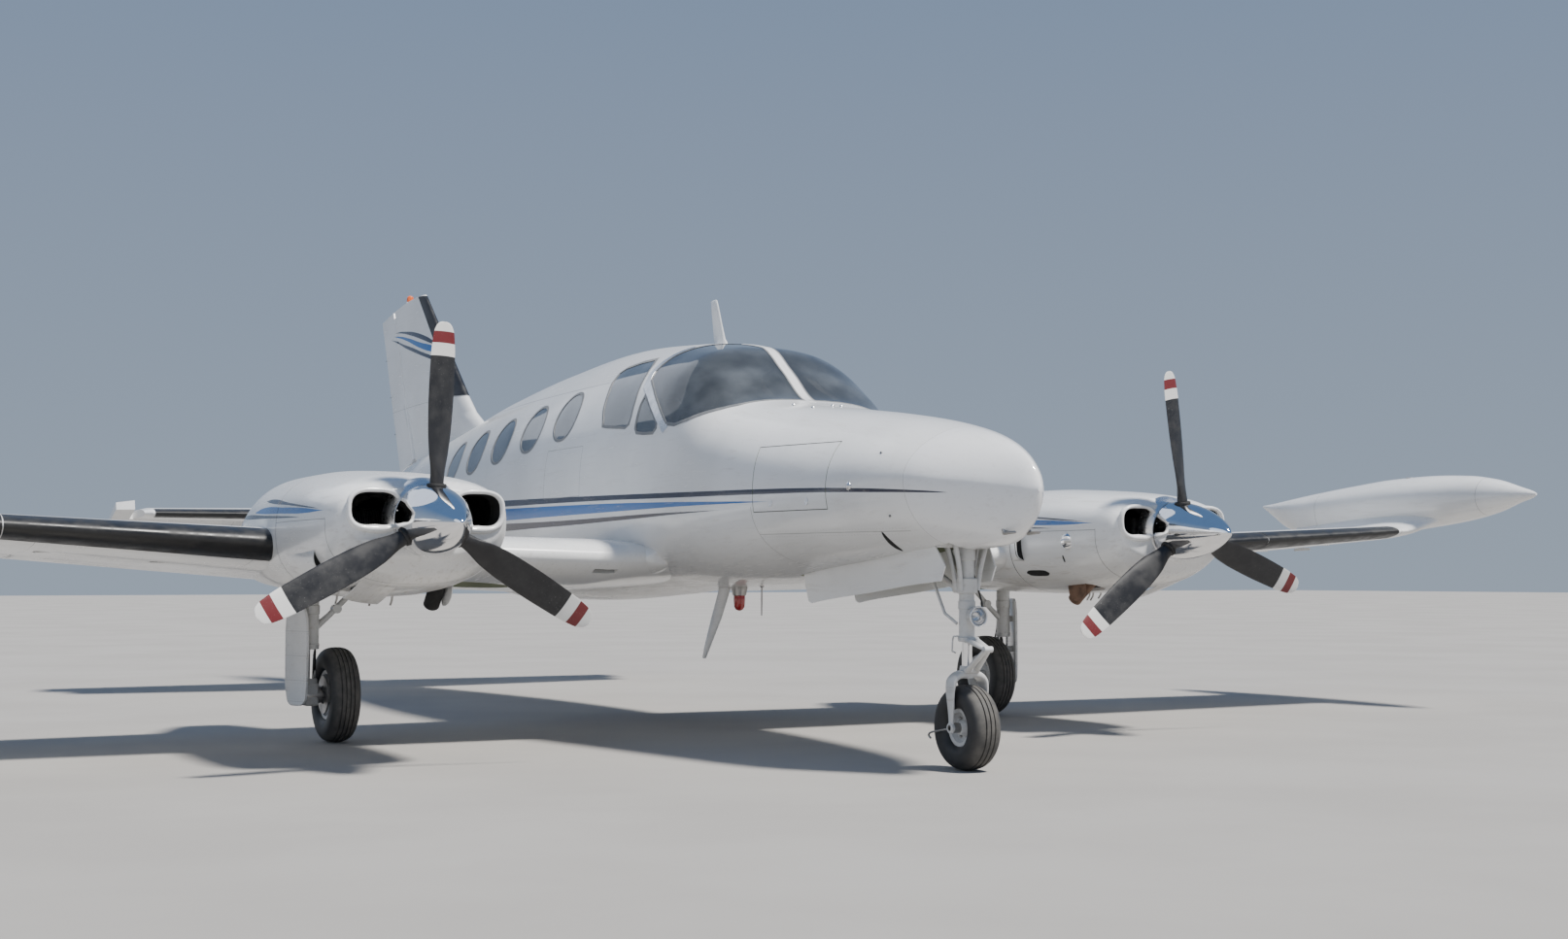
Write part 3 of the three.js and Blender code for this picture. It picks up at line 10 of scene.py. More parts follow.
import bpy
import numpy as np
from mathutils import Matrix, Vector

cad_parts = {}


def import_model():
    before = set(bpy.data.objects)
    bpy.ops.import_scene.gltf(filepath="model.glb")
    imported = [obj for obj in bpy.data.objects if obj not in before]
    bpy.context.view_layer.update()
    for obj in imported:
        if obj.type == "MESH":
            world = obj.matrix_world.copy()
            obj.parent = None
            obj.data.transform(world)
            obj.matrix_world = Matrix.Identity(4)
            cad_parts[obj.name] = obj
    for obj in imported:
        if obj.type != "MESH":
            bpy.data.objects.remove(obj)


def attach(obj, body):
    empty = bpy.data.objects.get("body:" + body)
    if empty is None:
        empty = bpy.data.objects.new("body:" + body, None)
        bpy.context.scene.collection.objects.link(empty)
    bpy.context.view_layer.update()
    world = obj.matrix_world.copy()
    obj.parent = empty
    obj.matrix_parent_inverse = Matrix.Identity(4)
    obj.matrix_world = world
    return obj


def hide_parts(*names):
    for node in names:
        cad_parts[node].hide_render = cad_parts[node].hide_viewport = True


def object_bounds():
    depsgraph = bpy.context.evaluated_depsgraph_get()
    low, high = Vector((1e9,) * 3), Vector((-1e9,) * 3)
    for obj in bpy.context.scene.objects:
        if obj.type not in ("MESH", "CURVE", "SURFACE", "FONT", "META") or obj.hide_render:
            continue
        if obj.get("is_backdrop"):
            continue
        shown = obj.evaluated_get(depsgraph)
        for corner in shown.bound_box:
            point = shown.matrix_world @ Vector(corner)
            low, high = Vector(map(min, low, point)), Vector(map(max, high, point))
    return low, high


log = logging.getLogger("light_aircraft")
Piece = bpy.types.Object
Chooser = Callable[[np.ndarray, np.ndarray], np.ndarray]
MM = 0.001


class Cut(Enum):
    """What a Boolean does with the tool."""

    AWAY = "DIFFERENCE"
    KEEP = "INTERSECT"
    JOIN = "UNION"


class Plane(Enum):
    """The two axes that a flat outline is drawn on."""

    SIDE = "yz"
    PLAN = "xy"
    FRONT = "xz"


class Side(Enum):
    """Left is +X and right is -X."""

    LEFT = 1
    RIGHT = -1

    @property
    def word(self) -> str:
        """The side's word in names."""
        return self.name.lower()


# ---------------------------------------------------------------- meshes


def outward(points: np.ndarray, faces: list[tuple[int, ...]]) -> list[tuple[int, ...]]:
    """Turns all faces round if their solid is inside out, by the sign of its volume.

    Args:
        points: Corners, one row each.
        faces: Corner numbers of each face.

    Returns:
        The faces, outward.
    """
    volume = 0.0
    by_size: dict[int, list[tuple[int, ...]]] = {}
    for face in faces:
        by_size.setdefault(len(face), []).append(face)
    for group in by_size.values():
        corner = points[np.array(group)]
        for k in range(1, corner.shape[1] - 1):
            volume += float(np.einsum("ij,ij->", corner[:, 0],
                                      np.cross(corner[:, k], corner[:, k + 1])))
    return [face[::-1] for face in faces] if volume < 0 else faces


def new_piece(name: str, points: np.ndarray, faces: Sequence[Sequence[int]],
              closed: bool = True) -> Piece:
    """Makes an object at the origin from corners and faces.

    Args:
        name: Piece name.
        points: Corners in metres, one row each.
        faces: Corner numbers of each face.
        closed: Whether the faces close a solid, which is then turned outwards.

    Returns:
        The linked object.
    """
    rows = [tuple(int(i) for i in face) for face in faces]
    mesh = bpy.data.meshes.new(name)
    mesh.from_pydata(points.tolist(), [], outward(points, rows) if closed else rows)
    mesh.validate()
    piece = bpy.data.objects.new(name, mesh)
    bpy.context.scene.collection.objects.link(piece)
    return piece


def quads(rows: int, columns: int, wrap_rows: bool = False,
          wrap_columns: bool = False) -> np.ndarray:
    """Corner numbers of the four-sided faces of a grid of points.

    Args:
        rows: Points down the grid.
        columns: Points across it.
        wrap_rows: Whether the last row joins the first.
        wrap_columns: Whether the last column joins the first.

    Returns:
        One row of four numbers a face.
    """
    i = np.arange(rows if wrap_rows else rows - 1)[:, None]
    j = np.arange(columns if wrap_columns else columns - 1)[None, :]
    below, right = (i + 1) % rows, (j + 1) % columns
    corners = [i * columns + j, i * columns + right, below * columns + right, below * columns + j]
    return np.stack([np.broadcast_to(c, (i.size, j.size)) for c in corners], -1).reshape(-1, 4)


def closed_loft(name: str, rings: np.ndarray) -> Piece:
    """A closed skin through rings, with a fan over each end.

    Args:
        name: Piece name.
        rings: Points as (ring, place on the ring, 3).

    Returns:
        The object.
    """
    rows, columns = rings.shape[:2]
    hubs = np.stack([rings[0].mean(0), rings[-1].mean(0)])
    points = np.concatenate([rings.reshape(-1, 3), hubs])
    first, last, step = rows * columns, (rows - 1) * columns, np.arange(columns)
    front = np.stack([(step + 1) % columns, step, np.full(columns, first)], -1)
    rear = np.stack([last + step, last + (step + 1) % columns, np.full(columns, first + 1)], -1)
    return new_piece(name, points, [*quads(rows, columns, wrap_columns=True), *front, *rear])


def thick_sheet(name: str, outer: np.ndarray, inner: np.ndarray) -> Piece:
    """A closed plate between two equal grids of points, joined along their edges.

    Args:
        name: Piece name.
        outer: Points as (row, column, 3).
        inner: The same number of points on the other face.

    Returns:
        The object.
    """
    rows, columns = outer.shape[:2]
    count = rows * columns
    grid = np.arange(count).reshape(rows, columns)
    edge = np.concatenate([grid[0], grid[1:, -1], grid[-1, -2::-1], grid[-2:0:-1, 0]])
    after = np.roll(edge, -1)
    rim = np.stack([after, edge, edge + count, after + count], -1)
    faces = [*quads(rows, columns), *(quads(rows, columns)[:, ::-1] + count), *rim]
    return new_piece(name, np.concatenate([outer.reshape(-1, 3), inner.reshape(-1, 3)]), faces)


def ring_tube(name: str, rings: np.ndarray) -> Piece:
    """A closed ring whose section is carried once round a path and meets itself."""
    rows, columns = rings.shape[:2]
    return new_piece(name, rings.reshape(-1, 3), quads(rows, columns, True, True))


def prism(name: str, outline: np.ndarray, plane: Plane, start: float, end: float) -> Piece:
    """A flat outline pushed through the object.

    Args:
        name: Piece name.
        outline: Corners on the plane's two axes.
        plane: SIDE pushes along X, PLAN along Z, FRONT along Y.
        start: Where it starts.
        end: Where it ends.

    Returns:
        The object.
    """
    flat = np.asarray(outline, float)
    order = {Plane.SIDE: (2, 0, 1), Plane.PLAN: (0, 1, 2), Plane.FRONT: (0, 2, 1)}[plane]
    count = len(flat)
    ends = [np.column_stack([flat, np.full(count, at)])[:, order] for at in (start, end)]
    step = np.arange(count)
    walls = np.stack([step, (step + 1) % count, (step + 1) % count + count, step + count], -1)
    return new_piece(name, np.concatenate(ends), [tuple(step[::-1]), tuple(step + count), *walls])


def block(name: str, low: Sequence[float], high: Sequence[float]) -> Piece:
    """A plain box from its lowest to its highest corner, as a tool or a base for more work."""
    (x0, y0, z0), (x1, y1, z1) = low, high
    return prism(name, np.array([(x0, y0), (x1, y0), (x1, y1), (x0, y1)]), Plane.PLAN, z0, z1)


def frame_along(path: np.ndarray, up: Sequence[float] = (0.0, 0.0, 1.0)) -> tuple[np.ndarray,
                                                                                  np.ndarray]:
    """Two directions square to a path at each of its points.

    Args:
        path: Points, one row each.
        up: A direction that the path never runs along.

    Returns:
        The sideways and the upward directions: the path's tangent crossed with up, and their
        cross product.
    """
    tangent = np.gradient(path, axis=0)
    tangent /= np.linalg.norm(tangent, axis=1, keepdims=True)
    sideways = np.cross(tangent, np.asarray(up, float))
    sideways /= np.linalg.norm(sideways, axis=1, keepdims=True)
    return sideways, np.cross(sideways, tangent)


def bar(name: str, path: Sequence[Sequence[float]], radius: float | Sequence[float],
        around: int = 24, up: Sequence[float] | None = None, oval: float = 1.0) -> Piece:
    """A round bar or tube carried along a path, closed at its ends.

    The ring at each point is centre + radius (cos a sideways + oval sin a upward).

    Args:
        name: Piece name.
        path: Points of the middle line.
        radius: One radius, or one at each point.
        around: Points round it.
        up: A direction that the path never runs along. One is found where it is left out.
        oval: Height as a share of width.

    Returns:
        The object.
    """
    line = np.asarray(path, float)
    if up is None:
        up = np.eye(3)[int(np.argmin(np.abs(line[-1] - line[0])))]
    sideways, upward = frame_along(line, up)
    angle = np.linspace(0, 2 * math.pi, around, endpoint=False)
    size = np.broadcast_to(np.asarray(radius, float), (len(line),))[:, None, None]
    rings = line[:, None] + size * (np.cos(angle)[None, :, None] * sideways[:, None]
                                    + oval * np.sin(angle)[None, :, None] * upward[:, None])
    return closed_loft(name, rings)


def stepped_bar(name: str, start: Sequence[float], end: Sequence[float],
                steps: Sequence[tuple[float, float]], around: int = 32) -> Piece:
    """A turned bar whose radius changes along it, with crisp steps.

    Args:
        name: Piece name.
        start: Start of its axis.
        end: End of its axis.
        steps: Rows of distance from the start, and radius.
        around: Points round it.

    Returns:
        The object.
    """
    a, b = np.asarray(start, float), np.asarray(end, float)
    axis = (b - a) / np.linalg.norm(b - a)
    up = np.eye(3)[int(np.argmin(np.abs(axis)))]
    sideways = np.cross(axis, up)
    sideways /= np.linalg.norm(sideways)
    upward = np.cross(sideways, axis)
    angle = np.linspace(0, 2 * math.pi, around, endpoint=False)
    table = np.asarray(steps, float)
    ring = np.cos(angle)[None, :, None] * sideways + np.sin(angle)[None, :, None] * upward
    return closed_loft(name, a + table[:, 0, None, None] * axis + table[:, 1, None, None] * ring)


def turned(name: str, profile: Sequence[tuple[float, float]], centre: Sequence[float],
           around: int = 96, closed: bool = True) -> Piece:
    """A wheel shape: a profile turned about a line along X.

    A point (radius r, offset x) goes to (cx + x, cy + r cos a, cz + r sin a).

    Args:
        name: Piece name.
        profile: Rows of radius and offset along X.
        centre: The middle of the wheel.
        around: Points round it.
        closed: Whether the profile's last row joins its first.

    Returns:
        The object.
    """
    table = np.asarray(profile, float)
    angle = np.linspace(0, 2 * math.pi, around, endpoint=False)
    radius, offset = table[None, :, 0], table[None, :, 1]
    rings = np.stack([np.broadcast_to(offset, (around, len(table))),
                      radius * np.cos(angle)[:, None], radius * np.sin(angle)[:, None]],
                     -1) + np.asarray(centre, float)
    if closed:
        return ring_tube(name, rings)
    return closed_loft(name, np.swapaxes(rings, 0, 1))


def polished_edges(piece: Piece, degrees: float = 32.0) -> Piece:
    """Shades a piece smooth except over edges sharper than an angle."""
    mesh = piece.data
    mesh.shade_smooth()
    mesh.set_sharp_from_angle(angle=math.radians(degrees))
    return piece


def carve(piece: Piece, tool: Piece, how: Cut = Cut.AWAY, keep_tool: bool = False) -> Piece:
    """Cuts a tool out of a piece, or keeps what they share, or joins them, in place.

    Args:
        piece: The piece to change.
        tool: The other solid.
        how: What to do with it.
        keep_tool: Whether the tool is used again.

    Returns:
        The changed piece.
    """
    modifier = piece.modifiers.new("carve", "BOOLEAN")
    modifier.operation = how.value
    modifier.solver = "MANIFOLD"
    modifier.object = tool
    graph = bpy.context.evaluated_depsgraph_get()
    mesh = bpy.data.meshes.new_from_object(piece.evaluated_get(graph))
    piece.modifiers.clear()
    old = piece.data
    piece.data = mesh
    mesh.name = piece.name
    bpy.data.meshes.remove(old)
    if not keep_tool:
        drop(tool)
    if not mesh.polygons:
        log.warning("%s is empty after a cut", piece.name)
    return piece


def drop(piece: Piece) -> None:
    """Removes a tool and its mesh."""
    mesh = piece.data
    bpy.data.objects.remove(piece)
    bpy.data.meshes.remove(mesh)


def copy_of(piece: Piece, name: str) -> Piece:
    """A second object with its own copy of a mesh."""
    twin = bpy.data.objects.new(name, piece.data.copy())
    bpy.context.scene.collection.objects.link(twin)
    return twin


def corners_of(piece: Piece) -> np.ndarray:
    """A mesh's corners as rows."""
    flat = np.empty(len(piece.data.vertices) * 3, np.float32)
    piece.data.vertices.foreach_get("co", flat)
    return flat.reshape(-1, 3).astype(float)


def set_corners(piece: Piece, points: np.ndarray) -> Piece:
    """Puts rows of corners back into a mesh."""
    piece.data.vertices.foreach_set("co", points.astype(np.float32).ravel())
    piece.data.update()
    return piece


def mirrored(piece: Piece, name: str) -> Piece:
    """A copy on the other side of the aircraft, with its faces outward again."""
    twin = copy_of(piece, name)
    set_corners(twin, corners_of(twin) * np.array([-1.0, 1.0, 1.0]))
    twin.data.flip_normals()
    return twin


def joined(name: str, pieces: Sequence[Piece]) -> Piece:
    """One object from several, each keeping its faces and materials, with no Boolean.

    Args:
        name: Name of the whole.
        pieces: The objects, which are removed.

    Returns:
        The joined object.
    """
    points, faces, slots, materials = [], [], [], []
    base = 0
    for piece in pieces:
        mesh = piece.data
        points.append(corners_of(piece))
        own = [list(p.vertices) for p in mesh.polygons]
        faces += [[i + base for i in row] for row in own]
        lookup = []
        for material in mesh.materials:
            if material not in materials:
                materials.append(material)
            lookup.append(materials.index(material))
        slots += [lookup[p.material_index] if lookup else 0 for p in mesh.polygons]
        base += len(points[-1])
    whole = new_piece(name, np.concatenate(points), faces, closed=False)
    for material in materials:
        whole.data.materials.append(material)
    whole.data.polygons.foreach_set("material_index", slots)
    for piece in pieces:
        drop(piece)
    return whole


def spun(piece: Piece, start: Sequence[float], end: Sequence[float], degrees: float) -> Piece:
    """Turns a mesh's corners about the line from start to end, by the right hand."""
    a, b = np.asarray(start, float), np.asarray(end, float)
    k = (b - a) / np.linalg.norm(b - a)
    turn = math.radians(degrees)
    p = corners_of(piece) - a
    moved = (p * math.cos(turn) + np.cross(k, p) * math.sin(turn)
             + np.outer(p @ k, k) * (1 - math.cos(turn)))
    return set_corners(piece, moved + a)


# ---------------------------------------------------------------- surfaces


def smooth_rows(table: np.ndarray, at: np.ndarray) -> np.ndarray:
    """Rows between a table's own rows, by a monotone cubic through each column.

    The slope at a row is the harmonic mean of the two chord slopes beside it, or zero where they
    differ in sign. Between rows it is the usual cubic of two values and two slopes.

    Args:
        table: First column the station, the rest the values.
        at: Stations wanted, of any shape.

    Returns:
        Values, with the columns last.
    """
    station, value = table[:, 0], table[:, 1:]
    gap = np.diff(station)
    chord = np.diff(value, axis=0) / gap[:, None]
    slope = np.empty_like(value)
    slope[0], slope[-1] = chord[0], chord[-1]
    product = chord[:-1] * chord[1:]
    total = chord[:-1] + chord[1:]
    slope[1:-1] = np.where(product > 0, 2 * product / np.where(total == 0, 1, total), 0)
    where = np.clip(np.asarray(at, float), station[0], station[-1])
    k = np.clip(np.searchsorted(station, where, side="right") - 1, 0, len(gap) - 1)
    t = ((where - station[k]) / gap[k])[..., None]
    g = gap[k][..., None]
    return (value[k] * (1 + 2 * t) * (1 - t) ** 2 + slope[k] * g * t * (1 - t) ** 2
            + value[k + 1] * t * t * (3 - 2 * t) + slope[k + 1] * g * t * t * (t - 1))


@dataclass(frozen=True)
class BodyShape:
    """A long body of rounded sections.

    Its rows are y, top, bottom, half width, belt height and the roundness above and below.
    """

    rows_mm: tuple[tuple[float, ...], ...]
    centre: float = 0.0

    @property
    def table(self) -> np.ndarray:
        """The rows in metres."""
        rows = np.array(self.rows_mm, float)
        rows[:, :5] *= MM
        return rows

    def section(self, y: np.ndarray | float) -> tuple[np.ndarray, ...]:
        """Top, bottom, half width, belt and both roundnesses at a station."""
        return tuple(np.moveaxis(smooth_rows(self.table, np.asarray(y, float)), -1, 0))

    def surface(self, y: np.ndarray, angle: np.ndarray, grow: float = 0.0) -> np.ndarray:
        """Points of the skin at stations and angles.

        A section is a superellipse: x = half |cos a|^(2/p), z = belt + height |sin a|^(2/p), with
        the signs kept.

        Args:
            y: Stations.
            angle: Angles about the belt line.
            grow: Distance outside the skin.

        Returns:
            Points as (station, angle, 3).
        """
        top, bottom, half, belt, above, below = (v[:, None] for v in self.section(y))
        across, up = np.cos(angle)[None], np.sin(angle)[None]
        height = np.where(up > 0, top + grow - belt, belt - bottom + grow)
        power = 2 / np.where(up > 0, above, below)
        x = self.centre + (half + grow) * np.sign(across) * np.abs(across) ** power
        z = belt + height * np.sign(up) * np.abs(up) ** power
        return np.stack([x, np.broadcast_to(np.asarray(y, float)[:, None], x.shape), z], -1)

    def solid(self, name: str, start: float, end: float, grow: float = 0.0, step: float = 0.05,
              around: int = 96) -> Piece:
        """The closed body between two stations.

        Args:
            name: Piece name.
            start: First station.
            end: Last station.
            grow: Distance outside the skin.
            step: Distance between rings.
            around: Points on a ring.

        Returns:
            The object.
        """
        y = np.linspace(start, end, max(3, int(abs(end - start) / step) + 1))
        angle = 2 * math.pi * (np.arange(around) + 0.5) / around
        return closed_loft(name, self.surface(y, angle, grow))

    def side_x(self, y: np.ndarray | float, z: np.ndarray | float, grow: float = 0.0) -> np.ndarray:
        """Distance of the skin from the centre line at a height h: half (1 - h^p)^(1/p)."""
        top, bottom, half, belt, above, below = self.section(y)
        up = np.asarray(z, float) > belt
        share = np.abs(z - belt) / np.where(up, top + grow - belt, belt - bottom + grow)
        power = np.where(up, above, below)
        return (half + grow) * np.clip(1 - np.clip(share, 0, 1) ** power, 0, 1) ** (1 / power)

    def cap_z(self, y: np.ndarray | float, across: np.ndarray | float, above: bool = True,
              grow: float = 0.0) -> np.ndarray:
        """Height of the upper or lower skin at a distance from the centre line."""
        top, bottom, half, belt, over, under = self.section(y)
        power = over if above else under
        rise = np.clip(1 - np.clip(np.abs(across) / (half + grow), 0, 1) ** power, 0,
                       1) ** (1 / power)
        return belt + rise * (top + grow - belt) if above else belt - rise * (belt - bottom + grow)

    def on_skin(self, points: np.ndarray, within: float = 0.985) -> np.ndarray:
        """Whether points lie on the outer skin: |x / half|^p + |h|^p is nearly one or more."""
        top, bottom, half, belt, above, below = self.section(points[:, 1])
        up = points[:, 2] > belt
        height = np.abs(points[:, 2] - belt) / np.where(up, top - belt, belt - bottom)
        power = np.where(up, above, below)
        return (np.abs(points[:, 0] - self.centre) / half) ** power + height ** power > within


def half_thickness(share: np.ndarray) -> np.ndarray:
    """Half the thickness of a rounded aerofoil at a share of its chord, for a thickness of one."""
    return 5 * (0.2969 * np.sqrt(share) - 0.126 * share - 0.3516 * share**2 + 0.2843 * share**3
                - 0.1015 * share**4)


@dataclass(frozen=True)
class WingShape:
    """A tapered surface.

    Its rows are x, leading edge y and z, chord, drop of the trailing edge, and thickness.
    """

    rows_mm: tuple[tuple[float, ...], ...]
    camber: float = 0.02

    @property
    def table(self) -> np.ndarray:
        """The rows in metres."""
        rows = np.array(self.rows_mm, float)
        rows[:, :5] *= MM
        return rows

    def at(self, x: np.ndarray | float) -> tuple[np.ndarray, ...]:
        """Leading edge y and z, chord, drop and thickness at a span."""
        rows = self.table
        return tuple(np.interp(x, rows[:, 0], rows[:, k]) for k in range(1, 6))

    def surface(self, x: np.ndarray, share: np.ndarray, grow: float = 0.0) -> np.ndarray:
        """Points on the skin. A share from 0 to 1 is on top, and from 0 to -1 below.

        y runs down the chord, z = lead - drop s + camber 4 s (1 - s) c + side (thickness c + grow).

        Args:
            x: Spans.
            share: Signed shares of the chord.
            grow: Distance outside the skin.

        Returns:
            Points as (span, share, 3).
        """
        lead_y, lead_z, chord, drop, thick = (np.asarray(v)[:, None] for v in self.at(x))
        s, side = np.abs(share)[None], np.where(np.signbit(share), -1.0, 1.0)[None]
        offset = np.maximum(thick * chord * half_thickness(s) + grow,
                            0.0015 * np.minimum(s * 400, 1))
        y = lead_y - grow + (chord + 2 * grow) * s
        z = lead_z - drop * s + self.camber * chord * 4 * s * (1 - s) + side * offset
        return np.stack([np.broadcast_to(np.asarray(x, float)[:, None], y.shape), y, z], -1)

    def solid(self, name: str, spans: np.ndarray, grow: float = 0.0, points: int = 34) -> Piece:
        """The closed surface through some spans, its points close together at the leading edge.

        Args:
            name: Piece name.
            spans: Where the rings are.
            grow: Distance outside the skin.
            points: Points on each of the two faces.

        Returns:
            The object.
        """
        s = np.linspace(0, 1, points) ** 1.8
        around = np.concatenate([s[::-1], -s[1:]])
        return closed_loft(name, self.surface(spans, around, grow))

    def point(self, x: float, share: float, side: int = 0) -> np.ndarray:
        """A point on the mean line, or on the upper (1) or lower (-1) skin."""
        lead_y, lead_z, chord, drop, thick = self.at(x)
        lift = self.camber * chord * 4 * share * (1 - share)
        return np.array([x, lead_y + chord * share,
                         lead_z - drop * share + lift + side * thick * chord
                         * float(half_thickness(share))])


def grown(outline: np.ndarray, amount: float) -> np.ndarray:
    """A closed outline with every edge moved out by the same amount.

    A corner moves by amount (n1 + n2) / (1 + n1.n2), where n1 and n2 are the outward directions
    of its two edges.

    Args:
        outline: Corners in order.
        amount: How far, outwards.

    Returns:
        The moved corners.
    """
    after = np.roll(outline, -1, 0) - outline
    area = np.sum(outline[:, 0] * np.roll(outline[:, 1], -1) - outline[:, 1]
                  * np.roll(outline[:, 0], -1))
    normal = np.stack([after[:, 1], -after[:, 0]], -1) * np.sign(area)
    normal /= np.linalg.norm(normal, axis=1, keepdims=True)
    before = np.roll(normal, 1, 0)
    return outline + amount * (before + normal) / (1 + np.sum(before * normal, 1))[:, None]


def rounded(outline: np.ndarray, times: int = 2) -> np.ndarray:
    """An outline with its corners cut: each edge gives its points at a fifth and four fifths."""
    points = np.asarray(outline, float)
    for _ in range(times):
        after = np.roll(points, -1, 0)
        points = np.stack([points * 0.8 + after * 0.2, points * 0.2 + after * 0.8], 1).reshape(-1,
                                                                                               2)
    return points


def oval(centre: Sequence[float], half: Sequence[float], count: int = 48,
         power: float = 2.0) -> np.ndarray:
    """An oval outline: centre + half |cos|^(2/power), half |sin|^(2/power), signs kept."""
    angle = np.linspace(0, 2 * math.pi, count, endpoint=False)
    c, s = np.cos(angle), np.sin(angle)
    return np.stack([centre[0] + half[0] * np.sign(c) * np.abs(c) ** (2 / power),
                     centre[1] + half[1] * np.sign(s) * np.abs(s) ** (2 / power)], -1)


# ---------------------------------------------------------------- finishes


class Do(Enum):
    """Sums that a material's nodes do."""

    ADD = "ADD"
    TAKE = "SUBTRACT"
    TIMES = "MULTIPLY"
    OVER = "DIVIDE"
    SIZE = "ABSOLUTE"
    MOST = "MAXIMUM"
    PART = "FRACT"
    SINE = "SINE"
    ROOT = "SQRT"


class Axis(Enum):
    """An axis of the aircraft, as a column number."""

    ACROSS = 0
    ALONG = 1
    UP = 2


class Slot(Enum):
    """The record's material slots."""

    SKIN = "white_skin"
    FORE = "white_fore"
    GLASS = "tinted_glass"
    GEAR = "gear_steel"
    IRON = "engine_iron"
    RUBBER = "rubber"
    POLISHED = "polished"
    BLADE = "blade_black"
    CLOTH = "cabin_cloth"
    TRIM = "cabin_trim"


Socket = bpy.types.NodeSocket
Value = Socket | float
Colour = tuple[float, float, float]


class NodeSheet:
    """One material's node tree, with short words for the nodes that it is made of."""

    def __init__(self, name: str) -> None:
        """Starts a material with its shader and the Object coordinates of a piece."""
        self.material = bpy.data.materials.new(name)
        self.material.use_nodes = True
        self.tree = self.material.node_tree
        self.shader = self.tree.nodes["Principled BSDF"]
        self.place = self.tree.nodes.new("ShaderNodeTexCoord").outputs["Object"]
        split = self.tree.nodes.new("ShaderNodeSeparateXYZ")
        self.tree.links.new(self.place, split.inputs[0])
        self.axes = {axis: split.outputs[axis.value] for axis in Axis}

    def put(self, socket: Socket, value: Value | Colour) -> None:
        """Links a socket, or sets its own value."""
        if isinstance(value, bpy.types.NodeSocket):
            self.tree.links.new(value, socket)
        elif isinstance(value, tuple) and len(socket.default_value) == 4:
            socket.default_value = (*value, 1.0)
        else:
            socket.default_value = value

    def sum(self, do: Do, a: Value, b: Value = 0.0) -> Socket:
        """One sum of two numbers."""
        node = self.tree.nodes.new("ShaderNodeMath")
        node.operation = do.value
        self.put(node.inputs[0], a)
        self.put(node.inputs[1], b)
        return node.outputs[0]

    def ramp(self, value: Value, low: float, high: float, first: float = 0.0, last: float = 1.0,
             smooth: bool = True) -> Socket:
        """A number that goes from first to last while the value goes from low to high."""
        node = self.tree.nodes.new("ShaderNodeMapRange")
        node.interpolation_type = "SMOOTHSTEP" if smooth else "LINEAR"
        node.clamp = True
        for socket, number in zip(node.inputs[:5], (value, low, high, first, last)):
            self.put(socket, number)
        return node.outputs[0]

    def band(self, value: Value, centre: Value, half: float, soft: float) -> Socket:
        """One near a value's centre, and nothing away from it."""
        return self.ramp(self.sum(Do.SIZE, self.sum(Do.TAKE, value, centre)), half, half + soft,
                         1.0, 0.0)

    def noise(self, scale: float, detail: float = 3.0, rough: float = 0.5,
              stretch: tuple[float, float, float] = (1.0, 1.0, 1.0)) -> Socket:
        """Cloudy noise on Object coordinates, stretched by a factor on each axis."""
        mapping = self.tree.nodes.new("ShaderNodeMapping")
        self.put(mapping.inputs["Vector"], self.place)
        mapping.inputs["Scale"].default_value = stretch
        node = self.tree.nodes.new("ShaderNodeTexNoise")
        self.put(node.inputs["Vector"], mapping.outputs[0])
        node.inputs["Scale"].default_value = scale
        node.inputs["Detail"].default_value = detail
        node.inputs["Roughness"].default_value = rough
        return node.outputs[0]

    def cells(self, scale: float, stretch: tuple[float, float, float] = (1.0, 1.0, 1.0)) -> Socket:
        """Distance to the nearest of many scattered points."""
        mapping = self.tree.nodes.new("ShaderNodeMapping")
        self.put(mapping.inputs["Vector"], self.place)
        mapping.inputs["Scale"].default_value = stretch
        node = self.tree.nodes.new("ShaderNodeTexVoronoi")
        self.put(node.inputs["Vector"], mapping.outputs[0])
        node.inputs["Scale"].default_value = scale
        return node.outputs[0]

    def mix(self, amount: Value, a: Socket | Colour, b: Socket | Colour) -> Socket:
        """A colour between two, by an amount."""
        node = self.tree.nodes.new("ShaderNodeMix")
        node.data_type = "RGBA"
        node.clamp_factor = True
        self.put(node.inputs[0], amount)
        self.put(node.inputs[6], a)
        self.put(node.inputs[7], b)
        return node.outputs[2]

    def curve(self, value: Value, points: Sequence[tuple[float, float]]) -> Socket:
        """A number read off a drawn curve, with both axes from 0 to 1."""
        node = self.tree.nodes.new("ShaderNodeFloatCurve")
        drawn = node.mapping.curves[0]
        drawn.points[0].location, drawn.points[1].location = points[0], points[-1]
        for point in points[1:-1]:
            drawn.points.new(*point)
        node.mapping.update()
        self.put(node.inputs["Value"], value)
        return node.outputs[0]

    def bumps(self, height: Socket, strength: float, depth: float,
              onto: Socket | None = None) -> Socket:
        """A bumped normal from a height, over another normal where one is given."""
        node = self.tree.nodes.new("ShaderNodeBump")
        node.inputs["Strength"].default_value = strength
        node.inputs["Distance"].default_value = depth
        self.put(node.inputs["Height"], height)
        if onto is not None:
            self.put(node.inputs["Normal"], onto)
        return node.outputs[0]

    def finish(self, **values: Value | Colour) -> bpy.types.Material:
        """Sets or links the shader's sockets, named with _ for a space, and gives the material."""
        for name, value in values.items():
            self.put(self.shader.inputs[name.replace("_", " ")], value)
        return self.material


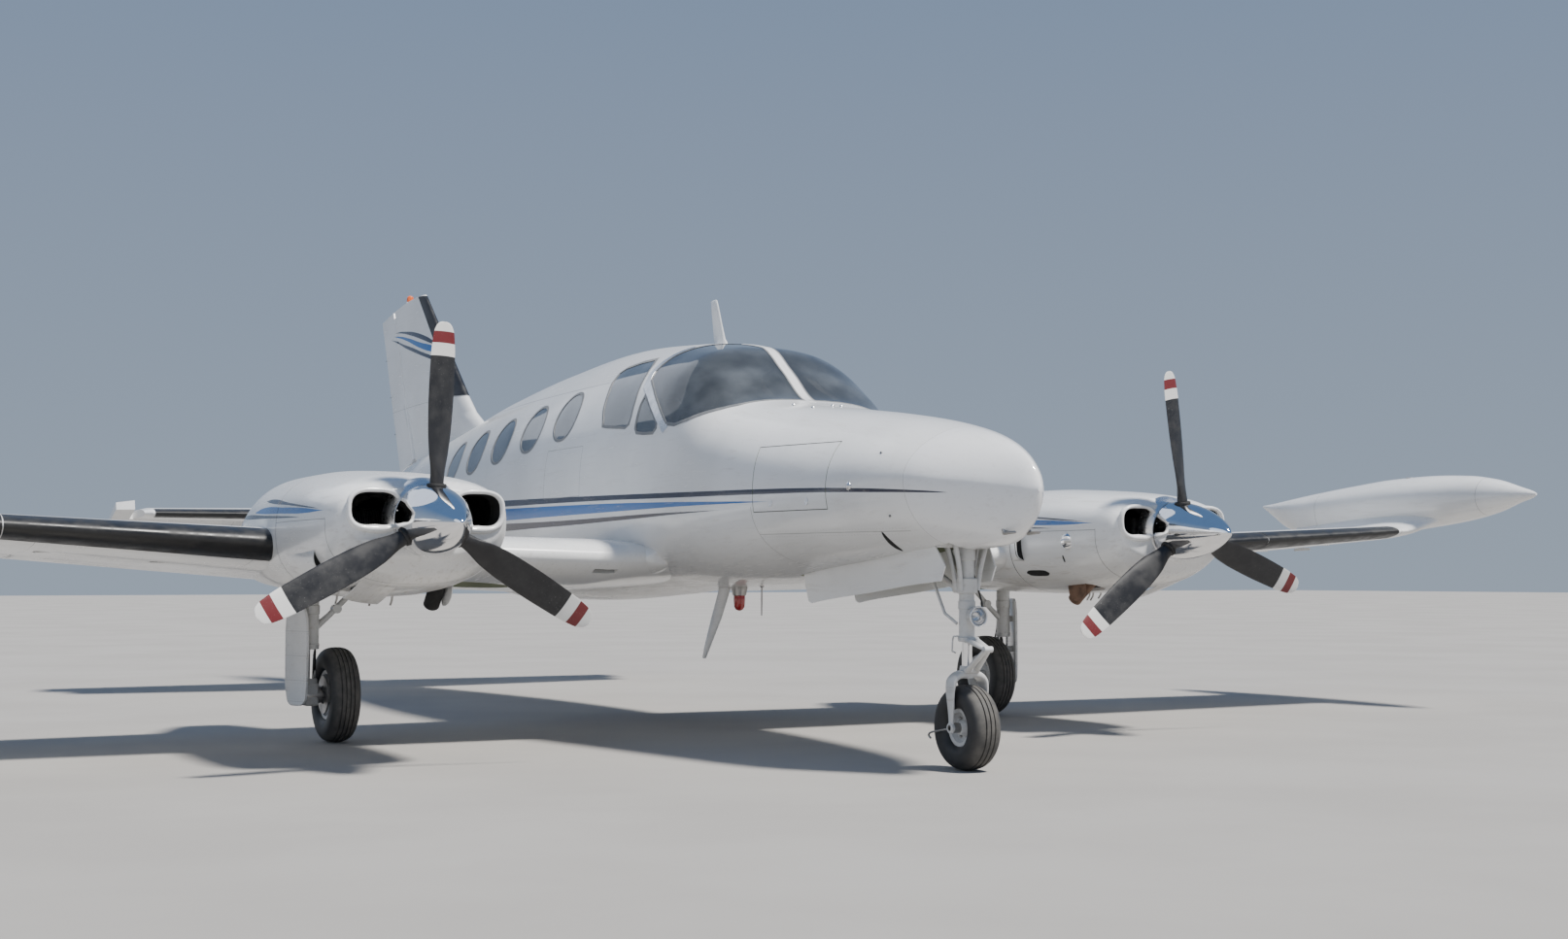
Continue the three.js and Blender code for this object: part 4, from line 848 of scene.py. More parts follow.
@dataclass(frozen=True)
class Seam:
    """A panel joint where one coordinate has a value, inside limits on the other two."""

    axis: Axis
    at: float
    limits: tuple[tuple[Axis, float, float], ...] = ()
    width: float = 0.0022
    rivets: float = 0.0

    def marks(self, sheet: NodeSheet) -> tuple[Socket, Socket | None]:
        """Masks of the joint and of the rivets beside it.

        Args:
            sheet: The material's nodes.

        Returns:
            The joint's mask, and the rivets' mask if there are rivets.
        """
        value = sheet.axes[self.axis]
        inside = None
        for axis, low, high in self.limits:
            middle, half = (low + high) / 2, (high - low) / 2
            mask = sheet.band(sheet.axes[axis], middle, half, 0.002)
            inside = mask if inside is None else sheet.sum(Do.TIMES, inside, mask)
        line = sheet.band(value, self.at, self.width / 2, 0.0012)
        line = line if inside is None else sheet.sum(Do.TIMES, line, inside)
        if not self.rivets:
            return line, None
        along = sheet.axes[Axis.UP if self.axis is Axis.ALONG else Axis.ALONG]
        part = sheet.sum(Do.TAKE, sheet.sum(Do.PART, sheet.sum(Do.OVER, along, self.rivets)), 0.5)
        near = sheet.sum(Do.TAKE, sheet.sum(Do.SIZE, sheet.sum(Do.TAKE, value, self.at)), 0.014)
        gap = sheet.sum(Do.ADD, sheet.sum(Do.SIZE, near),
                        sheet.sum(Do.TIMES, sheet.sum(Do.SIZE, part), self.rivets))
        dots = sheet.ramp(gap, 0.002, 0.0042, 1.0, 0.0)
        return line, dots if inside is None else sheet.sum(Do.TIMES, dots, inside)


@dataclass(frozen=True)
class Stripe:
    """A painted stripe between two drawn edges, as heights at stations along the aircraft."""

    colour: Colour
    top: tuple[tuple[float, float], ...]
    bottom: tuple[tuple[float, float], ...]
    along: tuple[float, float] = (-5.2, 5.2)
    up: tuple[float, float] = (1.0, 2.0)

    def edge(self, sheet: NodeSheet, points: tuple[tuple[float, float], ...]) -> Socket:
        """The height of one drawn edge at a piece's own stations."""
        (y0, y1), (z0, z1) = self.along, self.up
        drawn = [((y - y0) / (y1 - y0), (z - z0) / (z1 - z0)) for y, z in points]
        drawn = [(0.0, drawn[0][1]), *drawn, (1.0, drawn[-1][1])]
        where = sheet.ramp(sheet.axes[Axis.ALONG], y0, y1, smooth=False)
        return sheet.sum(Do.ADD, sheet.sum(Do.TIMES, sheet.curve(where, drawn), z1 - z0), z0)

    def mask(self, sheet: NodeSheet) -> Socket:
        """One inside the stripe, with its edges a millimetre soft."""
        up = sheet.axes[Axis.UP]
        below = sheet.ramp(sheet.sum(Do.TAKE, self.edge(sheet, self.top), up), 0.0, 0.0015)
        above = sheet.ramp(sheet.sum(Do.TAKE, up, self.edge(sheet, self.bottom)), 0.0, 0.0015)
        return sheet.sum(Do.TIMES, below, above)


MADE: dict[str, bpy.types.Material] = {}


@dataclass(frozen=True)
class Finish:
    """A named finish. Each kind builds its own nodes once."""

    name: str

    def nodes(self, sheet: NodeSheet) -> bpy.types.Material:
        """Builds the nodes on a sheet."""
        raise NotImplementedError

    def made(self) -> bpy.types.Material:
        """The material, built the first time that it is asked for."""
        if self.name not in MADE:
            MADE[self.name] = self.nodes(NodeSheet(self.name))
        return MADE[self.name]


@dataclass(frozen=True)
class Paint(Finish):
    """Gloss paint with a faint unevenness, seams, rivets, stripes and grime."""

    colour: Colour = (0.80, 0.80, 0.79)
    shade: Colour = (0.72, 0.72, 0.71)
    seams: tuple[Seam, ...] = ()
    stripes: tuple[Stripe, ...] = ()
    grime: float = 0.25
    # Heights below which a streaky brown grows towards the bottom.
    grime_low: tuple[float, float] = (0.0, 0.0)
    gloss: float = 0.16

    def nodes(self, sheet: NodeSheet) -> bpy.types.Material:
        """Two cloud sizes tint the white, streaks dull it, and seams are dark and sunk.

        Args:
            sheet: The material's nodes.

        Returns:
            The material.
        """
        clouds = sheet.noise(1.7, 4)
        fine = sheet.noise(60, 2)
        streaks = sheet.noise(7, 4, 0.6, (6.0, 0.5, 6.0))
        colour = sheet.mix(sheet.ramp(clouds, 0.35, 0.7), self.colour, self.shade)
        for stripe in self.stripes:
            colour = sheet.mix(stripe.mask(sheet), colour, stripe.colour)
        brown_streaks = sheet.sum(Do.TIMES, sheet.ramp(streaks, 0.52, 0.78), self.grime)
        # Below the given height band a streaky brown grows towards the bottom, darker and rougher
        # low down.
        low, high = self.grime_low
        if high > low:
            under = sheet.ramp(sheet.axes[Axis.UP], low, high, 1.0, 0.0)
            brown_streaks = sheet.sum(Do.ADD, brown_streaks,
                             sheet.sum(Do.TIMES, sheet.sum(Do.TIMES, under, streaks), 0.5))
        colour = sheet.mix(brown_streaks, colour, (0.33, 0.29, 0.24))
        colour = sheet.mix(sheet.sum(Do.TIMES, sheet.ramp(fine, 0.66, 0.8), 0.12), colour,
                           (0.35, 0.33, 0.3))
        lines: Socket | None = None
        dots: Socket | None = None
        for seam in self.seams:
            line, rivets = seam.marks(sheet)
            lines = line if lines is None else sheet.sum(Do.MOST, lines, line)
            if rivets is not None:
                dots = rivets if dots is None else sheet.sum(Do.MOST, dots, rivets)
        ripple = sheet.bumps(sheet.noise(3.2, 2), 0.12, 0.004)
        normal = sheet.bumps(fine, 0.06, 0.0006, ripple)
        if lines is not None:
            colour = sheet.mix(sheet.sum(Do.TIMES, lines, 0.75), colour, (0.16, 0.15, 0.14))
            normal = sheet.bumps(sheet.sum(Do.TAKE, 1.0, lines), 0.6, 0.001, normal)
        if dots is not None:
            colour = sheet.mix(sheet.sum(Do.TIMES, dots, 0.25), colour, (0.3, 0.29, 0.28))
            normal = sheet.bumps(dots, 0.6, 0.0008, normal)
        rough = sheet.sum(Do.ADD, sheet.ramp(clouds, 0.3, 0.75, self.gloss, self.gloss + 0.1),
                          sheet.sum(Do.TIMES, brown_streaks, 0.5))
        return sheet.finish(Base_Color=colour, Roughness=rough, Normal=normal, Coat_Weight=0.35,
                            Coat_Roughness=0.06)


@dataclass(frozen=True)
class Metal(Finish):
    """Bare or polished metal with brushed streaks, stains and small dents."""

    colour: Colour = (0.78, 0.78, 0.79)
    stain: Colour = (0.55, 0.52, 0.48)
    rough: float = 0.12
    spread: float = 0.15
    stained: float = 0.3
    metallic: float = 1.0

    def nodes(self, sheet: NodeSheet) -> bpy.types.Material:
        """Clouds stain the metal, and fine noise scratches it."""
        clouds, fine = sheet.noise(14, 4, 0.6), sheet.noise(240, 3, 0.6, (1.0, 0.25, 1.0))
        amount = sheet.sum(Do.TIMES, sheet.ramp(clouds, 0.45, 0.75), self.stained)
        colour = sheet.mix(amount, self.colour, self.stain)
        rough = sheet.ramp(sheet.sum(Do.ADD, sheet.sum(Do.TIMES, clouds, 0.6),
                                     sheet.sum(Do.TIMES, fine, 0.4)), 0.3, 0.75, self.rough,
                           self.rough + self.spread)
        return sheet.finish(Base_Color=colour, Roughness=rough, Metallic=self.metallic,
                            Normal=sheet.bumps(fine, 0.05, 0.0005,
                                               sheet.bumps(clouds, 0.06, 0.002)))


@dataclass(frozen=True)
class Rubber(Finish):
    """Black rubber with dust in clouds and a soft grain."""

    colour: Colour = (0.012, 0.012, 0.013)
    dust: Colour = (0.10, 0.095, 0.085)
    dusty: float = 0.35
    rough: float = 0.45
    grain: float = 180.0

    def nodes(self, sheet: NodeSheet) -> bpy.types.Material:
        """Dust lies in clouds over a fine pebbled grain."""
        clouds, grain = sheet.noise(9, 5, 0.65), sheet.noise(self.grain, 3, 0.6)
        amount = sheet.sum(Do.TIMES, sheet.ramp(clouds, 0.4, 0.75), self.dusty)
        rough = sheet.ramp(clouds, 0.3, 0.75, self.rough, min(self.rough + 0.3, 1.0))
        return sheet.finish(Base_Color=sheet.mix(amount, self.colour, self.dust), Roughness=rough,
                            Normal=sheet.bumps(grain, 0.2, 0.0007))


@dataclass(frozen=True)
class Glass(Finish):
    """Tinted acrylic: clear face on, a mirror at a glancing angle, with haze and scratches."""

    colour: Colour = (0.05, 0.06, 0.07)
    clear: float = 0.5
    haze: float = 0.05

    def nodes(self, sheet: NodeSheet) -> bpy.types.Material:
        """The surface hides what is behind it more at a glancing angle and where it is hazy."""
        clouds, fine = sheet.noise(4, 4), sheet.noise(150, 2)
        facing = sheet.tree.nodes.new("ShaderNodeLayerWeight")
        facing.inputs["Blend"].default_value = 0.35
        cover = sheet.ramp(facing.outputs["Facing"], 0.0, 0.9, 1 - self.clear, 0.97)
        cover = sheet.sum(Do.ADD, cover, sheet.ramp(clouds, 0.4, 0.8, 0.0, self.haze))
        colour = sheet.mix(sheet.ramp(clouds, 0.3, 0.8, 0.0, 0.5), self.colour, (0.20, 0.22, 0.24))
        rough = sheet.ramp(fine, 0.3, 0.8, 0.015, 0.05)
        sheet.material.surface_render_method = "BLENDED"
        return sheet.finish(Base_Color=colour, Roughness=rough, Alpha=cover, Coat_Weight=0.6,
                            Coat_Roughness=0.02, Normal=sheet.bumps(fine, 0.02, 0.0002))


@dataclass(frozen=True)
class Lens(Finish):
    """A lamp's coloured or clear lens, ribbed inside."""

    colour: Colour = (0.9, 0.9, 0.88)

    def nodes(self, sheet: NodeSheet) -> bpy.types.Material:
        """Ribs run up the lens, with a little grime."""
        ribs = sheet.sum(Do.SINE, sheet.sum(Do.TIMES, sheet.axes[Axis.ACROSS], 900.0))
        grime = sheet.ramp(sheet.noise(60, 3), 0.45, 0.8, 0.0, 0.4)
        dark = tuple(c * 0.4 for c in self.colour)
        return sheet.finish(Base_Color=sheet.mix(grime, self.colour, dark),
                            Roughness=sheet.ramp(grime, 0.0, 0.4, 0.05, 0.3), Coat_Weight=0.8,
                            Normal=sheet.bumps(ribs, 0.2, 0.0006))


@dataclass(frozen=True)
class Cloth(Finish):
    """Woven or sewn interior cloth, carpet or leather."""

    colour: Colour = (0.32, 0.28, 0.23)
    other: Colour = (0.25, 0.22, 0.18)
    grain: float = 260.0
    depth: float = 0.0012
    rough: float = 0.75
    sheen: float = 0.3

    def nodes(self, sheet: NodeSheet) -> bpy.types.Material:
        """A fine grain on worn clouds."""
        clouds, grain = sheet.noise(5, 4, 0.6), sheet.cells(self.grain)
        colour = sheet.mix(sheet.ramp(clouds, 0.35, 0.7), self.colour, self.other)
        return sheet.finish(Base_Color=colour, Sheen_Weight=self.sheen,
                            Roughness=sheet.ramp(clouds, 0.3, 0.7, self.rough - 0.1,
                                                 self.rough + 0.1),
                            Normal=sheet.bumps(grain, 0.35, self.depth))


@dataclass(frozen=True)
class BladePaint(Finish):
    """Matt black blade with white, dark red and white bands at its tip, chipped more towards the
    tip.
    """

    centre: tuple[float, float, float] = (0.0, 0.0, 0.0)
    bands: tuple[float, float, float] = (0.805, 0.868, 0.925)

    def nodes(self, sheet: NodeSheet) -> bpy.types.Material:
        """The bands are rings by distance from the hub, and chips show bare metal near the tip.

        Args:
            sheet: The material's nodes.

        Returns:
            The material.
        """
        span = sheet.tree.nodes.new("ShaderNodeVectorMath")
        span.operation = "DISTANCE"
        sheet.put(span.inputs[0], sheet.place)
        span.inputs[1].default_value = self.centre
        reach = span.outputs["Value"]
        chips, clouds = sheet.noise(120, 4, 0.7), sheet.noise(11, 4, 0.6)
        black = sheet.mix(sheet.ramp(clouds, 0.35, 0.75, 0.0, 0.6), (0.012, 0.012, 0.014),
                          (0.045, 0.044, 0.043))
        first, second, third = self.bands
        white = (0.76, 0.75, 0.72)
        colour = sheet.mix(sheet.ramp(reach, first - 0.001, first + 0.001), black, white)
        colour = sheet.mix(sheet.ramp(reach, second - 0.001, second + 0.001), colour,
                           (0.16, 0.018, 0.02))
        colour = sheet.mix(sheet.ramp(reach, third - 0.001, third + 0.001), colour, white)
        worn = sheet.sum(Do.TIMES, sheet.ramp(chips, 0.62, 0.7),
                         sheet.ramp(reach, 0.3, 0.95, 0.05, 0.5))
        colour = sheet.mix(worn, colour, (0.35, 0.34, 0.33))
        rough = sheet.ramp(clouds, 0.3, 0.8, 0.38, 0.6)
        return sheet.finish(Base_Color=colour, Roughness=rough,
                            Normal=sheet.bumps(chips, 0.12, 0.0006))


@dataclass(frozen=True)
class TreadRubber(Rubber):
    """Tyre rubber, greyed and scuffed where it rolls."""

    centre: tuple[float, float, float] = (0.0, 0.0, 0.0)
    radius: float = 0.27

    def nodes(self, sheet: NodeSheet) -> bpy.types.Material:
        """Dust grows towards the tread, by distance from the axle in the wheel's own plane.

        Args:
            sheet: The material's nodes.

        Returns:
            The material.
        """
        cy, cz = self.centre[1], self.centre[2]
        dy = sheet.sum(Do.TAKE, sheet.axes[Axis.ALONG], cy)
        dz = sheet.sum(Do.TAKE, sheet.axes[Axis.UP], cz)
        reach = sheet.sum(Do.ROOT,
                          sheet.sum(Do.ADD, sheet.sum(Do.TIMES, dy, dy),
                                    sheet.sum(Do.TIMES, dz, dz)))
        clouds, grain = sheet.noise(22, 5, 0.65), sheet.noise(260, 3, 0.6)
        scuffed = sheet.ramp(reach, self.radius * 0.86, self.radius, 0.1, 0.75)
        amount = sheet.sum(Do.TIMES, scuffed, sheet.ramp(clouds, 0.3, 0.7, 0.4, 1.0))
        rings = sheet.sum(Do.SINE, sheet.sum(Do.TIMES, reach, 700.0))
        normal = sheet.bumps(grain, 0.25, 0.0008, sheet.bumps(rings, 0.08, 0.0006))
        return sheet.finish(Base_Color=sheet.mix(amount, (0.018, 0.018, 0.019),
                                                 (0.15, 0.14, 0.125)),
                            Roughness=sheet.ramp(amount, 0.0, 0.8, 0.5, 0.9), Normal=normal)


def dress(piece: Piece, body: str, finishes: Sequence[Finish],
          replaces: Sequence[str] = (), choose: Chooser | None = None,
          degrees: float = 32.0) -> Piece:
    """Gives a piece its finishes, its body and the CAD nodes that it stands for.

    Args:
        piece: The piece, in place.
        body: The body that it rides on.
        finishes: Its materials in order.
        replaces: Names of CAD nodes that it hides.
        choose: Picks a finish's number for each face from face middles and normals.
        degrees: Edges sharper than this stay sharp.

    Returns:
        The piece.
    """
    mesh = piece.data
    mesh.materials.clear()
    for finish in finishes:
        mesh.materials.append(finish.made())
    count = len(mesh.polygons)
    picked = np.zeros(count, np.int32)
    if choose is not None:
        centres, normals = np.empty(count * 3, np.float32), np.empty(count * 3, np.float32)
        mesh.polygons.foreach_get("center", centres)
        mesh.polygons.foreach_get("normal", normals)
        picked = choose(centres.reshape(-1, 3).astype(float),
                        normals.reshape(-1, 3).astype(float)).astype(np.int32)
    mesh.polygons.foreach_set("material_index", picked)
    polished_edges(piece, degrees)
    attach(piece, body)
    if replaces:
        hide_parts(*replaces)
    log.info("%s on %s: %d faces", piece.name, body, count)
    return piece


# ---------------------------------------------------------------- the aircraft's own shapes

ENGINE_X = 2.356
PROPELLER_AT = (ENGINE_X, -3.405, 1.226)
PROPELLER_TILT = 2.9
LEG_X = 2.418
AXLE_Y = -1.413

FUSELAGE = BodyShape((
    (-5145, 1374, 1346, 12, 1360, 2.0, 2.0), (-5135, 1405, 1310, 25, 1360, 1.75, 1.85),
    (-5115, 1448, 1258, 42, 1364, 1.62, 1.8), (-5015, 1543, 1165, 112, 1382, 1.58, 1.85),
    (-4840, 1626, 1100, 240, 1408, 1.6, 1.95), (-4600, 1693, 1085, 398, 1430, 1.7, 2.05),
    (-4300, 1752, 1066, 490, 1420, 1.9, 2.18), (-3900, 1812, 1028, 560, 1385, 2.12, 2.3),
    (-3400, 1876, 984, 630, 1385, 2.5, 2.4), (-2960, 1950, 930, 684, 1405, 3.0, 2.45),
    (-2700, 2136, 912, 714, 1420, 3.1, 2.45), (-2440, 2306, 900, 734, 1430, 2.85, 2.45),
    (-1860, 2384, 880, 750, 1440, 2.5, 2.4), (-1050, 2428, 828, 754, 1440, 2.2, 2.35),
    (-100, 2384, 790, 750, 1430, 2.1, 2.3), (900, 2300, 792, 706, 1420, 2.05, 2.25),
    (1900, 2182, 900, 592, 1420, 2.05, 2.2), (2900, 2075, 1080, 432, 1450, 2.05, 2.1),
    (3900, 1970, 1260, 262, 1520, 2.0, 2.0), (4540, 1870, 1400, 120, 1600, 2.0, 2.0)))
WING = WingShape((
    (0.2, -2250, 1060, 1730, 190, 0.12), (700, -2240, 1060, 1715, 200, 0.15),
    (900, -2232, 1060, 1690, 203, 0.165), (2356, -2200, 1105, 1530, 185, 0.155),
    (5570, -2135, 1290, 1190, 108, 0.088)))
TAILPLANE = WingShape(((-20, 3060, 1452, 1470, 50, 0.10), (380, 3120, 1452, 1390, 48, 0.10),
                       (2380, 3440, 1455, 980, 34, 0.09), (2432, 3500, 1455, 900, 32, 0.07)))
WINDSHIELD = np.array([(-2085, 2223), (-2080, 2170), (-2110, 2114), (-2225, 2047), (-2371, 1946),
                       (-2531, 1824), (-2624, 1812), (-2730, 1835), (-2806, 1861), (-2886, 1891),
                       (-2930, 1915), (-2950, 1945), (-2957, 1975), (-2957, 2100), (-2500, 2350),
                       (-2205, 2370), (-2134, 2308), (-2104, 2273)]) * MM
COCKPIT_PANE = np.array([(-1708, 1862), (-1640, 1872), (-1622, 1906), (-1572, 1975), (-1522, 2079),
                         (-1470, 2158), (-1462, 2218), (-1510, 2247), (-1685, 2266), (-1872, 2268),
                         (-1940, 2217), (-1973, 2153), (-2002, 2072), (-2032, 1985), (-2043, 1901),
                         (-2038, 1857), (-1996, 1838)]) * MM
VENT_PANE = np.array([(-2148, 2015), (-2136, 1964), (-2139, 1869), (-2145, 1825), (-2175, 1795),
                      (-2262, 1786), (-2388, 1781), (-2418, 1806), (-2412, 1838), (-2336, 1893),
                      (-2245, 1956)]) * MM
OVAL_CENTRES = np.array([(-960, 1975), (-375, 1932), (210, 1888), (795, 1845), (1385, 1800)]) * MM
OVAL_HALF = (0.178, 0.152)

NAVY: Colour = (0.014, 0.019, 0.045)
BLUE: Colour = (0.006, 0.125, 0.40)
HULL_STRIPES = (Stripe(NAVY,
                       ((-4.802, 1.3515), (-4.741, 1.3605), (-4.601, 1.372), (-4.34, 1.3875),
                        (-4.0, 1.4014), (-3.559, 1.412), (-3.069, 1.419), (-2.515, 1.427),
                        (-1.819, 1.439), (-0.99, 1.4535), (-0.083, 1.467), (1.5, 1.494),
                        (3.0, 1.532), (4.2, 1.585)),
                       ((-4.802, 1.3525), (-4.741, 1.3533), (-4.602, 1.358), (-4.341, 1.3668),
                        (-4.001, 1.3772), (-3.559, 1.3835), (-3.069, 1.3895), (-2.515, 1.3955),
                        (-1.819, 1.4075), (-0.991, 1.4165), (-0.085, 1.4235), (1.5, 1.446),
                        (3.0, 1.482), (4.2, 1.586))),
                Stripe(BLUE,
                       ((-3.72, 1.342), (-3.203, 1.3575), (-2.712, 1.3701), (-2.295, 1.3796),
                        (-1.817, 1.389), (-0.99, 1.4003), (-0.085, 1.41), (1.5, 1.43), (3.0, 1.462),
                        (4.2, 1.53)),
                       ((-3.72, 1.3435), (-3.202, 1.3435), (-2.709, 1.3426), (-2.289, 1.3391),
                        (-1.808, 1.3365), (-0.98, 1.3334), (-0.073, 1.3292), (1.5, 1.333),
                        (3.0, 1.375), (4.2, 1.531))),
                Stripe(NAVY,
                       ((-3.15, 1.3125), (-2.955, 1.313), (-2.662, 1.3135), (-2.28, 1.3125),
                        (-1.796, 1.3085), (-1.256, 1.3055), (-0.663, 1.306), (-0.062, 1.3095),
                        (1.5, 1.314), (3.0, 1.35), (4.1, 1.41)),
                       ((-3.15, 1.311), (-2.955, 1.3065), (-2.659, 1.2995), (-2.273, 1.29),
                        (-1.787, 1.281), (-1.244, 1.272), (-0.649, 1.266), (-0.044, 1.2585),
                        (1.5, 1.264), (3.0, 1.306), (4.1, 1.411))))
FIN_STRIPES = tuple(Stripe(colour, top, bottom, (3.3, 5.1), (2.6, 3.4)) for colour, top,
                    bottom
                    in ((NAVY,
                         ((3.40, 2.955), (3.524, 2.985), (3.649, 3.027), (3.979, 3.104),
                          (4.28, 3.144), (4.492, 3.163), (4.70, 3.164)),
                         ((3.40, 2.918), (3.523, 2.951), (3.793, 3.02), (4.108, 3.089),
                          (4.433, 3.143), (4.70, 3.166))),
                        (BLUE,
                         ((3.40, 2.905), (3.512, 2.938), (3.829, 3.0), (4.164, 3.071),
                          (4.471, 3.12), (4.79, 3.147)),
                         ((3.40, 2.853), (3.51, 2.881), (3.682, 2.915), (3.901, 2.967),
                          (4.201, 3.046), (4.51, 3.109), (4.79, 3.149))),
                        (NAVY,
                         ((3.40, 2.823), (3.538, 2.858), (3.79, 2.915), (4.049, 2.976),
                          (4.353, 3.038), (4.627, 3.097), (4.88, 3.127)),
                         ((3.40, 2.787), (3.501, 2.813), (3.789, 2.88), (4.01, 2.931),
                          (4.237, 2.984), (4.547, 3.064), (4.88, 3.129)))))
NACELLE_STRIPES = tuple(Stripe(colour, top, bottom, (-3.3, -1.0), (1.1, 1.5)) for colour, top,
                        bottom
                        in ((NAVY,
                             ((-3.13, 1.2815), (-2.891, 1.302), (-2.507, 1.332), (-2.004, 1.368),
                              (-1.85, 1.362)),
                             ((-3.13, 1.283), (-2.898, 1.294), (-2.53, 1.317), (-1.952, 1.351),
                              (-1.85, 1.364))),
                            (BLUE,
                             ((-3.16, 1.276), (-2.798, 1.298), (-2.373, 1.314), (-1.908, 1.325),
                              (-1.65, 1.305)),
                             ((-3.16, 1.2775), (-2.817, 1.27), (-2.366, 1.28), (-1.721, 1.299),
                              (-1.65, 1.307))),
                            (NAVY,
                             ((-2.84, 1.250), (-2.575, 1.261), (-2.144, 1.276), (-1.379, 1.298),
                              (-1.1, 1.29)),
                             ((-2.84, 1.2515), (-2.579, 1.253), (-2.155, 1.26), (-1.156, 1.286),
                              (-1.1, 1.292)))))

HULL_PAINT = Paint("hull_paint", stripes=HULL_STRIPES, grime=0.22, grime_low=(0.75, 1.25),
                   seams=(Seam(Axis.ALONG, -4.585, width=0.005),
                          Seam(Axis.ALONG, -3.42, ((Axis.UP, 0.8, 1.32),), width=0.002,
                               rivets=0.03),
                          Seam(Axis.UP, 1.175, ((Axis.ALONG, -4.5, -3.42),), width=0.0012,
                               rivets=0.02), Seam(Axis.ALONG, -1.39, ((Axis.UP, 1.45, 1.76),)),
                          Seam(Axis.ALONG, -0.8, ((Axis.UP, 1.45, 1.76),)),
                          Seam(Axis.UP, 1.45, ((Axis.ALONG, -1.39, -0.8),)),
                          Seam(Axis.UP, 1.76, ((Axis.ALONG, -1.39, -0.8),)),
                          Seam(Axis.ALONG, 1.9, rivets=0.03), Seam(Axis.ALONG, 2.95, rivets=0.03),
                          Seam(Axis.UP, 2.16, ((Axis.ALONG, -2.0, 1.0),), rivets=0.03)))
RADOME_PAINT = Paint("radome_paint", colour=(0.80, 0.80, 0.80), shade=(0.75, 0.75, 0.75),
                     stripes=HULL_STRIPES[:1], grime=0.15, gloss=0.14)
DOOR_PAINT = Paint("door_paint", stripes=HULL_STRIPES, grime=0.2)
WING_PAINT = Paint("wing_paint", grime=0.2, seams=(
    Seam(Axis.ACROSS, 2.9, rivets=0.03), Seam(Axis.ACROSS, -2.9, rivets=0.03),
    Seam(Axis.ACROSS, 4.0, rivets=0.03), Seam(Axis.ACROSS, -4.0, rivets=0.03),
    Seam(Axis.ACROSS, 5.5, rivets=0.03), Seam(Axis.ACROSS, -5.5, rivets=0.03),
    Seam(Axis.ALONG, -1.72, rivets=0.035), Seam(Axis.ALONG, -1.2, rivets=0.035)))
SURFACE_PAINT = Paint("control_paint", grime=0.25,
                      seams=(Seam(Axis.ACROSS, 4.35), Seam(Axis.ACROSS, -4.35),
                             Seam(Axis.ACROSS, 4.95), Seam(Axis.ACROSS, -4.95)))
TAIL_PAINT = Paint("tail_paint", stripes=FIN_STRIPES, grime=0.18, seams=(
    Seam(Axis.UP, 2.45, ((Axis.ALONG, 2.5, 5.3),), rivets=0.03),
    Seam(Axis.ACROSS, 0.8, rivets=0.03), Seam(Axis.ACROSS, -0.8, rivets=0.03),
    Seam(Axis.ACROSS, 1.6, rivets=0.03), Seam(Axis.ACROSS, -1.6, rivets=0.03)))
NACELLE_PAINT = Paint("nacelle_paint", stripes=NACELLE_STRIPES, grime=0.38, grime_low=(0.85, 1.15),
                      seams=(Seam(Axis.ALONG, -3.12, ((Axis.UP, 0.85, 1.24),), width=0.003),
                             Seam(Axis.ALONG, -2.26, width=0.003, rivets=0.04),
                             Seam(Axis.UP, 1.235, ((Axis.ALONG, -3.12, -2.26),), width=0.003,
                                  rivets=0.05), Seam(Axis.ALONG, -0.6, rivets=0.03)))
TANK_PAINT = Paint("tank_paint", grime=0.2, seams=(
    Seam(Axis.ALONG, -2.62, rivets=0.025), Seam(Axis.ALONG, -1.02, rivets=0.025)))
PLAIN_PAINT = Paint("plain_paint", grime=0.3)
GEAR_PAINT = Paint("gear_paint", colour=(0.62, 0.62, 0.61), shade=(0.5, 0.49, 0.47), grime=0.5,
                   gloss=0.3)
DOOR_PLATE_PAINT = Paint("leg_door_paint", grime=0.35, seams=tuple(
    Seam(Axis.UP, z, width=0.0, rivets=0.025) for z in (0.24, 0.36, 0.5, 0.64, 0.77)))
BARE_METAL = Metal("bare_metal", rough=0.22, spread=0.2)
CHROME = Metal("polished_metal", colour=(0.86, 0.86, 0.87), rough=0.025, spread=0.06, stained=0.12)
STEEL = Metal("gear_steel_finish", colour=(0.42, 0.41, 0.40), stain=(0.2, 0.17, 0.14), rough=0.3,
              spread=0.3, stained=0.6)
RUST = Metal("exhaust_rust", colour=(0.20, 0.12, 0.08), stain=(0.07, 0.05, 0.04), rough=0.55,
             spread=0.3, stained=0.8, metallic=0.5)
IRON = Metal("engine_iron_finish", colour=(0.16, 0.155, 0.15), stain=(0.05, 0.045, 0.04),
             rough=0.45, spread=0.3, stained=0.8, metallic=0.7)
BOOT = Rubber("boot_rubber", rough=0.3, dusty=0.12, grain=60.0)
SEAL = Rubber("window_seal", colour=(0.16, 0.165, 0.17), dust=(0.32, 0.31, 0.3), dusty=0.6,
              rough=0.4)
HOSE = Rubber("hose_rubber", dusty=0.3, rough=0.5)
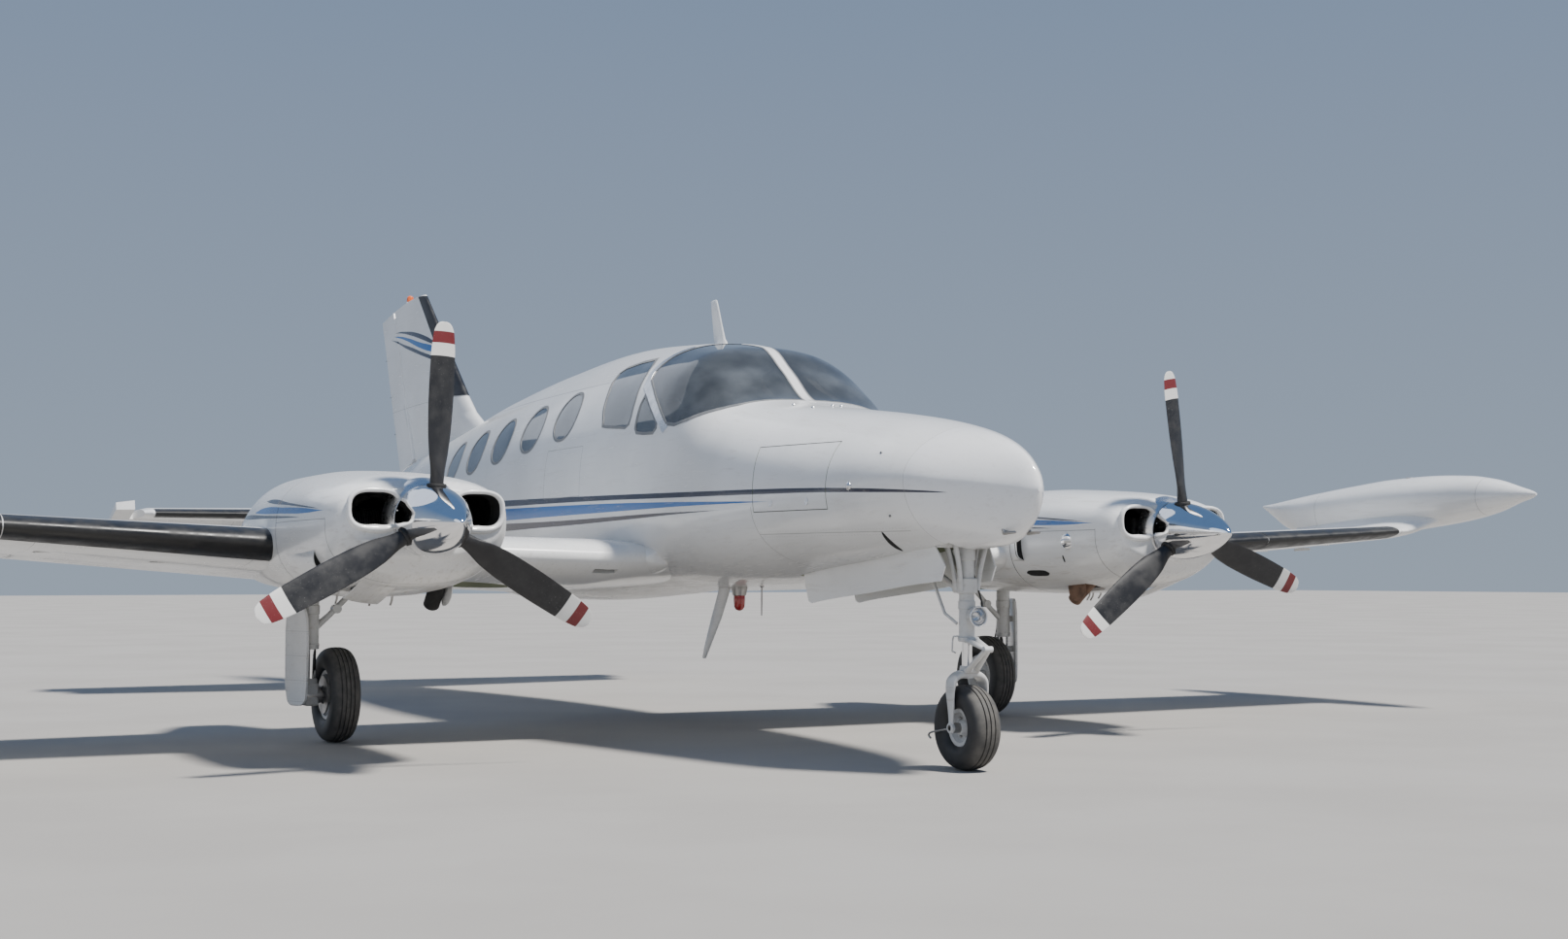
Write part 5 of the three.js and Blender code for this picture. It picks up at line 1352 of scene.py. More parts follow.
# Near-black: painted shade in the inlet ducts, behind the inlets, in scoop mouths, slots, the
# louvre, the wing slot's floor, the nose slit and the axle bores; also the real black of the dial
# faces, and used on the right exhaust stub.
BLACK_AND_SHADE = Rubber("dark_inlet", colour=(0.006, 0.006, 0.006), dust=(0.02, 0.019, 0.018), rough=0.7,
              grain=60.0)
SIDE_GLASS = Glass("side_glass", clear=0.42, colour=(0.075, 0.09, 0.105), haze=0.12)
FRONT_GLASS = Glass("front_glass", clear=0.6, colour=(0.05, 0.055, 0.06), haze=0.06)
LINING = Cloth("cabin_lining", colour=(0.36, 0.34, 0.30), other=(0.30, 0.28, 0.25), grain=420.0,
               depth=0.0006)
CARPET = Cloth("carpet", colour=(0.07, 0.08, 0.10), other=(0.05, 0.055, 0.07), grain=300.0,
               depth=0.003, rough=0.9)
LEATHER = Cloth("seat_leather", colour=(0.33, 0.27, 0.20), other=(0.24, 0.19, 0.14), grain=140.0,
                rough=0.5)
PRIMER = Paint("primer", colour=(0.30, 0.33, 0.22), shade=(0.24, 0.27, 0.19), grime=0.4, gloss=0.5)
PANEL_BLACK = Cloth("panel_plastic", colour=(0.025, 0.025, 0.027), other=(0.045, 0.044, 0.043),
                    grain=600.0, depth=0.0003, rough=0.5, sheen=0.0)
LAMP_GLASS = Glass("lamp_glass", colour=(0.55, 0.57, 0.6), clear=0.93, haze=0.02)
CLEAR_LENS = Lens("clear_lens", colour=(0.75, 0.76, 0.76))
RED_LENS = Lens("red_lens", colour=(0.35, 0.012, 0.01))
ORANGE_LENS = Lens("orange_lens", colour=(0.75, 0.13, 0.02))
GREEN_LENS = Lens("green_lens", colour=(0.02, 0.28, 0.09))

AIRFRAME = "airframe"


def side_prism(outline: np.ndarray, side: Side, start: float = 0.2, end: float = 1.1) -> Piece:
    """A side-view outline pushed through one flank of the hull."""
    low, high = sorted((side.value * start, side.value * end))
    return prism("cutter", outline, Plane.SIDE, low, high)


def square_outline(front: float, rear: float, slope_z: float) -> np.ndarray:
    """A door's outline in plan, with its two ends square to the tapering skin.

    Args:
        front: Front edge at the skin.
        rear: Rear edge at the skin.
        slope_z: Height at which the skin's slope is taken.

    Returns:
        Corners as (x, y), for the left side.
    """
    slope = float(FUSELAGE.side_x(rear, slope_z) - FUSELAGE.side_x(front, slope_z)) / (rear - front)
    rows = [(x, y - (x - float(FUSELAGE.side_x(y, slope_z))) * slope)
            for y, x in ((front, 0.2), (front, 1.1), (rear, 1.1), (rear, 0.2))]
    return np.array(rows)


@dataclass
class Fuselage:
    """The hull: shell, doors, windows, floor, nose wheel well and the fittings on its skin."""

    shape: BodyShape = FUSELAGE
    wall: float = 0.05
    thin_wall: float = 0.026
    tail_wall: float = 0.014
    post_half: float = 0.032
    door: tuple[float, float, float, float, float] = (1.065, 1.705, 1.02, 1.54, 2.055)
    door_gap: float = 0.008
    nose_gap: float = 0.004
    joint: float = 0.006
    nose_door: tuple[float, float, float, float] = (-4.06, -3.44, 1.29, 1.64)
    well: tuple[float, float, float, float] = (-4.62, -3.14, 0.165, 1.27)
    panes: dict[str,
                np.ndarray] = field(default_factory=lambda: {"cockpit": COCKPIT_PANE,
                                                             "vent": VENT_PANE})

    def slice(self, name: str, start: float, end: float, outer: float, inner: float) -> Piece:
        """A thin shell between two offsets of the skin.

        Args:
            name: Piece name.
            start: First station.
            end: Last station.
            outer: Offset of its outside.
            inner: Offset of its inside.

        Returns:
            The shell.
        """
        body = self.shape.solid(name, start, end, outer, 0.03, 144)
        return carve(body, self.shape.solid("inside", start - 0.05, end + 0.05, inner, 0.03, 144))

    def outlines(self, side: Side) -> dict[str, np.ndarray]:
        """Side windows' outlines by name. The last oval on the left is in the door."""
        ovals = OVAL_CENTRES if side is Side.RIGHT else OVAL_CENTRES[:4]
        return {**self.panes,
                **{f"oval_{i + 1}": oval(c, OVAL_HALF, 48, 2.15) for i, c in enumerate(ovals)}}

    def shell(self) -> None:
        """The hull's shell, with all its holes, in place of the faceted one."""
        hull = self.shape.solid("hull_shell", -5.145, 4.54, 0.0, 0.035, 128)
        for start, end, wall in ((-4.574, -2.986, self.thin_wall), (-2.944, 1.884, self.wall),
                                 (1.9, 4.2, self.tail_wall)):
            carve(hull, self.shape.solid("room", start, end, -wall, 0.05, 96))
        for side in Side:
            for outline in self.outlines(side).values():
                carve(hull, side_prism(outline, side))
            carve(hull, side_prism(WINDSHIELD, side, self.post_half))
            carve(hull, self.nose_door_cut(side, 0.0))
        front, rear, low, _, high = self.door
        middle = (low + high) / 2
        carve(hull, prism("doorway", square_outline(front, rear, middle), Plane.PLAN, low, high))
        front, rear, half, top = self.well
        carve(hull, block("well", (-half, front, 0.5), (half, rear, top)))

        def choose(centres: np.ndarray, normals: np.ndarray) -> np.ndarray:
            """Paint outside, cloth inside the cabin, and primer elsewhere inside."""
            cabin = (centres[:, 1] > -2.95) & (centres[:, 1] < 1.89)
            skin = self.shape.on_skin(centres)
            skin |= centres[:, 1] > 4.53
            return np.where(skin, np.where(centres[:, 1] < -4.6, 3, 0),
                            np.where(centres[:, 1] < -4.59, 3, np.where(cabin, 1, 2)))

        dress(hull, AIRFRAME, (HULL_PAINT, LINING, PRIMER, RADOME_PAINT),
              ("nose_cone", "nose_section", "cabin_belly", "cabin_side_left", "cabin_side_right",
               "cabin_roof", "tail_section"), choose)

    def nose_door_cut(self, side: Side, gap: float) -> Piece:
        """The tool that cuts a nose baggage door, shrunk by a gap."""
        front, rear, low, high = self.nose_door
        outline = square_outline(front + gap, rear - gap, (low + high) / 2)
        outline[:, 0] *= side.value
        return prism("nose_door_cut", outline, Plane.PLAN, low + gap, high - gap)

    def floor(self) -> None:
        """Carpeted floor and both bulkheads, fitted to the hull's inside."""
        y = np.linspace(-2.94, 1.88, 60)
        z = 1.205 - 0.061 * (y + 1.5)
        half = self.shape.side_x(y, z) - self.wall + 0.004
        across = np.linspace(-1, 1, 25)
        top = np.stack([half[:, None] * across, np.broadcast_to(y[:, None], (60, 25)),
                        np.broadcast_to(z[:, None], (60, 25))], -1)
        plate = thick_sheet("cabin_floor", top + [0, 0, 0.022], top)
        dress(plate, AIRFRAME, (CARPET,))
        for name, start in (("front_bulkhead", -2.96), ("rear_bulkhead", 1.884)):
            wall = self.shape.solid(name, start, start + 0.016, 0.004 - self.wall, 0.008, 96)
            dress(wall, AIRFRAME, (LINING,))

    def wheel_well(self) -> None:
        """Roof and walls of the nose wheel well."""
        _, _, half, top = self.well
        plates = [block("p", (-half - 0.026, -4.599, top), (half + 0.026, -2.97, top + 0.026))]
        for side in Side:
            low, high = sorted((side.value * half, side.value * (half + 0.026)))
            plates.append(block("p", (low, -4.599, 0.9), (high, -2.97, top + 0.005)))
        room = self.shape.solid("room", -4.595, -2.965, 0.002 - self.thin_wall, 0.05, 96)
        for i, plate in enumerate(plates):
            carve(plate, room, Cut.KEEP, keep_tool=i < len(plates) - 1)
        dress(joined("nose_wheel_well", plates), AIRFRAME, (PRIMER,))

    def nose_doors(self) -> None:
        """The two baggage doors in the nose, each with two latches."""
        for side in Side:
            leaf = self.slice(f"nose_baggage_door_{side.word}", -4.2, -3.3, 0.0, -self.thin_wall)
            carve(leaf, self.nose_door_cut(side, self.nose_gap), Cut.KEEP)
            body = f"{side.word}_nose_door"
            dress(leaf, body, (DOOR_PAINT, PRIMER), (f"nose_door_{side.word}",),
                  lambda c, n: np.where(self.shape.on_skin(c), 0, 1))
            for k, y in enumerate((-3.9, -3.6)):
                z = 1.335
                x = float(self.shape.side_x(y, z)) * side.value
                latch = bar(f"nose_latch_{side.word}_{k}",
                            [(x - 0.006 * side.value, y, z), (x + 0.0016 * side.value, y, z)],
                            [0.019, 0.019], 24)
                dress(latch, body, (BARE_METAL,))

    def airstair(self) -> None:
        """The door's upper leaf with its window, and the lower leaf with two steps and a handle."""
        front, rear, low, split, high = self.door
        gap = self.door_gap
        outline = square_outline(front + gap, rear - gap, (low + high) / 2)
        last = oval(OVAL_CENTRES[4], OVAL_HALF, 48, 2.15)
        for name, z0, z1, node, body in (("airstair_upper_leaf", split + self.joint,
                                          high - self.joint, "airstair_upper", "airstair_top"),
                                         ("airstair_lower_leaf", low + self.joint, split,
                                          "airstair_lower", "airstair_steps")):
            leaf = self.slice(name, 0.9, 1.85, 0.0, -self.wall)
            carve(leaf, prism("edge", outline, Plane.PLAN, z0, z1), Cut.KEEP)
            if node == "airstair_upper":
                carve(leaf, side_prism(last, Side.LEFT))
            dress(leaf, body, (DOOR_PAINT, LINING), (node,),
                  lambda c, n: np.where(self.shape.on_skin(c), 0, 1))
        self.window("door", last, Side.LEFT, "airstair_top", ("airstair_glass",))
        for k, z in enumerate((1.17, 1.36)):
            wall = float(self.shape.side_x(1.385, z)) - self.wall
            tread = block(f"folded_step_{k}", (wall - 0.125, 1.16, z),
                          (wall - 0.002, 1.61, z + 0.022))
            for y in (1.16, 1.594):
                carve(tread,
                      block("cheek", (wall - 0.125, y, z - 0.06),
                            (wall + 0.004, y + 0.016, z + 0.03)), Cut.JOIN)
            soften(tread, 0.004)
            dress(tread, "airstair_steps", (BARE_METAL,))
        x = float(self.shape.side_x(1.62, 1.60))
        cup = bar("door_handle",
                  [(x - 0.004, 1.56, 1.60), (x + 0.009, 1.585, 1.60), (x + 0.009, 1.64, 1.60),
                   (x - 0.004, 1.665, 1.60)], 0.007, 16, (0, 0, 1))
        dress(cup, "airstair_top", (BARE_METAL,))

    def window(self, name: str, outline: np.ndarray, side: Side, body: str = AIRFRAME,
               replaces: Sequence[str] = ()) -> Piece:
        """One crowned pane and the sealed rim around it, both following the hull.

        Args:
            name: The window's name.
            outline: Its side-view outline.
            side: The flank that it is in.
            body: The body that it rides on.
            replaces: CAD nodes that the pane stands for.

        Returns:
            The pane.
        """
        low, high = outline[:, 0].min() - 0.1, outline[:, 0].max() + 0.1
        pane = self.slice(f"{name}_pane_{side.word}", low, high, -0.0012, -0.009)
        carve(pane, side_prism(grown(outline, -0.0004), side), Cut.KEEP)
        dress(pane, body, (SIDE_GLASS,), replaces)
        rim = self.slice(f"{name}_rim_{side.word}", low, high, 0.0014, -0.006)
        carve(rim, side_prism(grown(outline, 0.013), side), Cut.KEEP)
        carve(rim, side_prism(grown(outline, -0.006), side))
        dress(rim, body, (SEAL,))
        return pane

    def windows(self) -> None:
        """The side windows, the two windshield halves, their seals and the bright strips."""
        for side in Side:
            for i, (name, outline) in enumerate(self.outlines(side).items()):
                self.window(name, outline, side,
                            replaces=(f"side_glass_{side.word}",) if i == 0 else ())
            pane = self.slice(f"windshield_pane_{side.word}", -3.1, -1.95, -0.0012, -0.011)
            carve(pane, side_prism(grown(WINDSHIELD, -0.0004), side, self.post_half + 0.0004),
                  Cut.KEEP)
            dress(pane, AIRFRAME, (FRONT_GLASS,), (f"windshield_{side.word}",))
            rim = self.slice(f"windshield_seal_{side.word}", -3.1, -1.95, 0.0014, -0.006)
            carve(rim, side_prism(grown(WINDSHIELD, 0.012), side, self.post_half - 0.012), Cut.KEEP)
            carve(rim, side_prism(grown(WINDSHIELD, -0.008), side, self.post_half + 0.008))
            dress(rim, AIRFRAME, (SEAL,))
            strip = self.slice(f"windshield_strip_{side.word}", -2.8, -1.85, 0.0024, -0.004)
            carve(strip, side_prism(grown(WINDSHIELD, 0.055), side, 0.3), Cut.KEEP)
            carve(strip, side_prism(grown(WINDSHIELD, 0.004), side))
            edge = np.array([(-2.56, 1.80), (-2.42, 1.70), (-1.9, 1.9), (-1.95, 2.38),
                             (-2.15, 2.38), (-2.10, 2.25)])
            carve(strip, side_prism(edge, side), Cut.KEEP)
            dress(strip, AIRFRAME, (BARE_METAL,))

    def post_cover(self) -> None:
        """The broad white strip over the windshield's middle post."""
        y = np.linspace(-2.99, -2.17, 44)[:, None]
        across = np.linspace(-0.030, 0.030, 13)[None]
        top = self.shape.cap_z(y + 0 * across, 0 * across + 0 * y)
        place = np.stack([across + 0 * y, y + 0 * across, top], -1)
        slope = np.gradient(top[:, 0], y[:, 0])
        away = np.stack([0 * slope, -slope, np.ones_like(slope)], -1) / np.hypot(1, slope)[:, None]
        bulge = 0.0045 * (1 - (across / 0.031) ** 4)[..., None]
        strip = thick_sheet("windshield_post_cover", place + away[:, None] * bulge,
                            place - 0.003 * away[:, None])
        dress(strip, AIRFRAME, (PLAIN_PAINT,), degrees=60)

    def blade_antenna(self, name: str, rows: Sequence[tuple[float, float, float, float]]) -> Piece:
        """A thin swept blade: rows of height, front, rear and half thickness, each a lens shape."""
        table = np.asarray(rows, float)
        angle = np.linspace(0, 2 * math.pi, 32, endpoint=False)
        middle, reach = (table[:, 1] + table[:, 2]) / 2, (table[:, 2] - table[:, 1]) / 2
        rings = np.stack([table[:, 3:4] * np.sin(angle) * (1 - 0.35 * np.cos(angle)),
                          middle[:, None] + reach[:, None] * np.cos(angle),
                          np.broadcast_to(table[:, 0:1], (len(table), 32))], -1)
        return closed_loft(name, rings)

    def fittings(self) -> None:
        """Aerials, beacon, pitot head, cooling scoop and small vents on the hull's skin."""
        top = float(self.shape.cap_z(-1.83, 0.0))
        mast = self.blade_antenna("roof_aerial",
                                  [(top - 0.01, -1.925, -1.735, 0.022),
                                   (top + 0.012, -1.918, -1.74, 0.018),
                                   (top + 0.03, -1.9, -1.75, 0.011), (2.5, -1.862, -1.735, 0.0095),
                                   (2.62, -1.812, -1.713, 0.0085), (2.668, -1.79, -1.705, 0.0075),
                                   (2.675, -1.78, -1.708, 0.003)])
        dress(mast, AIRFRAME, (PLAIN_PAINT,))
        under = float(self.shape.cap_z(-1.9, 0.0, above=False))
        fin = self.blade_antenna("belly_aerial",
                                 [(under + 0.01, -1.985, -1.82, 0.016),
                                  (under - 0.02, -1.965, -1.815, 0.011), (0.7, -1.86, -1.72, 0.009),
                                  (0.5, -1.69, -1.615, 0.008), (0.447, -1.645, -1.598, 0.006),
                                  (0.443, -1.64, -1.6, 0.003)])
        dress(fin, AIRFRAME, (PLAIN_PAINT,))
        belly = float(self.shape.cap_z(-2.095, 0.0, above=False))
        base = stepped_bar("belly_beacon_base", (0, -2.095, belly + 0.02), (0, -2.095, 0.745),
                           [(0, 0.05), (0.03, 0.05), (0.045, 0.046), (0.07, 0.04), (0.075, 0.02)])
        dress(base, AIRFRAME, (STEEL,))
        lamp = stepped_bar("belly_beacon_lens", (0, -2.095, 0.84), (0, -2.095, 0.745),
                           [(0, 0.034), (0.03, 0.036), (0.07, 0.032), (0.087, 0.022),
                            (0.094, 0.008)])
        dress(lamp, AIRFRAME, (RED_LENS,))
        whip_top = float(self.shape.cap_z(-2.383, 0.0, above=False))
        whip = stepped_bar("belly_whip", (0, -2.383, whip_top + 0.01), (0, -2.379, 0.699),
                           [(0, 0.014), (0.016, 0.013), (0.02, 0.0055), (0.17, 0.004),
                            (0.186, 0.0045)], 16)
        dress(whip, AIRFRAME, (STEEL,))
        self.pitot()
        self.scoop()
        for k, (y, z) in enumerate(((-4.232, 1.402), (-4.45, 1.25), (-4.39, 1.56))):
            x = -float(self.shape.side_x(y, z))
            stud = stepped_bar(f"skin_fitting_{k}", (x + 0.004, y, z), (x - 0.01, y, z),
                               [(0, 0.022), (0.006, 0.021), (0.01, 0.014), (0.013, 0.005)] if k == 0
                               else [(0, 0.008), (0.006, 0.008), (0.0065, 0.004)], 20)
            dress(stud, AIRFRAME, (BARE_METAL if k == 0 else SEAL,))
        for k, (y,
                x) in enumerate(((-3.168, -0.221), (-3.355, -0.204), (-3.294, -0.046),
                                 (-3.26, 0.03))):
            z = float(self.shape.cap_z(y, x))
            nozzle = stepped_bar(f"de_ice_nozzle_{k}", (x, y, z - 0.004), (x, y + 0.01, z + 0.014),
                                 [(0, 0.012), (0.007, 0.011), (0.012, 0.005), (0.017, 0.003)], 16)
            dress(nozzle, AIRFRAME, (BARE_METAL,))

    def pitot(self) -> None:
        """A pitot head on a short foot, close below each side of the nose cone."""
        for side in Side:
            x, y = 0.070 * side.value, -4.958
            z = float(self.shape.cap_z(y, x, above=False)) - 0.004
            foot = bar(f"pitot_mast_{side.word}",
                       [(x, y + 0.016, z + 0.024), (x, y + 0.008, z + 0.008), (x, y, z - 0.004)],
                       [0.017, 0.0145, 0.0105], 24, (0, 1, 0), 0.8)
            head = stepped_bar(f"pitot_head_{side.word}", (x, y + 0.02, z - 0.006),
                               (x, y - 0.085, z - 0.004),
                               [(0, 0.004), (0.010, 0.0105), (0.030, 0.0105), (0.045, 0.0078),
                                (0.100, 0.0068), (0.105, 0.0045)], 20)
            dress(foot, AIRFRAME, (STEEL,))
            dress(head, AIRFRAME, (STEEL,))

    def scoop(self) -> None:
        """A near-black flush sheet low on the right of the nose, slanting, with pointed ends:
        painted shade standing for a cooling slit.
        """
        t = np.linspace(0, 1, 28)[:, None]
        s = np.linspace(-1, 1, 9)[None, :]
        half = 0.026 * np.clip(np.sin(math.pi * (0.01 + 0.98 * t**0.7)), 0,
                               1) ** 0.6 * (0.45 + 0.55 * t)
        across = -0.365 + 0.175 * t
        y = -4.322 + 0.082 * t + s * half
        across = across + 0 * s
        z = self.shape.cap_z(y, across, above=False)
        outer = np.stack([across, y, z - 0.0012], -1)
        # A near-black sheet on the skin, painted shade standing for the slit's opening.
        inlet = thick_sheet("nose_cooling_inlet", outer, outer + [0, 0, 0.004])
        dress(inlet, AIRFRAME, (BLACK_AND_SHADE,))

    def build(self) -> None:
        """Builds every piece of the hull."""
        self.shell()
        self.floor()
        self.wheel_well()
        self.nose_doors()
        self.airstair()
        self.windows()
        self.post_cover()
        self.fittings()


def soften(piece: Piece, width: float, segments: int = 2, degrees: float = 30.0) -> Piece:
    """Rounds a piece's sharp edges with a bevel that is applied at once."""
    modifier = piece.modifiers.new("soften", "BEVEL")
    modifier.width = width
    modifier.segments = segments
    modifier.limit_method = "ANGLE"
    modifier.angle_limit = math.radians(degrees)
    graph = bpy.context.evaluated_depsgraph_get()
    mesh = bpy.data.meshes.new_from_object(piece.evaluated_get(graph))
    piece.modifiers.clear()
    old, piece.data = piece.data, mesh
    mesh.name = piece.name
    bpy.data.meshes.remove(old)
    return piece


def shell_plate(name: str, shape: WingShape, spans: np.ndarray, shares: np.ndarray,
                lift: float) -> Piece:
    """A thin closed sheet that wraps round a surface's leading edge or lies on its skin.

    Args:
        name: Piece name.
        shape: The surface that it lies on.
        spans: Spans along it.
        shares: Signed chord shares from the top round to the bottom.
        lift: How far its outside stands off.

    Returns:
        The sheet.
    """
    return thick_sheet(name, shape.surface(spans, shares, lift),
                       shape.surface(spans, shares, -0.001))


def behind_hinge(line: tuple[np.ndarray, np.ndarray], forward: float, behind: float,
                 sideways: float) -> np.ndarray:
    """A strip in plan behind a hinge line, from forward of it to behind it, with square ends.

    Args:
        line: The hinge's two ends.
        forward: How far it reaches forward.
        behind: How far it reaches back.
        sideways: How far it reaches past both ends.

    Returns:
        Four corners as (x, y).
    """
    a, b = line[0][:2], line[1][:2]
    along = (b - a) / np.linalg.norm(b - a)
    aft = np.array([-along[1], along[0]])
    return np.array([a - sideways * along - forward * aft, b + sideways * along - forward * aft,
                     b + sideways * along + behind * aft, a - sideways * along + behind * aft])


def moved(piece: Piece, by: Sequence[float]) -> Piece:
    """Shifts a mesh's corners."""
    return set_corners(piece, corners_of(piece) + np.asarray(by, float))


def both(left: Piece, stem: str, body: str, finishes: Sequence[Finish],
         node: str | None = None, choose: Chooser | None = None, degrees: float = 32.0) -> None:
    """Dresses a left piece and its mirror image, with {} for the side in the names.

    Args:
        left: The left piece.
        stem: Names, such as wing_skin_{}.
        body: The bodies' names.
        finishes: Finishes in order.
        node: CAD nodes that they stand for.
        choose: Picks finishes by face.
        degrees: Edges sharper than this stay sharp.
    """
    left.name = stem.format("left")
    right = mirrored(left, stem.format("right"))
    for side, piece in ((Side.LEFT, left), (Side.RIGHT, right)):
        nodes = (node.format(side.word),) if node else ()
        dress(piece, body.format(side.word), finishes, nodes, choose, degrees)


@dataclass
class Wings:
    """Both wings with their ailerons, split flaps, boots, brackets, lamps and tip tanks."""

    shape: WingShape = WING
    hinge: float = 0.76
    aileron: tuple[float, float] = (4.01, 5.5)
    flaps: tuple[tuple[str, float, float], ...] = (("inner", 0.905, 1.9), ("outer", 2.81, 3.985))
    flap_end: float = 0.93
    flap_thick: float = 0.012
    gap: float = 0.006
    well_skin: float = 0.014
    axle_y: float = AXLE_Y
    leg_x: float = LEG_X
    tip: float = 5.57
    tank_x: float = 5.87
    tank: BodyShape = BodyShape(((-3042, 1545, 1527, 9, 1536, 2, 2),
                                 (-3020, 1556, 1513, 22, 1536, 2, 2),
                                 (-2910, 1592, 1483, 62, 1535, 2, 2),
                                 (-2700, 1655, 1415, 126, 1531, 2, 2),
                                 (-2450, 1692, 1364, 172, 1526, 2, 2),
                                 (-2110, 1706, 1322, 200, 1520, 2, 2),
                                 (-1750, 1696, 1288, 207, 1512, 2, 2),
                                 (-1335, 1661, 1266, 184, 1500, 2, 2),
                                 (-860, 1610, 1262, 138, 1488, 2, 1.9),
                                 (-560, 1572, 1352, 84, 1500, 2, 1.8),
                                 (-400, 1551, 1448, 44, 1515, 2, 1.8),
                                 (-275, 1539, 1524, 9, 1531, 2, 2)), 5.87)

    def full(self, name: str) -> Piece:
        """The whole left wing, uncut."""
        spans = np.unique(np.concatenate([np.linspace(0.2, 0.9, 8),
                                          np.linspace(0.9, self.tip, 60)]))
        return self.shape.solid(name, spans, points=40)

    def lines(self) -> dict[str, tuple[np.ndarray, np.ndarray]]:
        """Hinge lines by name: the aileron's inside the wing, the flaps' on its lower skin."""
        out = {"aileron": tuple(self.shape.point(x, self.hinge) for x in self.aileron)}
        for name, *ends in self.flaps:
            out[name] = tuple(self.shape.point(x, self.hinge, -1) for x in ends)
        return out

    def skins(self) -> None:
        """The wing with its cut-outs, the slot inlet at its root, the aileron and the flaps."""
        lines = self.lines()
        clear = self.gap + 0.002
        inner, outer = lines["aileron"]
        thick = [float(t * c * half_thickness(np.array(self.hinge))) for t, c in
                 ((self.shape.at(x)[4], self.shape.at(x)[2]) for x in self.aileron)]
        wing = self.full("wing")
        carve(wing,
              prism("cut", behind_hinge(lines["aileron"], thick[0] + clear, 0.9, self.gap),
                    Plane.PLAN, 0.5, 2.0))
        hull = FUSELAGE.solid("hull", -2.7, 0.2, -0.012, 0.05, 96)
        carve(wing, hull)
        spans, shares = np.linspace(0.84, 0.985, 8), -np.linspace(0.030, 0.056, 6)
        depths = [self.shape.surface(spans, shares, lift) for lift in (0.01, -0.022, -0.030)]
        carve(wing, thick_sheet("inlet", depths[0], depths[2]))
        # A near-black plate in the slot's floor, painted shade inside the recess.
        both(thick_sheet("floor", depths[1], depths[2]), "wing_inlet_{}", AIRFRAME,
             (BLACK_AND_SHADE,))
        y = self.axle_y
        well = stepped_bar("pocket", (1.56, y, 0.5), (1.56, y, 1.06), [(0, 0.325), (0.56, 0.325)],
                           64)
        carve(well, block("slot", (1.5, y - 0.085, 0.5), (self.leg_x + 0.1, y + 0.085, 1.035)),
              Cut.JOIN)
        carve(well, moved(self.full("below_skin"), (0, 0, -self.well_skin)), Cut.KEEP)
        carve(wing, well)
        aileron = self.full("aileron")
        carve(aileron,
              prism("strip", behind_hinge(lines["aileron"], 0.0, 0.8, 0.0), Plane.PLAN, 0.5, 2.0),
              Cut.KEEP)
        span = float(np.linalg.norm(outer - inner))
        carve(aileron, stepped_bar("nose", inner, outer, [(0, thick[0]), (span, thick[1])], 40),
              Cut.JOIN)
        both(aileron, "aileron_skin_{}", "{}_aileron", (SURFACE_PAINT,), "aileron_{}")
        for name, *_ in self.flaps:
            line = lines[name]
            chord = float(self.shape.point(line[1][0], self.flap_end)[1] - line[1][1])
            for grow, keep in ((self.gap, False), (0.0, True)):
                layer = self.full("layer")
                carve(layer, moved(self.full("upper"), (0, 0, self.flap_thick + grow)))
                strip = prism("strip", behind_hinge(line, grow, chord + grow, grow), Plane.PLAN,
                              0.5, 2.0)
                carve(layer, strip, Cut.KEEP)
                if keep:
                    both(layer, f"flap_skin_{name}_{{}}", f"{{}}_{name}_flap",
                         (SURFACE_PAINT,), f"flap_{name}_{{}}")
                else:
                    carve(wing, layer)

        def choose(centres: np.ndarray, normals: np.ndarray) -> np.ndarray:
            """Primer inside the wheel well, paint elsewhere."""
            x, y_in, z = np.abs(centres[:, 0]), centres[:, 1], centres[:, 2]
            inside = (np.hypot(x - 1.56, y_in - y) < 0.326) | ((np.abs(y_in - y) < 0.086)
                                                               & (x > 1.4) & (x < 2.52))
            low = z < np.interp(x, [0.2, 2.356, 5.57], [1.03, 1.045, 1.2]) + 0.05
            steep = (np.abs(normals[:, 2]) < 0.9) | (z > 1.02)
            return np.where(inside & low & steep & (z < 1.062), 1, 0)

        both(wing, "wing_skin_{}", AIRFRAME, (WING_PAINT, PRIMER), "wing_{}", choose)

    def boots(self) -> None:
        """Black boots on the outer wing, and a painted edge strip between nacelle and hull."""
        s = np.linspace(0, 1, 15)
        shares = np.concatenate([(0.095 * s**1.6)[::-1], -(0.11 * s[1:]**1.6)])
        for k, (x0, x1) in enumerate(((2.815, 4.17), (4.176, 5.47))):
            boot = shell_plate("boot", self.shape, np.linspace(x0, x1, 20), shares, 0.0022)
            both(boot, f"wing_boot_{k}_{{}}", AIRFRAME, (BOOT,), degrees=50)
        edge = shell_plate("edge", self.shape, np.linspace(1.16, 1.86, 12), shares * 0.7, 0.0012)
        both(edge, "landing_edge_{}", AIRFRAME, (PLAIN_PAINT,), degrees=50)

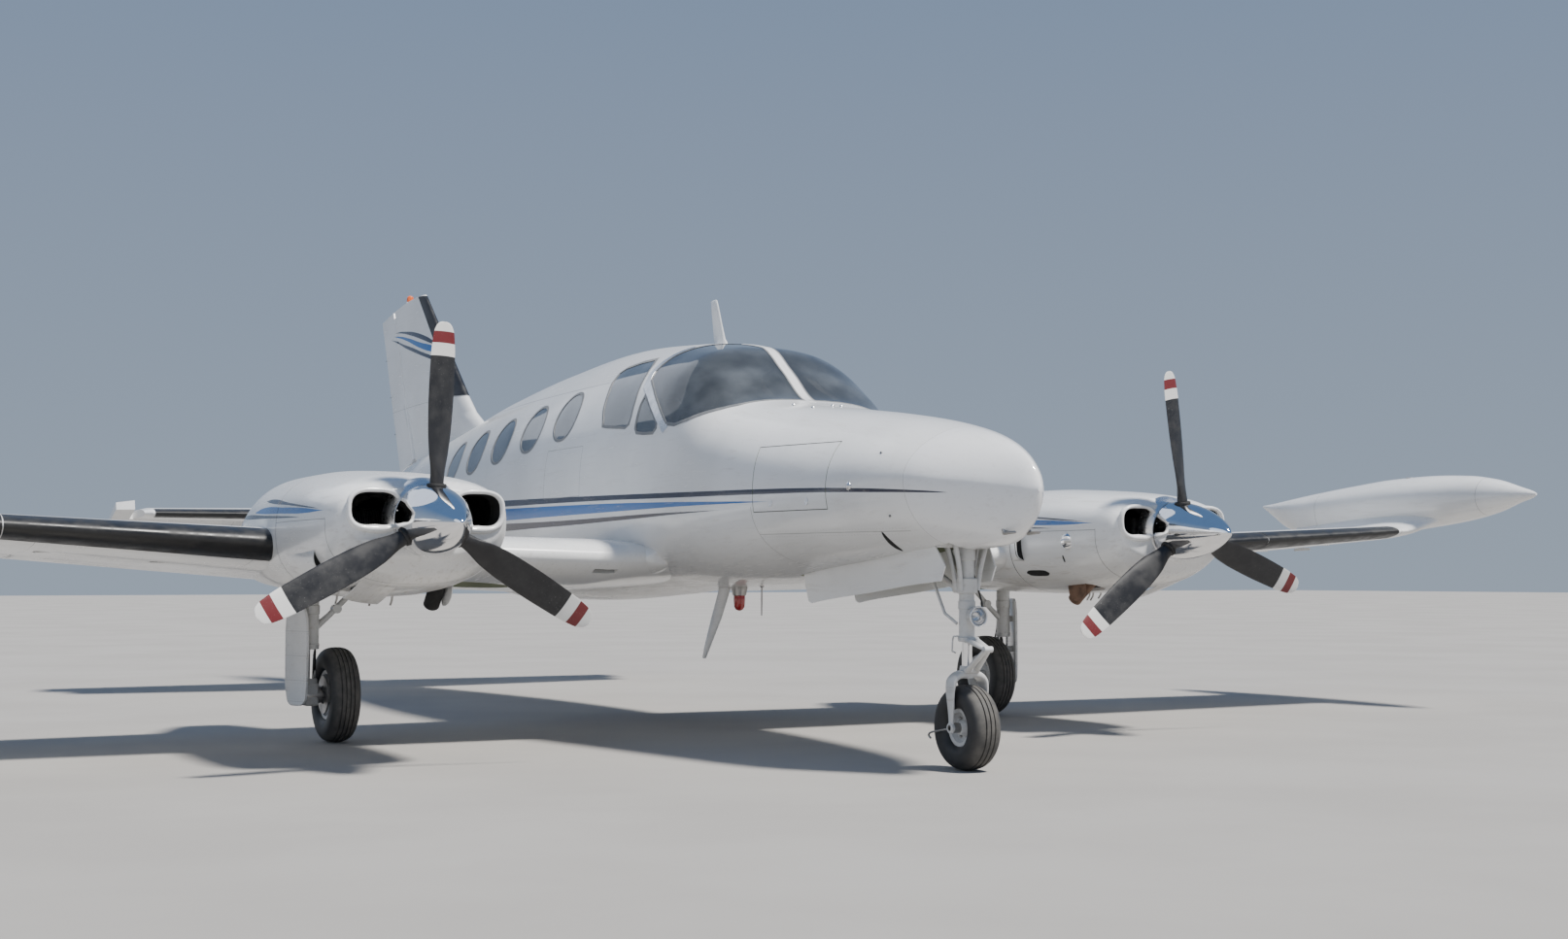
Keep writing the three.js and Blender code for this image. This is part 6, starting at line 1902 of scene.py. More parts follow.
    def root_fairing(self) -> None:
        """A rounded fairing where the wing's front meets the hull.

        Its section at each station is an oval about the wing's mean line. Its reach out of the
        hull swells with sqrt(sin) from its nose and fades into the wing behind.
        """
        t = np.linspace(0.0, 1.0, 48) ** 1.5
        y = -2.27 + 1.37 * t
        angle = np.linspace(0, 2 * math.pi, 56, endpoint=False)
        swell = np.sqrt(np.clip(np.sin(0.5 * math.pi * np.clip(t * 1.6 + 0.001, 0, 1)), 0, 1))
        reach = 0.035 + 0.215 * swell
        depth = 0.03 + 0.112 * swell
        middle = 1.064 - 0.05 * t
        x = 0.60 + reach[:, None] * np.cos(angle)
        z = middle[:, None] + depth[:, None] * np.sin(angle) * (1 - 0.10 * np.cos(angle))
        rings = np.stack([x, np.broadcast_to(y[:, None], x.shape), z], -1)
        fairing = closed_loft("fairing", rings)
        carve(fairing, FUSELAGE.solid("hull", -2.7, 0.2, -0.01, 0.05, 96))
        both(fairing, "root_fairing_{}", AIRFRAME, (PLAIN_PAINT,), degrees=50)

    def tip_tanks(self) -> None:
        """The tip tank on its canted fairing, with its filler cap and lamp."""
        tank = self.tank.solid("tank", -3.042, -0.275, 0.0, 0.03, 72)
        lead_y, lead_z, chord, drop, thick = (float(v) for v in self.shape.at(self.tip))
        t = np.linspace(0, 1, 14)[:, None]
        ease = t * t * (3 - 2 * t)
        inner = np.array([self.tip + 0.0004, lead_y, lead_z, chord, drop, thick * MM]) / MM
        outer = np.array([self.tank_x - 0.02, lead_y - 0.16, 1.4, chord + 0.42, 0.02,
                          0.12 * MM]) / MM
        row = inner + (outer - inner) * t
        row[:, 2] = inner[2] + (outer[2] - inner[2]) * (0.5 * t + 0.5 * ease)[:, 0]
        shape = WingShape(tuple(tuple(r) for r in row.tolist()))
        carve(tank, shape.solid("fairing", row[:, 0] * MM, points=34), Cut.JOIN)
        both(tank, "tip_tank_skin_{}", AIRFRAME, (TANK_PAINT,), "tip_tank_{}",
             degrees=40)
        top = float(self.tank.cap_z(-1.9, 0.0))
        cap = stepped_bar("cap", (self.tank_x, -1.9, top - 0.004), (self.tank_x, -1.9, top + 0.01),
                          [(0, 0.05), (0.006, 0.05), (0.008, 0.044), (0.009, 0.036),
                           (0.0095, 0.01)], 40)
        both(cap, "tank_cap_{}", AIRFRAME, (BARE_METAL,))
        for side, lens in ((Side.LEFT, RED_LENS), (Side.RIGHT, GREEN_LENS)):
            x = (self.tank_x + 0.118) * side.value
            lamp = bar(f"navigation_lamp_{side.word}",
                       [(x, -2.80, 1.53), (x + 0.006 * side.value, -2.76, 1.53),
                        (x + 0.016 * side.value, -2.69, 1.53),
                        (x + 0.012 * side.value, -2.64, 1.53)], [0.006, 0.017, 0.019, 0.006], 24,
                       (0, 0, 1))
            dress(lamp, AIRFRAME, (lens,))

    def brackets(self) -> None:
        """Hinge brackets and static wicks of the ailerons, and inspection covers below the wing."""
        line = self.lines()["aileron"]
        for k, share in enumerate((0.12, 0.5, 0.88)):
            p = line[0] + share * (line[1] - line[0])
            arm = prism("arm",
                        np.array([(p[1] - 0.16, p[2] - 0.052), (p[1] + 0.01, p[2] - 0.058),
                                  (p[1] + 0.016, p[2] - 0.043), (p[1] - 0.03, p[2] - 0.033),
                                  (p[1] - 0.15, p[2] - 0.035)]), Plane.SIDE, p[0] - 0.004,
                        p[0] + 0.004)
            both(arm, f"aileron_arm_{k}_{{}}", AIRFRAME, (PLAIN_PAINT,))
        for k, x in enumerate((4.5, 4.95, 5.4)):
            p = self.shape.point(x, 0.985)
            wick = bar("wick", [p, p + [0, 0.05, -0.004], p + [0, 0.11, -0.012]],
                       [0.0035, 0.003, 0.0015], 10, (1, 0, 0))
            both(wick, f"static_wick_{k}_{{}}", "{}_aileron", (HOSE,))
        for k, (x, share) in enumerate(((3.3, 0.42), (3.9, 0.42), (4.6, 0.42), (5.2, 0.42))):
            p = self.shape.point(x, share, -1)
            lid = stepped_bar("lid", p + [0, 0, 0.004], p - [0, 0, 0.0014],
                              [(0, 0.055), (0.0044, 0.055), (0.0054, 0.051)], 40)
            both(lid, f"inspection_lid_{k}_{{}}", AIRFRAME, (PLAIN_PAINT,))

    def build(self) -> None:
        """Builds both wings."""
        self.skins()
        self.boots()
        self.root_fairing()
        self.tip_tanks()
        self.brackets()


@dataclass
class Tail:
    """Tailplane with drooped elevators, and fin with rudder, their boots, beacon and fillets."""

    plane: WingShape = TAILPLANE
    elevator_x: tuple[float, float, float] = (0.29, 2.45, 2.59)
    hinge_end: float = 2.41
    hinge_yz: tuple[float, float] = (4.06, 1.447)
    droop: float = 17.0
    rudder_line: tuple[tuple[float, float], tuple[float, float]] = ((4.05, 1.975), (4.668, 3.3))
    rudder_nose: tuple[float, float] = (0.056, 0.04)
    heel_z: float = 1.884
    fin_rows: tuple[tuple[float, ...], ...] = ((1800, 2100, 4519, 70), (2170, 2340, 4674, 70),
                                               (2300, 2600, 4729, 80), (2444, 2790, 4790, 90),
                                               (3450, 3918, 5199, 85))

    def tail_solid(self, name: str, tip: float) -> Piece:
        """The left half of the tailplane out to a tip."""
        rows = [*self.plane.rows_mm[:-1], (tip / MM, *self.plane.rows_mm[-1][1:])]
        return WingShape(tuple(rows)).solid(name,
                                            np.unique([*np.linspace(-0.02, 2.38, 40), 2.4, 2.42,
                                                       tip]), points=34)

    def nose_radius(self, x: float) -> float:
        """Half the tailplane's thickness on the elevator's hinge line."""
        lead_y, _, chord, _, thick = self.plane.at(x)
        return float(thick * chord * half_thickness(np.array((self.hinge_yz[0] - lead_y) / chord)))

    def tailplane(self) -> None:
        """The fixed tailplane in one piece, and both elevators, turned down as parked."""
        x0, x1, x2 = self.elevator_x
        y, z = self.hinge_yz
        nose = [self.nose_radius(x0), self.nose_radius(self.hinge_end)]
        half = self.tail_solid("tailplane_skin", 2.432)
        cut = np.array([(x0 - 0.008, y - nose[0] - 0.008), (3.0, y - nose[1] - 0.008), (3.0, 5.6),
                        (x0 - 0.008, 5.6)])
        carve(half, prism("cut", cut, Plane.PLAN, 1.0, 2.0))
        carve(half, mirrored(half, "other_half"), Cut.JOIN)
        dress(half, AIRFRAME, (TAIL_PAINT,), ("tailplane",))
        region = np.array([(x0, y), (self.hinge_end, y), (x1, y), (x1, y - 0.25), (x2, y - 0.215),
                           (x2, 5.6), (x0, 5.6)])
        elevator = self.tail_solid("elevator", x2)
        carve(elevator, prism("strip", region, Plane.PLAN, 1.0, 2.0), Cut.KEEP)
        start, end = (x0, y, z), (self.hinge_end, y, z)
        carve(elevator, stepped_bar("nose", start, end, [(0, nose[0]), (end[0] - x0, nose[1])], 40),
              Cut.JOIN)
        spun(elevator, start, end, -self.droop)
        elevator.name = "elevator_skin_left"
        other = mirrored(elevator, "elevator_skin_right")
        for side, piece in ((Side.LEFT, elevator), (Side.RIGHT, other)):
            dress(piece, "elevator", (TAIL_PAINT,), (f"elevator_{side.word}",))

    def fin_half(self, z: np.ndarray) -> tuple[np.ndarray, ...]:
        """The fin's leading edge, trailing edge and thickness at heights."""
        rows = np.array(self.fin_rows, float) * MM
        return tuple(np.interp(z, rows[:, 0], rows[:, k]) for k in range(1, 4))

    def fin_surface(self, z: np.ndarray, share: np.ndarray, grow: float = 0.0) -> np.ndarray:
        """Points of the fin's skin at heights and signed chord shares, left side positive."""
        lead, trail, thick = (v[:, None] for v in self.fin_half(z))
        s, side = np.abs(share)[None], np.where(np.signbit(share), -1.0, 1.0)[None]
        chord = trail - lead
        x = side * np.maximum(thick * chord * half_thickness(s) + grow,
                              0.002 * np.minimum(s * 400, 1))
        y = lead - grow + (chord + 2 * grow) * s
        return np.stack([x, y, np.broadcast_to(z[:, None], y.shape)], -1)

    def fin_solid(self, name: str) -> Piece:
        """The whole fin and rudder, trimmed to their top and to the tail cone."""
        s = np.linspace(0, 1, 34) ** 1.8
        z = np.unique(np.concatenate([np.linspace(1.8, 3.45, 50), [2.17, 2.3, 2.444]]))
        whole = closed_loft(name, self.fin_surface(z, np.concatenate([s[::-1], -s[1:]])))
        top = np.array([(1.9, 1.7), (5.6, 1.7), (5.6, 3.276), (3.8, 3.44), (1.9, 3.44)])
        return carve(whole, prism("top", top, Plane.SIDE, -0.3, 0.3), Cut.KEEP)

    def fin_and_rudder(self) -> None:
        """Cuts fin and rudder along the raked hinge, and rounds the rudder's nose."""
        (y0, z0), (y1, z1) = self.rudder_line
        slope = (y1 - y0) / (z1 - z0)

        def at(z: float) -> float:
            """The hinge's station at a height."""
            return y0 + slope * (z - z0)

        back = [(radius + 0.008) * math.hypot(1, slope) for radius in self.rudder_nose]
        fin = self.fin_solid("fin_skin")
        rear = np.array([(at(1.7) - back[0], 1.7), (at(z0) - back[0], z0), (at(3.6) - back[1], 3.6),
                         (5.6, 3.6), (5.6, 1.7)])
        carve(fin, prism("rear", rear, Plane.SIDE, -0.3, 0.3))
        carve(fin, FUSELAGE.solid("hull", 1.5, 4.54, -0.01, 0.06, 96))
        dress(fin, AIRFRAME, (TAIL_PAINT,), ("fin",))
        behind = np.array([(at(z0), z0), (at(3.6), 3.6), (5.6, 3.6), (5.6, self.heel_z - 0.06),
                           (4.56, self.heel_z)])
        rudder = self.fin_solid("rudder_skin")
        carve(rudder, prism("behind", behind, Plane.SIDE, -0.3, 0.3), Cut.KEEP)
        carve(rudder, FUSELAGE.solid("hull", 1.5, 4.54, 0.006, 0.06, 96))
        length = math.dist((y0, z0), (y1, z1))
        nose = stepped_bar("nose", (0, y0, z0), (0, y1, z1),
                           [(0, self.rudder_nose[0]), (length, self.rudder_nose[1])], 40)
        carve(rudder, nose, Cut.JOIN)
        unit = math.hypot(1, slope)
        foot = stepped_bar("foot", (0, y0 - 0.02 * slope / unit, z0 - 0.02 / unit), (0, y0, z0),
                           [(0, 0.009), (0.03, 0.009)], 24)
        carve(rudder, foot, Cut.JOIN)
        dress(rudder, "rudder", (TAIL_PAINT,), ("rudder",))

    def dressing(self) -> None:
        """Boots, beacon and static wicks."""
        s = np.linspace(0, 1, 13)
        shares = np.concatenate([(0.075 * s**1.6)[::-1], -(0.075 * s[1:]**1.6)])
        z = np.linspace(2.455, 3.42, 24)
        boot = thick_sheet("fin_boot", self.fin_surface(z, shares, 0.0022),
                           self.fin_surface(z, shares, -0.001))
        dress(boot, AIRFRAME, (BOOT,), degrees=50)
        shares = np.concatenate([(0.085 * s**1.6)[::-1], -(0.08 * s[1:]**1.6)])
        left = shell_plate("tail_boot_left", self.plane, np.linspace(0.42, 2.36, 24), shares,
                           0.0022)
        for piece in (left, mirrored(left, "tail_boot_right")):
            dress(piece, AIRFRAME, (BOOT,), degrees=50)
        base = stepped_bar("fin_beacon_base", (0, 4.33, 3.29), (0, 4.33, 3.42),
                           [(0, 0.03), (0.09, 0.034), (0.12, 0.036), (0.13, 0.03)], 40)
        dress(base, AIRFRAME, (PLAIN_PAINT,))
        lens = stepped_bar("fin_beacon_lens", (0, 4.33, 3.418), (0, 4.33, 3.478),
                           [(0, 0.031), (0.03, 0.031), (0.047, 0.026), (0.056, 0.016),
                            (0.06, 0.004)], 40)
        dress(lens, AIRFRAME, (ORANGE_LENS,))
        for k, z_at in enumerate((2.25, 2.6, 2.95)):
            trail = float(self.fin_half(np.array([z_at]))[1][0])
            wick = bar(f"rudder_wick_{k}",
                       [(0, trail - 0.01, z_at), (0, trail + 0.02, z_at),
                        (0, trail + 0.035, z_at - 0.004)], [0.0035, 0.003, 0.0015], 10, (1, 0, 0))
            dress(wick, "rudder", (HOSE,))

    def fillet(self) -> None:
        """A rounded dorsal fillet from the roof up into the fin's leading edge."""
        t = np.linspace(0.0, 1.0, 30)
        y = 1.75 + 1.15 * t
        crown = FUSELAGE.cap_z(y, 0.0)
        lead = np.interp(y, [1.75, 2.1, 2.34, 2.6, 2.9], [0.0, 0.0, 0.06, 0.21, 0.36])
        across = np.linspace(-1, 1, 33)
        width = 0.03 + 0.10 * t
        x = width[:, None] * across
        foot = FUSELAGE.cap_z(y[:, None] * np.ones_like(x), x) - 0.004
        rise = (crown[:, None] - foot) + lead[:, None] * np.exp(-((across[None] * 3.0) ** 2)) * 0.55
        outer = np.stack([x, y[:, None] * np.ones_like(x),
                          foot + rise * (1 - np.abs(across[None]) ** 3)], -1)
        inner = np.stack([x, y[:, None] * np.ones_like(x), foot - 0.01], -1)
        dress(thick_sheet("dorsal_fillet", outer, inner), AIRFRAME, (PLAIN_PAINT,),
              degrees=60)

    def build(self) -> None:
        """Builds the tail."""
        self.tailplane()
        self.fin_and_rudder()
        self.dressing()
        self.fillet()


@dataclass
class Nacelles:
    """Both engine nacelles: cowling with inlets, engine, exhaust, rear body and locker lid."""

    shape: BodyShape = BodyShape((
        (-3280, 1394, 1040, 398, 1240, 2.7, 2.5), (-3215, 1432, 958, 440, 1232, 2.7, 2.5),
        (-3040, 1466, 893, 474, 1222, 2.7, 2.5), (-2650, 1500, 850, 488, 1210, 2.7, 2.5),
        (-2260, 1518, 842, 486, 1200, 2.6, 2.5), (-1700, 1520, 850, 468, 1190, 2.5, 2.4),
        (-950, 1420, 878, 378, 1132, 2.35, 2.3), (-600, 1300, 897, 292, 1082, 2.2, 2.2),
        (-260, 1130, 940, 170, 1035, 2.0, 2.0)), ENGINE_X)
    front: float = -3.28
    split: float = -2.26
    prop_at: tuple[float, float] = PROPELLER_AT[1:]
    tilt: float = PROPELLER_TILT
    inlet: tuple[float, float, float, float] = (0.262, 1.280, 0.127, 0.092)
    locker: tuple[float, float, float] = (-1.66, -0.99, 0.215)
    gap: float = 0.006

    def thrust(self, distance: float) -> np.ndarray:
        """A point on the left engine's thrust line, at a distance behind the blades."""
        turn = math.radians(self.tilt)
        return np.array([self.shape.centre, self.prop_at[0] + distance * math.cos(turn),
                         self.prop_at[1] + distance * math.sin(turn)])

    def cowl(self) -> None:
        """The cowling with a rounded face, its inlets with thick lips and near-black ducts behind
        them as painted shade, and the shaft's collar.
        """
        x = self.shape.centre
        y = np.concatenate([np.linspace(self.front, -3.0, 24),
                            np.linspace(-2.97, self.split - self.gap, 26)])
        angle = 2 * math.pi * (np.arange(128) + 0.5) / 128
        rings = self.shape.surface(y, angle)
        middle = np.array([x, self.front, 1.225])
        face = []
        for scale, push in ((0.80, 0.016), (0.88, 0.0145), (0.94, 0.011), (0.975, 0.006)):
            ring = middle + (rings[0] - middle) * scale
            ring[:, 1] = self.front - push
            face.append(ring)
        cowl = closed_loft("cowl", np.concatenate([np.array(face), rings]))
        carve(cowl,
              self.shape.solid("inside", self.front + 0.02, self.split + 0.05, -0.02, 0.04, 96))
        across, z, half, high = self.inlet
        for k, way in enumerate((-1, 1)):
            hole = oval((x + way * across, z), (half, high), 64, 2.9)
            carve(cowl, prism("hole", hole, Plane.FRONT, self.front - 0.08, self.front + 0.19))
            b = np.linspace(0, 2 * math.pi, 20, endpoint=False)
            out = hole - (x + way * across, z)
            out /= np.linalg.norm(out, axis=1, keepdims=True)
            fat = (0.013 + 0.010 * np.clip(-out[:, 1], 0, 1) ** 2)[:, None]
            wide = fat * np.cos(b)
            lip = np.stack([hole[:, :1] + out[:, :1] * (wide + 0.004),
                            self.front - 0.005 + 1.5 * fat * np.sin(b),
                            hole[:, 1:] + out[:, 1:] * (wide + 0.004)], -1)
            both(ring_tube("lip", lip), f"inlet_lip_{k}_{{}}", AIRFRAME, (PLAIN_PAINT,),
                 degrees=60)
            # Each inlet's short duct is near-black, as painted shade inside it.
            throat = np.stack(self.throat(hole))
            duct = thick_sheet("duct", throat, throat + self.duct_wall(hole, throat))
            both(duct, f"inlet_duct_{k}_{{}}", AIRFRAME, (BLACK_AND_SHADE,), degrees=60)
        carve(cowl,
              stepped_bar("shaft", self.thrust(0.05), self.thrust(0.2), [(0, 0.1), (0.15, 0.1)],
                          64))
        slot = prism("slot",
                     rounded(np.array([(x + 0.09, -3.05), (x + 0.255, -3.05), (x + 0.255, -2.78),
                                       (x + 0.09, -2.78)])), Plane.PLAN, 0.8, 0.96)
        carve(cowl, slot)
        mouth = prism("mouth",
                      rounded(np.array([(x - 0.30, -2.86), (x - 0.15, -2.86), (x - 0.15, -2.60),
                                        (x - 0.30, -2.60)])), Plane.PLAN, 0.78, 0.96)
        carve(cowl, mouth)

        def choose(centres: np.ndarray, normals: np.ndarray) -> np.ndarray:
            """Paint outside, the dark engine iron finish inside."""
            skin = self.shape.on_skin(np.abs(centres) * (1, -1, 1),
                                      0.93) | (centres[:, 1] < self.front + 0.004)
            return np.where(skin, 0, 1)

        both(cowl, "cowl_skin_{}", AIRFRAME, (NACELLE_PAINT, IRON), "cowl_{}", choose,
             40)
        collar = stepped_bar("collar", self.thrust(0.093), self.thrust(0.193),
                             [(0, 0.172), (0.002, 0.177), (0.02, 0.186), (0.035, 0.195),
                              (0.06, 0.204), (0.1, 0.209)], 72)
        carve(collar,
              stepped_bar("bore", self.thrust(0.08), self.thrust(0.21), [(0, 0.112), (0.13, 0.112)],
                          48))
        both(collar, "spinner_collar_{}", AIRFRAME, (BARE_METAL,))

    def throat(self, hole: np.ndarray) -> list[np.ndarray]:
        """Rings of an inlet's short duct, narrowing behind its lip."""
        centre = hole.mean(0)
        rings = []
        for depth, scale in ((0.005, 0.995), (0.04, 0.97), (0.085, 0.93), (0.12, 0.90)):
            flat = centre + (hole - centre) * scale
            ring = np.stack([flat[:, 0], np.full(len(flat), self.front + depth), flat[:, 1]], -1)
            rings.append(np.concatenate([ring, ring[:1]]))
        return rings

    @staticmethod
    def duct_wall(hole: np.ndarray, throat: np.ndarray) -> np.ndarray:
        """Offsets of 2 mm outwards from a duct's rings."""
        centre = hole.mean(0)
        away = throat[..., [0, 2]] - centre
        away /= np.linalg.norm(away, axis=-1, keepdims=True)
        return np.stack([away[..., 0], np.zeros(away.shape[:2]), away[..., 1]], -1) * 0.002

    def underside(self) -> None:
        """Exhaust stub, cooling flap, outboard scoop and drain pipes below the cowling."""
        x = self.shape.centre
        line = np.linspace(0, 1, 12)[:, None]
        path = np.array([x - 0.235, -2.80, 0.94]) + line * np.array([-0.012, 0.15, -0.135]) + \
            np.sin(line * math.pi / 2) ** 2 * np.array([0, 0.02, 0.0])
        pipe = bar("pipe", path, 0.043, 40, (1, 0, 0))
        inner = bar("bore", path + [0, 0.006, -0.006], 0.0395, 40, (1, 0, 0))
        carve(pipe, inner)
        stubs = {Side.LEFT: pipe, Side.RIGHT: mirrored(pipe, "exhaust_stub_right")}
        t = np.linspace(0, 1, 24)
        s = np.linspace(0, 1, 9)
        fy = -2.815 + 0.18 * t[:, None] + 0 * s
        fx = x - 0.300 + 0.012 * np.sin(math.pi * t)[:, None] + 0 * s
        deep = 0.022 + 0.092 * np.clip(1 - np.abs(2 * t - 1) ** 2.6, 0, 1) ** 0.5
        fz = self.shape.cap_z(fy, 0.29, above=False) + 0.016 - deep[:, None] * s
        cheek = np.stack([fx, fy, fz], -1)
        left = thick_sheet("exhaust_fairing_left", cheek, cheek + [0.004, 0, 0])
        cheeks = {Side.LEFT: left, Side.RIGHT: mirrored(left, "exhaust_fairing_right")}
        pipe.name = "exhaust_stub_left"
        # The left stub is rust; the right stub takes the same near-black as the shade sheets.
        for side, stub_finish, plate in ((Side.LEFT, RUST, RUST), (Side.RIGHT, BLACK_AND_SHADE, PLAIN_PAINT)):
            dress(stubs[side], AIRFRAME, (stub_finish,), degrees=50)
            dress(cheeks[side], AIRFRAME, (plate,))
        fy = np.linspace(-3.06, -2.75, 16)
        fx = np.linspace(x + 0.082, x + 0.262, 14)
        grid_y, grid_x = np.meshgrid(fy, fx, indexing="ij")
        skin = self.shape.cap_z(grid_y, grid_x - x, above=False)
        drop_by = np.clip((grid_y + 3.06) / 0.31, 0, 1) * 0.05
        flap = np.stack([grid_x, grid_y, skin - drop_by + 0.002], -1)
        both(thick_sheet("flap", flap, flap + [0, 0, 0.004]), "cooling_flap_{}", AIRFRAME,
             (NACELLE_PAINT,))
        self.side_scoop()
        for k, (dx, y) in enumerate(((-0.06, -2.55), (0.03, -2.47), (0.18, -2.36))):
            z = float(self.shape.cap_z(y, dx, above=False))
            drain = bar("drain",
                        [(x + dx, y, z + 0.02), (x + dx, y + 0.01, z - 0.02),
                         (x + dx, y + 0.035, z - 0.045)], 0.006, 14, (1, 0, 0))
            both(drain, f"drain_pipe_{k}_{{}}", AIRFRAME, (STEEL,))

    def side_scoop(self) -> None:
        """A raised scoop low on the outboard side, open in front, with a near-black sheet across
        its mouth as painted shade.
        """
        y = np.linspace(-2.93, -2.42, 26)
        angle = np.radians(np.linspace(-18, -58, 22))
        skin = self.shape.surface(y, angle)
        across = np.linspace(-1, 1, 22)
        t = (y - y[0]) / (y[-1] - y[0])
        rise = (0.034 * (1 - t) ** 0.8 + 0.0015)[:, None] * np.clip(1 - np.abs(across) ** 2.6, 0,
                                                                    1)[None]
        away = skin - np.array([self.shape.centre, 0, 1.2])
        away[..., 1] = 0
        away /= np.linalg.norm(away, axis=-1, keepdims=True)
        outer = skin + away * (rise[..., None] + 0.0006)
        inner = skin + away * (np.maximum(rise - 0.004, -0.006)[..., None])
        both(thick_sheet("scoop", outer, inner), "side_scoop_{}", AIRFRAME,
             (NACELLE_PAINT,), degrees=50)
        # The mouth is a near-black sheet: painted shade inside the scoop.
        mouth = outer[0][None] * np.ones((2, 1, 1))
        mouth[1] = skin[0]
        mouth[:, :, 1] += 0.010
        both(thick_sheet("mouth", mouth, mouth + [0, 0.004, 0]), "side_scoop_mouth_{}", AIRFRAME,
             (BLACK_AND_SHADE,))

    def engine(self) -> None:
        """Crankcase, six finned cylinders, intake tubes and the four mounts."""
        x = self.shape.centre
        case = block("case", (x - 0.12, -3.06, 1.09), (x + 0.12, -2.3, 1.33))
        soften(case, 0.03, 3)
        both(case, "engine_case_{}", AIRFRAME, (IRON,), "engine_{}")
        shaft = stepped_bar("shaft", self.thrust(0.42), self.thrust(0.0885),
                            [(0, 0.09), (0.15, 0.085), (0.2, 0.07), (0.3315, 0.07)], 40)
        both(shaft, "engine_shaft_{}", AIRFRAME, (STEEL,))
        for way in (-1, 1):
            word = "inner" if way < 0 else "outer"
            parts = []
            for y in (-2.93, -2.69, -2.45):
                steps = [(0.0, 0.06)]
                for fin in range(14):
                    at = 0.02 + fin * 0.0125
                    steps += [(at, 0.066), (at + 0.0005, 0.094), (at + 0.005, 0.094),
                              (at + 0.0055, 0.066)]
                steps += [(0.2, 0.07), (0.215, 0.05)]
                parts.append(stepped_bar("barrel", (x + way * 0.11, y, 1.21),
                                         (x + way * 0.34, y, 1.21), steps, 28))
                parts.append(bar("intake",
                                 [(x + way * 0.05, y + 0.05, 1.34),
                                  (x + way * 0.16, y + 0.05, 1.37),
                                  (x + way * 0.25, y + 0.03, 1.33), (x + way * 0.27, y, 1.28)],
                                 0.021, 14, (0, 1, 0)))
            both(joined("barrels", parts), f"cylinders_{word}_{{}}", AIRFRAME, (IRON,))
        mounts = [bar("m",
                      [(x + way * 0.11, -2.36, z), (x + way * 0.21, -2.3, z),
                       (x + way * 0.21, -2.263, z)], 0.016, 14, (0, 0, 1)) for way in (-1, 1) for z
                  in (1.12, 1.30)]
        both(joined("mounts", mounts), "engine_mounts_{}", AIRFRAME, (STEEL,))
        # A baffle plate behind the inlets, near-black as painted shade inside the cowling.
        plate = oval((x, 1.25), (0.42, 0.17), 48, 2.8)
        baffle = prism("baffle", plate, Plane.FRONT, -2.80, -2.797)
        both(baffle, "engine_baffle_{}", AIRFRAME, (BLACK_AND_SHADE,))

    def rear_body(self) -> None:
        """The part behind the firewall with its rounded end, and its locker lid with latches."""
        x = self.shape.centre
        front, rear, half = self.locker
        edge_x = half - self.gap
        ends = [(front, float(self.shape.cap_z(front, edge_x))),
                (rear, float(self.shape.cap_z(rear, edge_x)))]
        slope = (ends[1][1] - ends[0][1]) / (rear - front)

        def lid_tool(gap: float) -> Piece:
            """The tool that cuts the lid, with its two ends square to the skin."""
            rows = [(at + way * gap - (z - edge_z) * slope, z) for (at, edge_z), way,
                    z
                    in ((ends[0], 1, 1.15), (ends[1], -1, 1.15), (ends[1], -1, 1.70),
                        (ends[0], 1, 1.70))]
            return prism("lid", np.array(rows), Plane.SIDE, x - half + gap, x + half - gap)

        body = self.shape.solid("body", self.split, -0.26, 0.0, 0.03, 112)
        inside = self.shape.solid("inside", self.split + 0.024, -0.52, -0.024, 0.05, 96)
        carve(body, inside)
        lid = copy_of(body, "lid")
        carve(lid, lid_tool(self.gap), Cut.KEEP)
        carve(body, lid_tool(0.0))
        spans = np.linspace(1.6, 3.2, 24)
        carve(body, WING.solid("wing", spans, 0.0, 40))
        carve(body, block("slot", (1.498, AXLE_Y - 0.087, 0.5), (2.52, AXLE_Y + 0.087, 1.037)))

        def choose(centres: np.ndarray, normals: np.ndarray) -> np.ndarray:
            """Paint outside, primer inside."""
            skin = self.shape.on_skin(np.abs(centres) * (1, -1, 1), 0.95)
            return np.where(skin | (centres[:, 1] > -0.3) | (centres[:, 1] < -2.258), 0, 1)

        both(body, "nacelle_body_{}", AIRFRAME, (NACELLE_PAINT, PRIMER), "nacelle_{}",
             choose, 40)
        both(lid, "locker_lid_skin_{}", "{}_locker_lid", (PLAIN_PAINT, PRIMER),
             "locker_lid_{}", choose)
        for k, at in enumerate((-1.5, -1.15)):
            across = -0.19
            z = float(self.shape.cap_z(at, across))
            latch = stepped_bar("latch", (x + across, at, z - 0.004),
                                (x + across - 0.003, at, z + 0.003),
                                [(0, 0.02), (0.005, 0.02), (0.0065, 0.017), (0.007, 0.004)], 28)
            both(latch, f"locker_latch_{k}_{{}}", "{}_locker_lid", (BARE_METAL,))
        tail = self.shape.surface(np.array([-0.26]),
                                  np.linspace(0, 2 * math.pi, 64, endpoint=False) + 0.05)[0]
        centre = tail.mean(0)
        rings = np.stack([centre + (tail - centre) * k + [0, push, 0] for k,
                          push in ((1.0, -0.002), (0.97, 0.006), (0.85, 0.012), (0.5, 0.016))])
        both(closed_loft("end", rings), "nacelle_end_{}", AIRFRAME, (PLAIN_PAINT,),
             degrees=60)

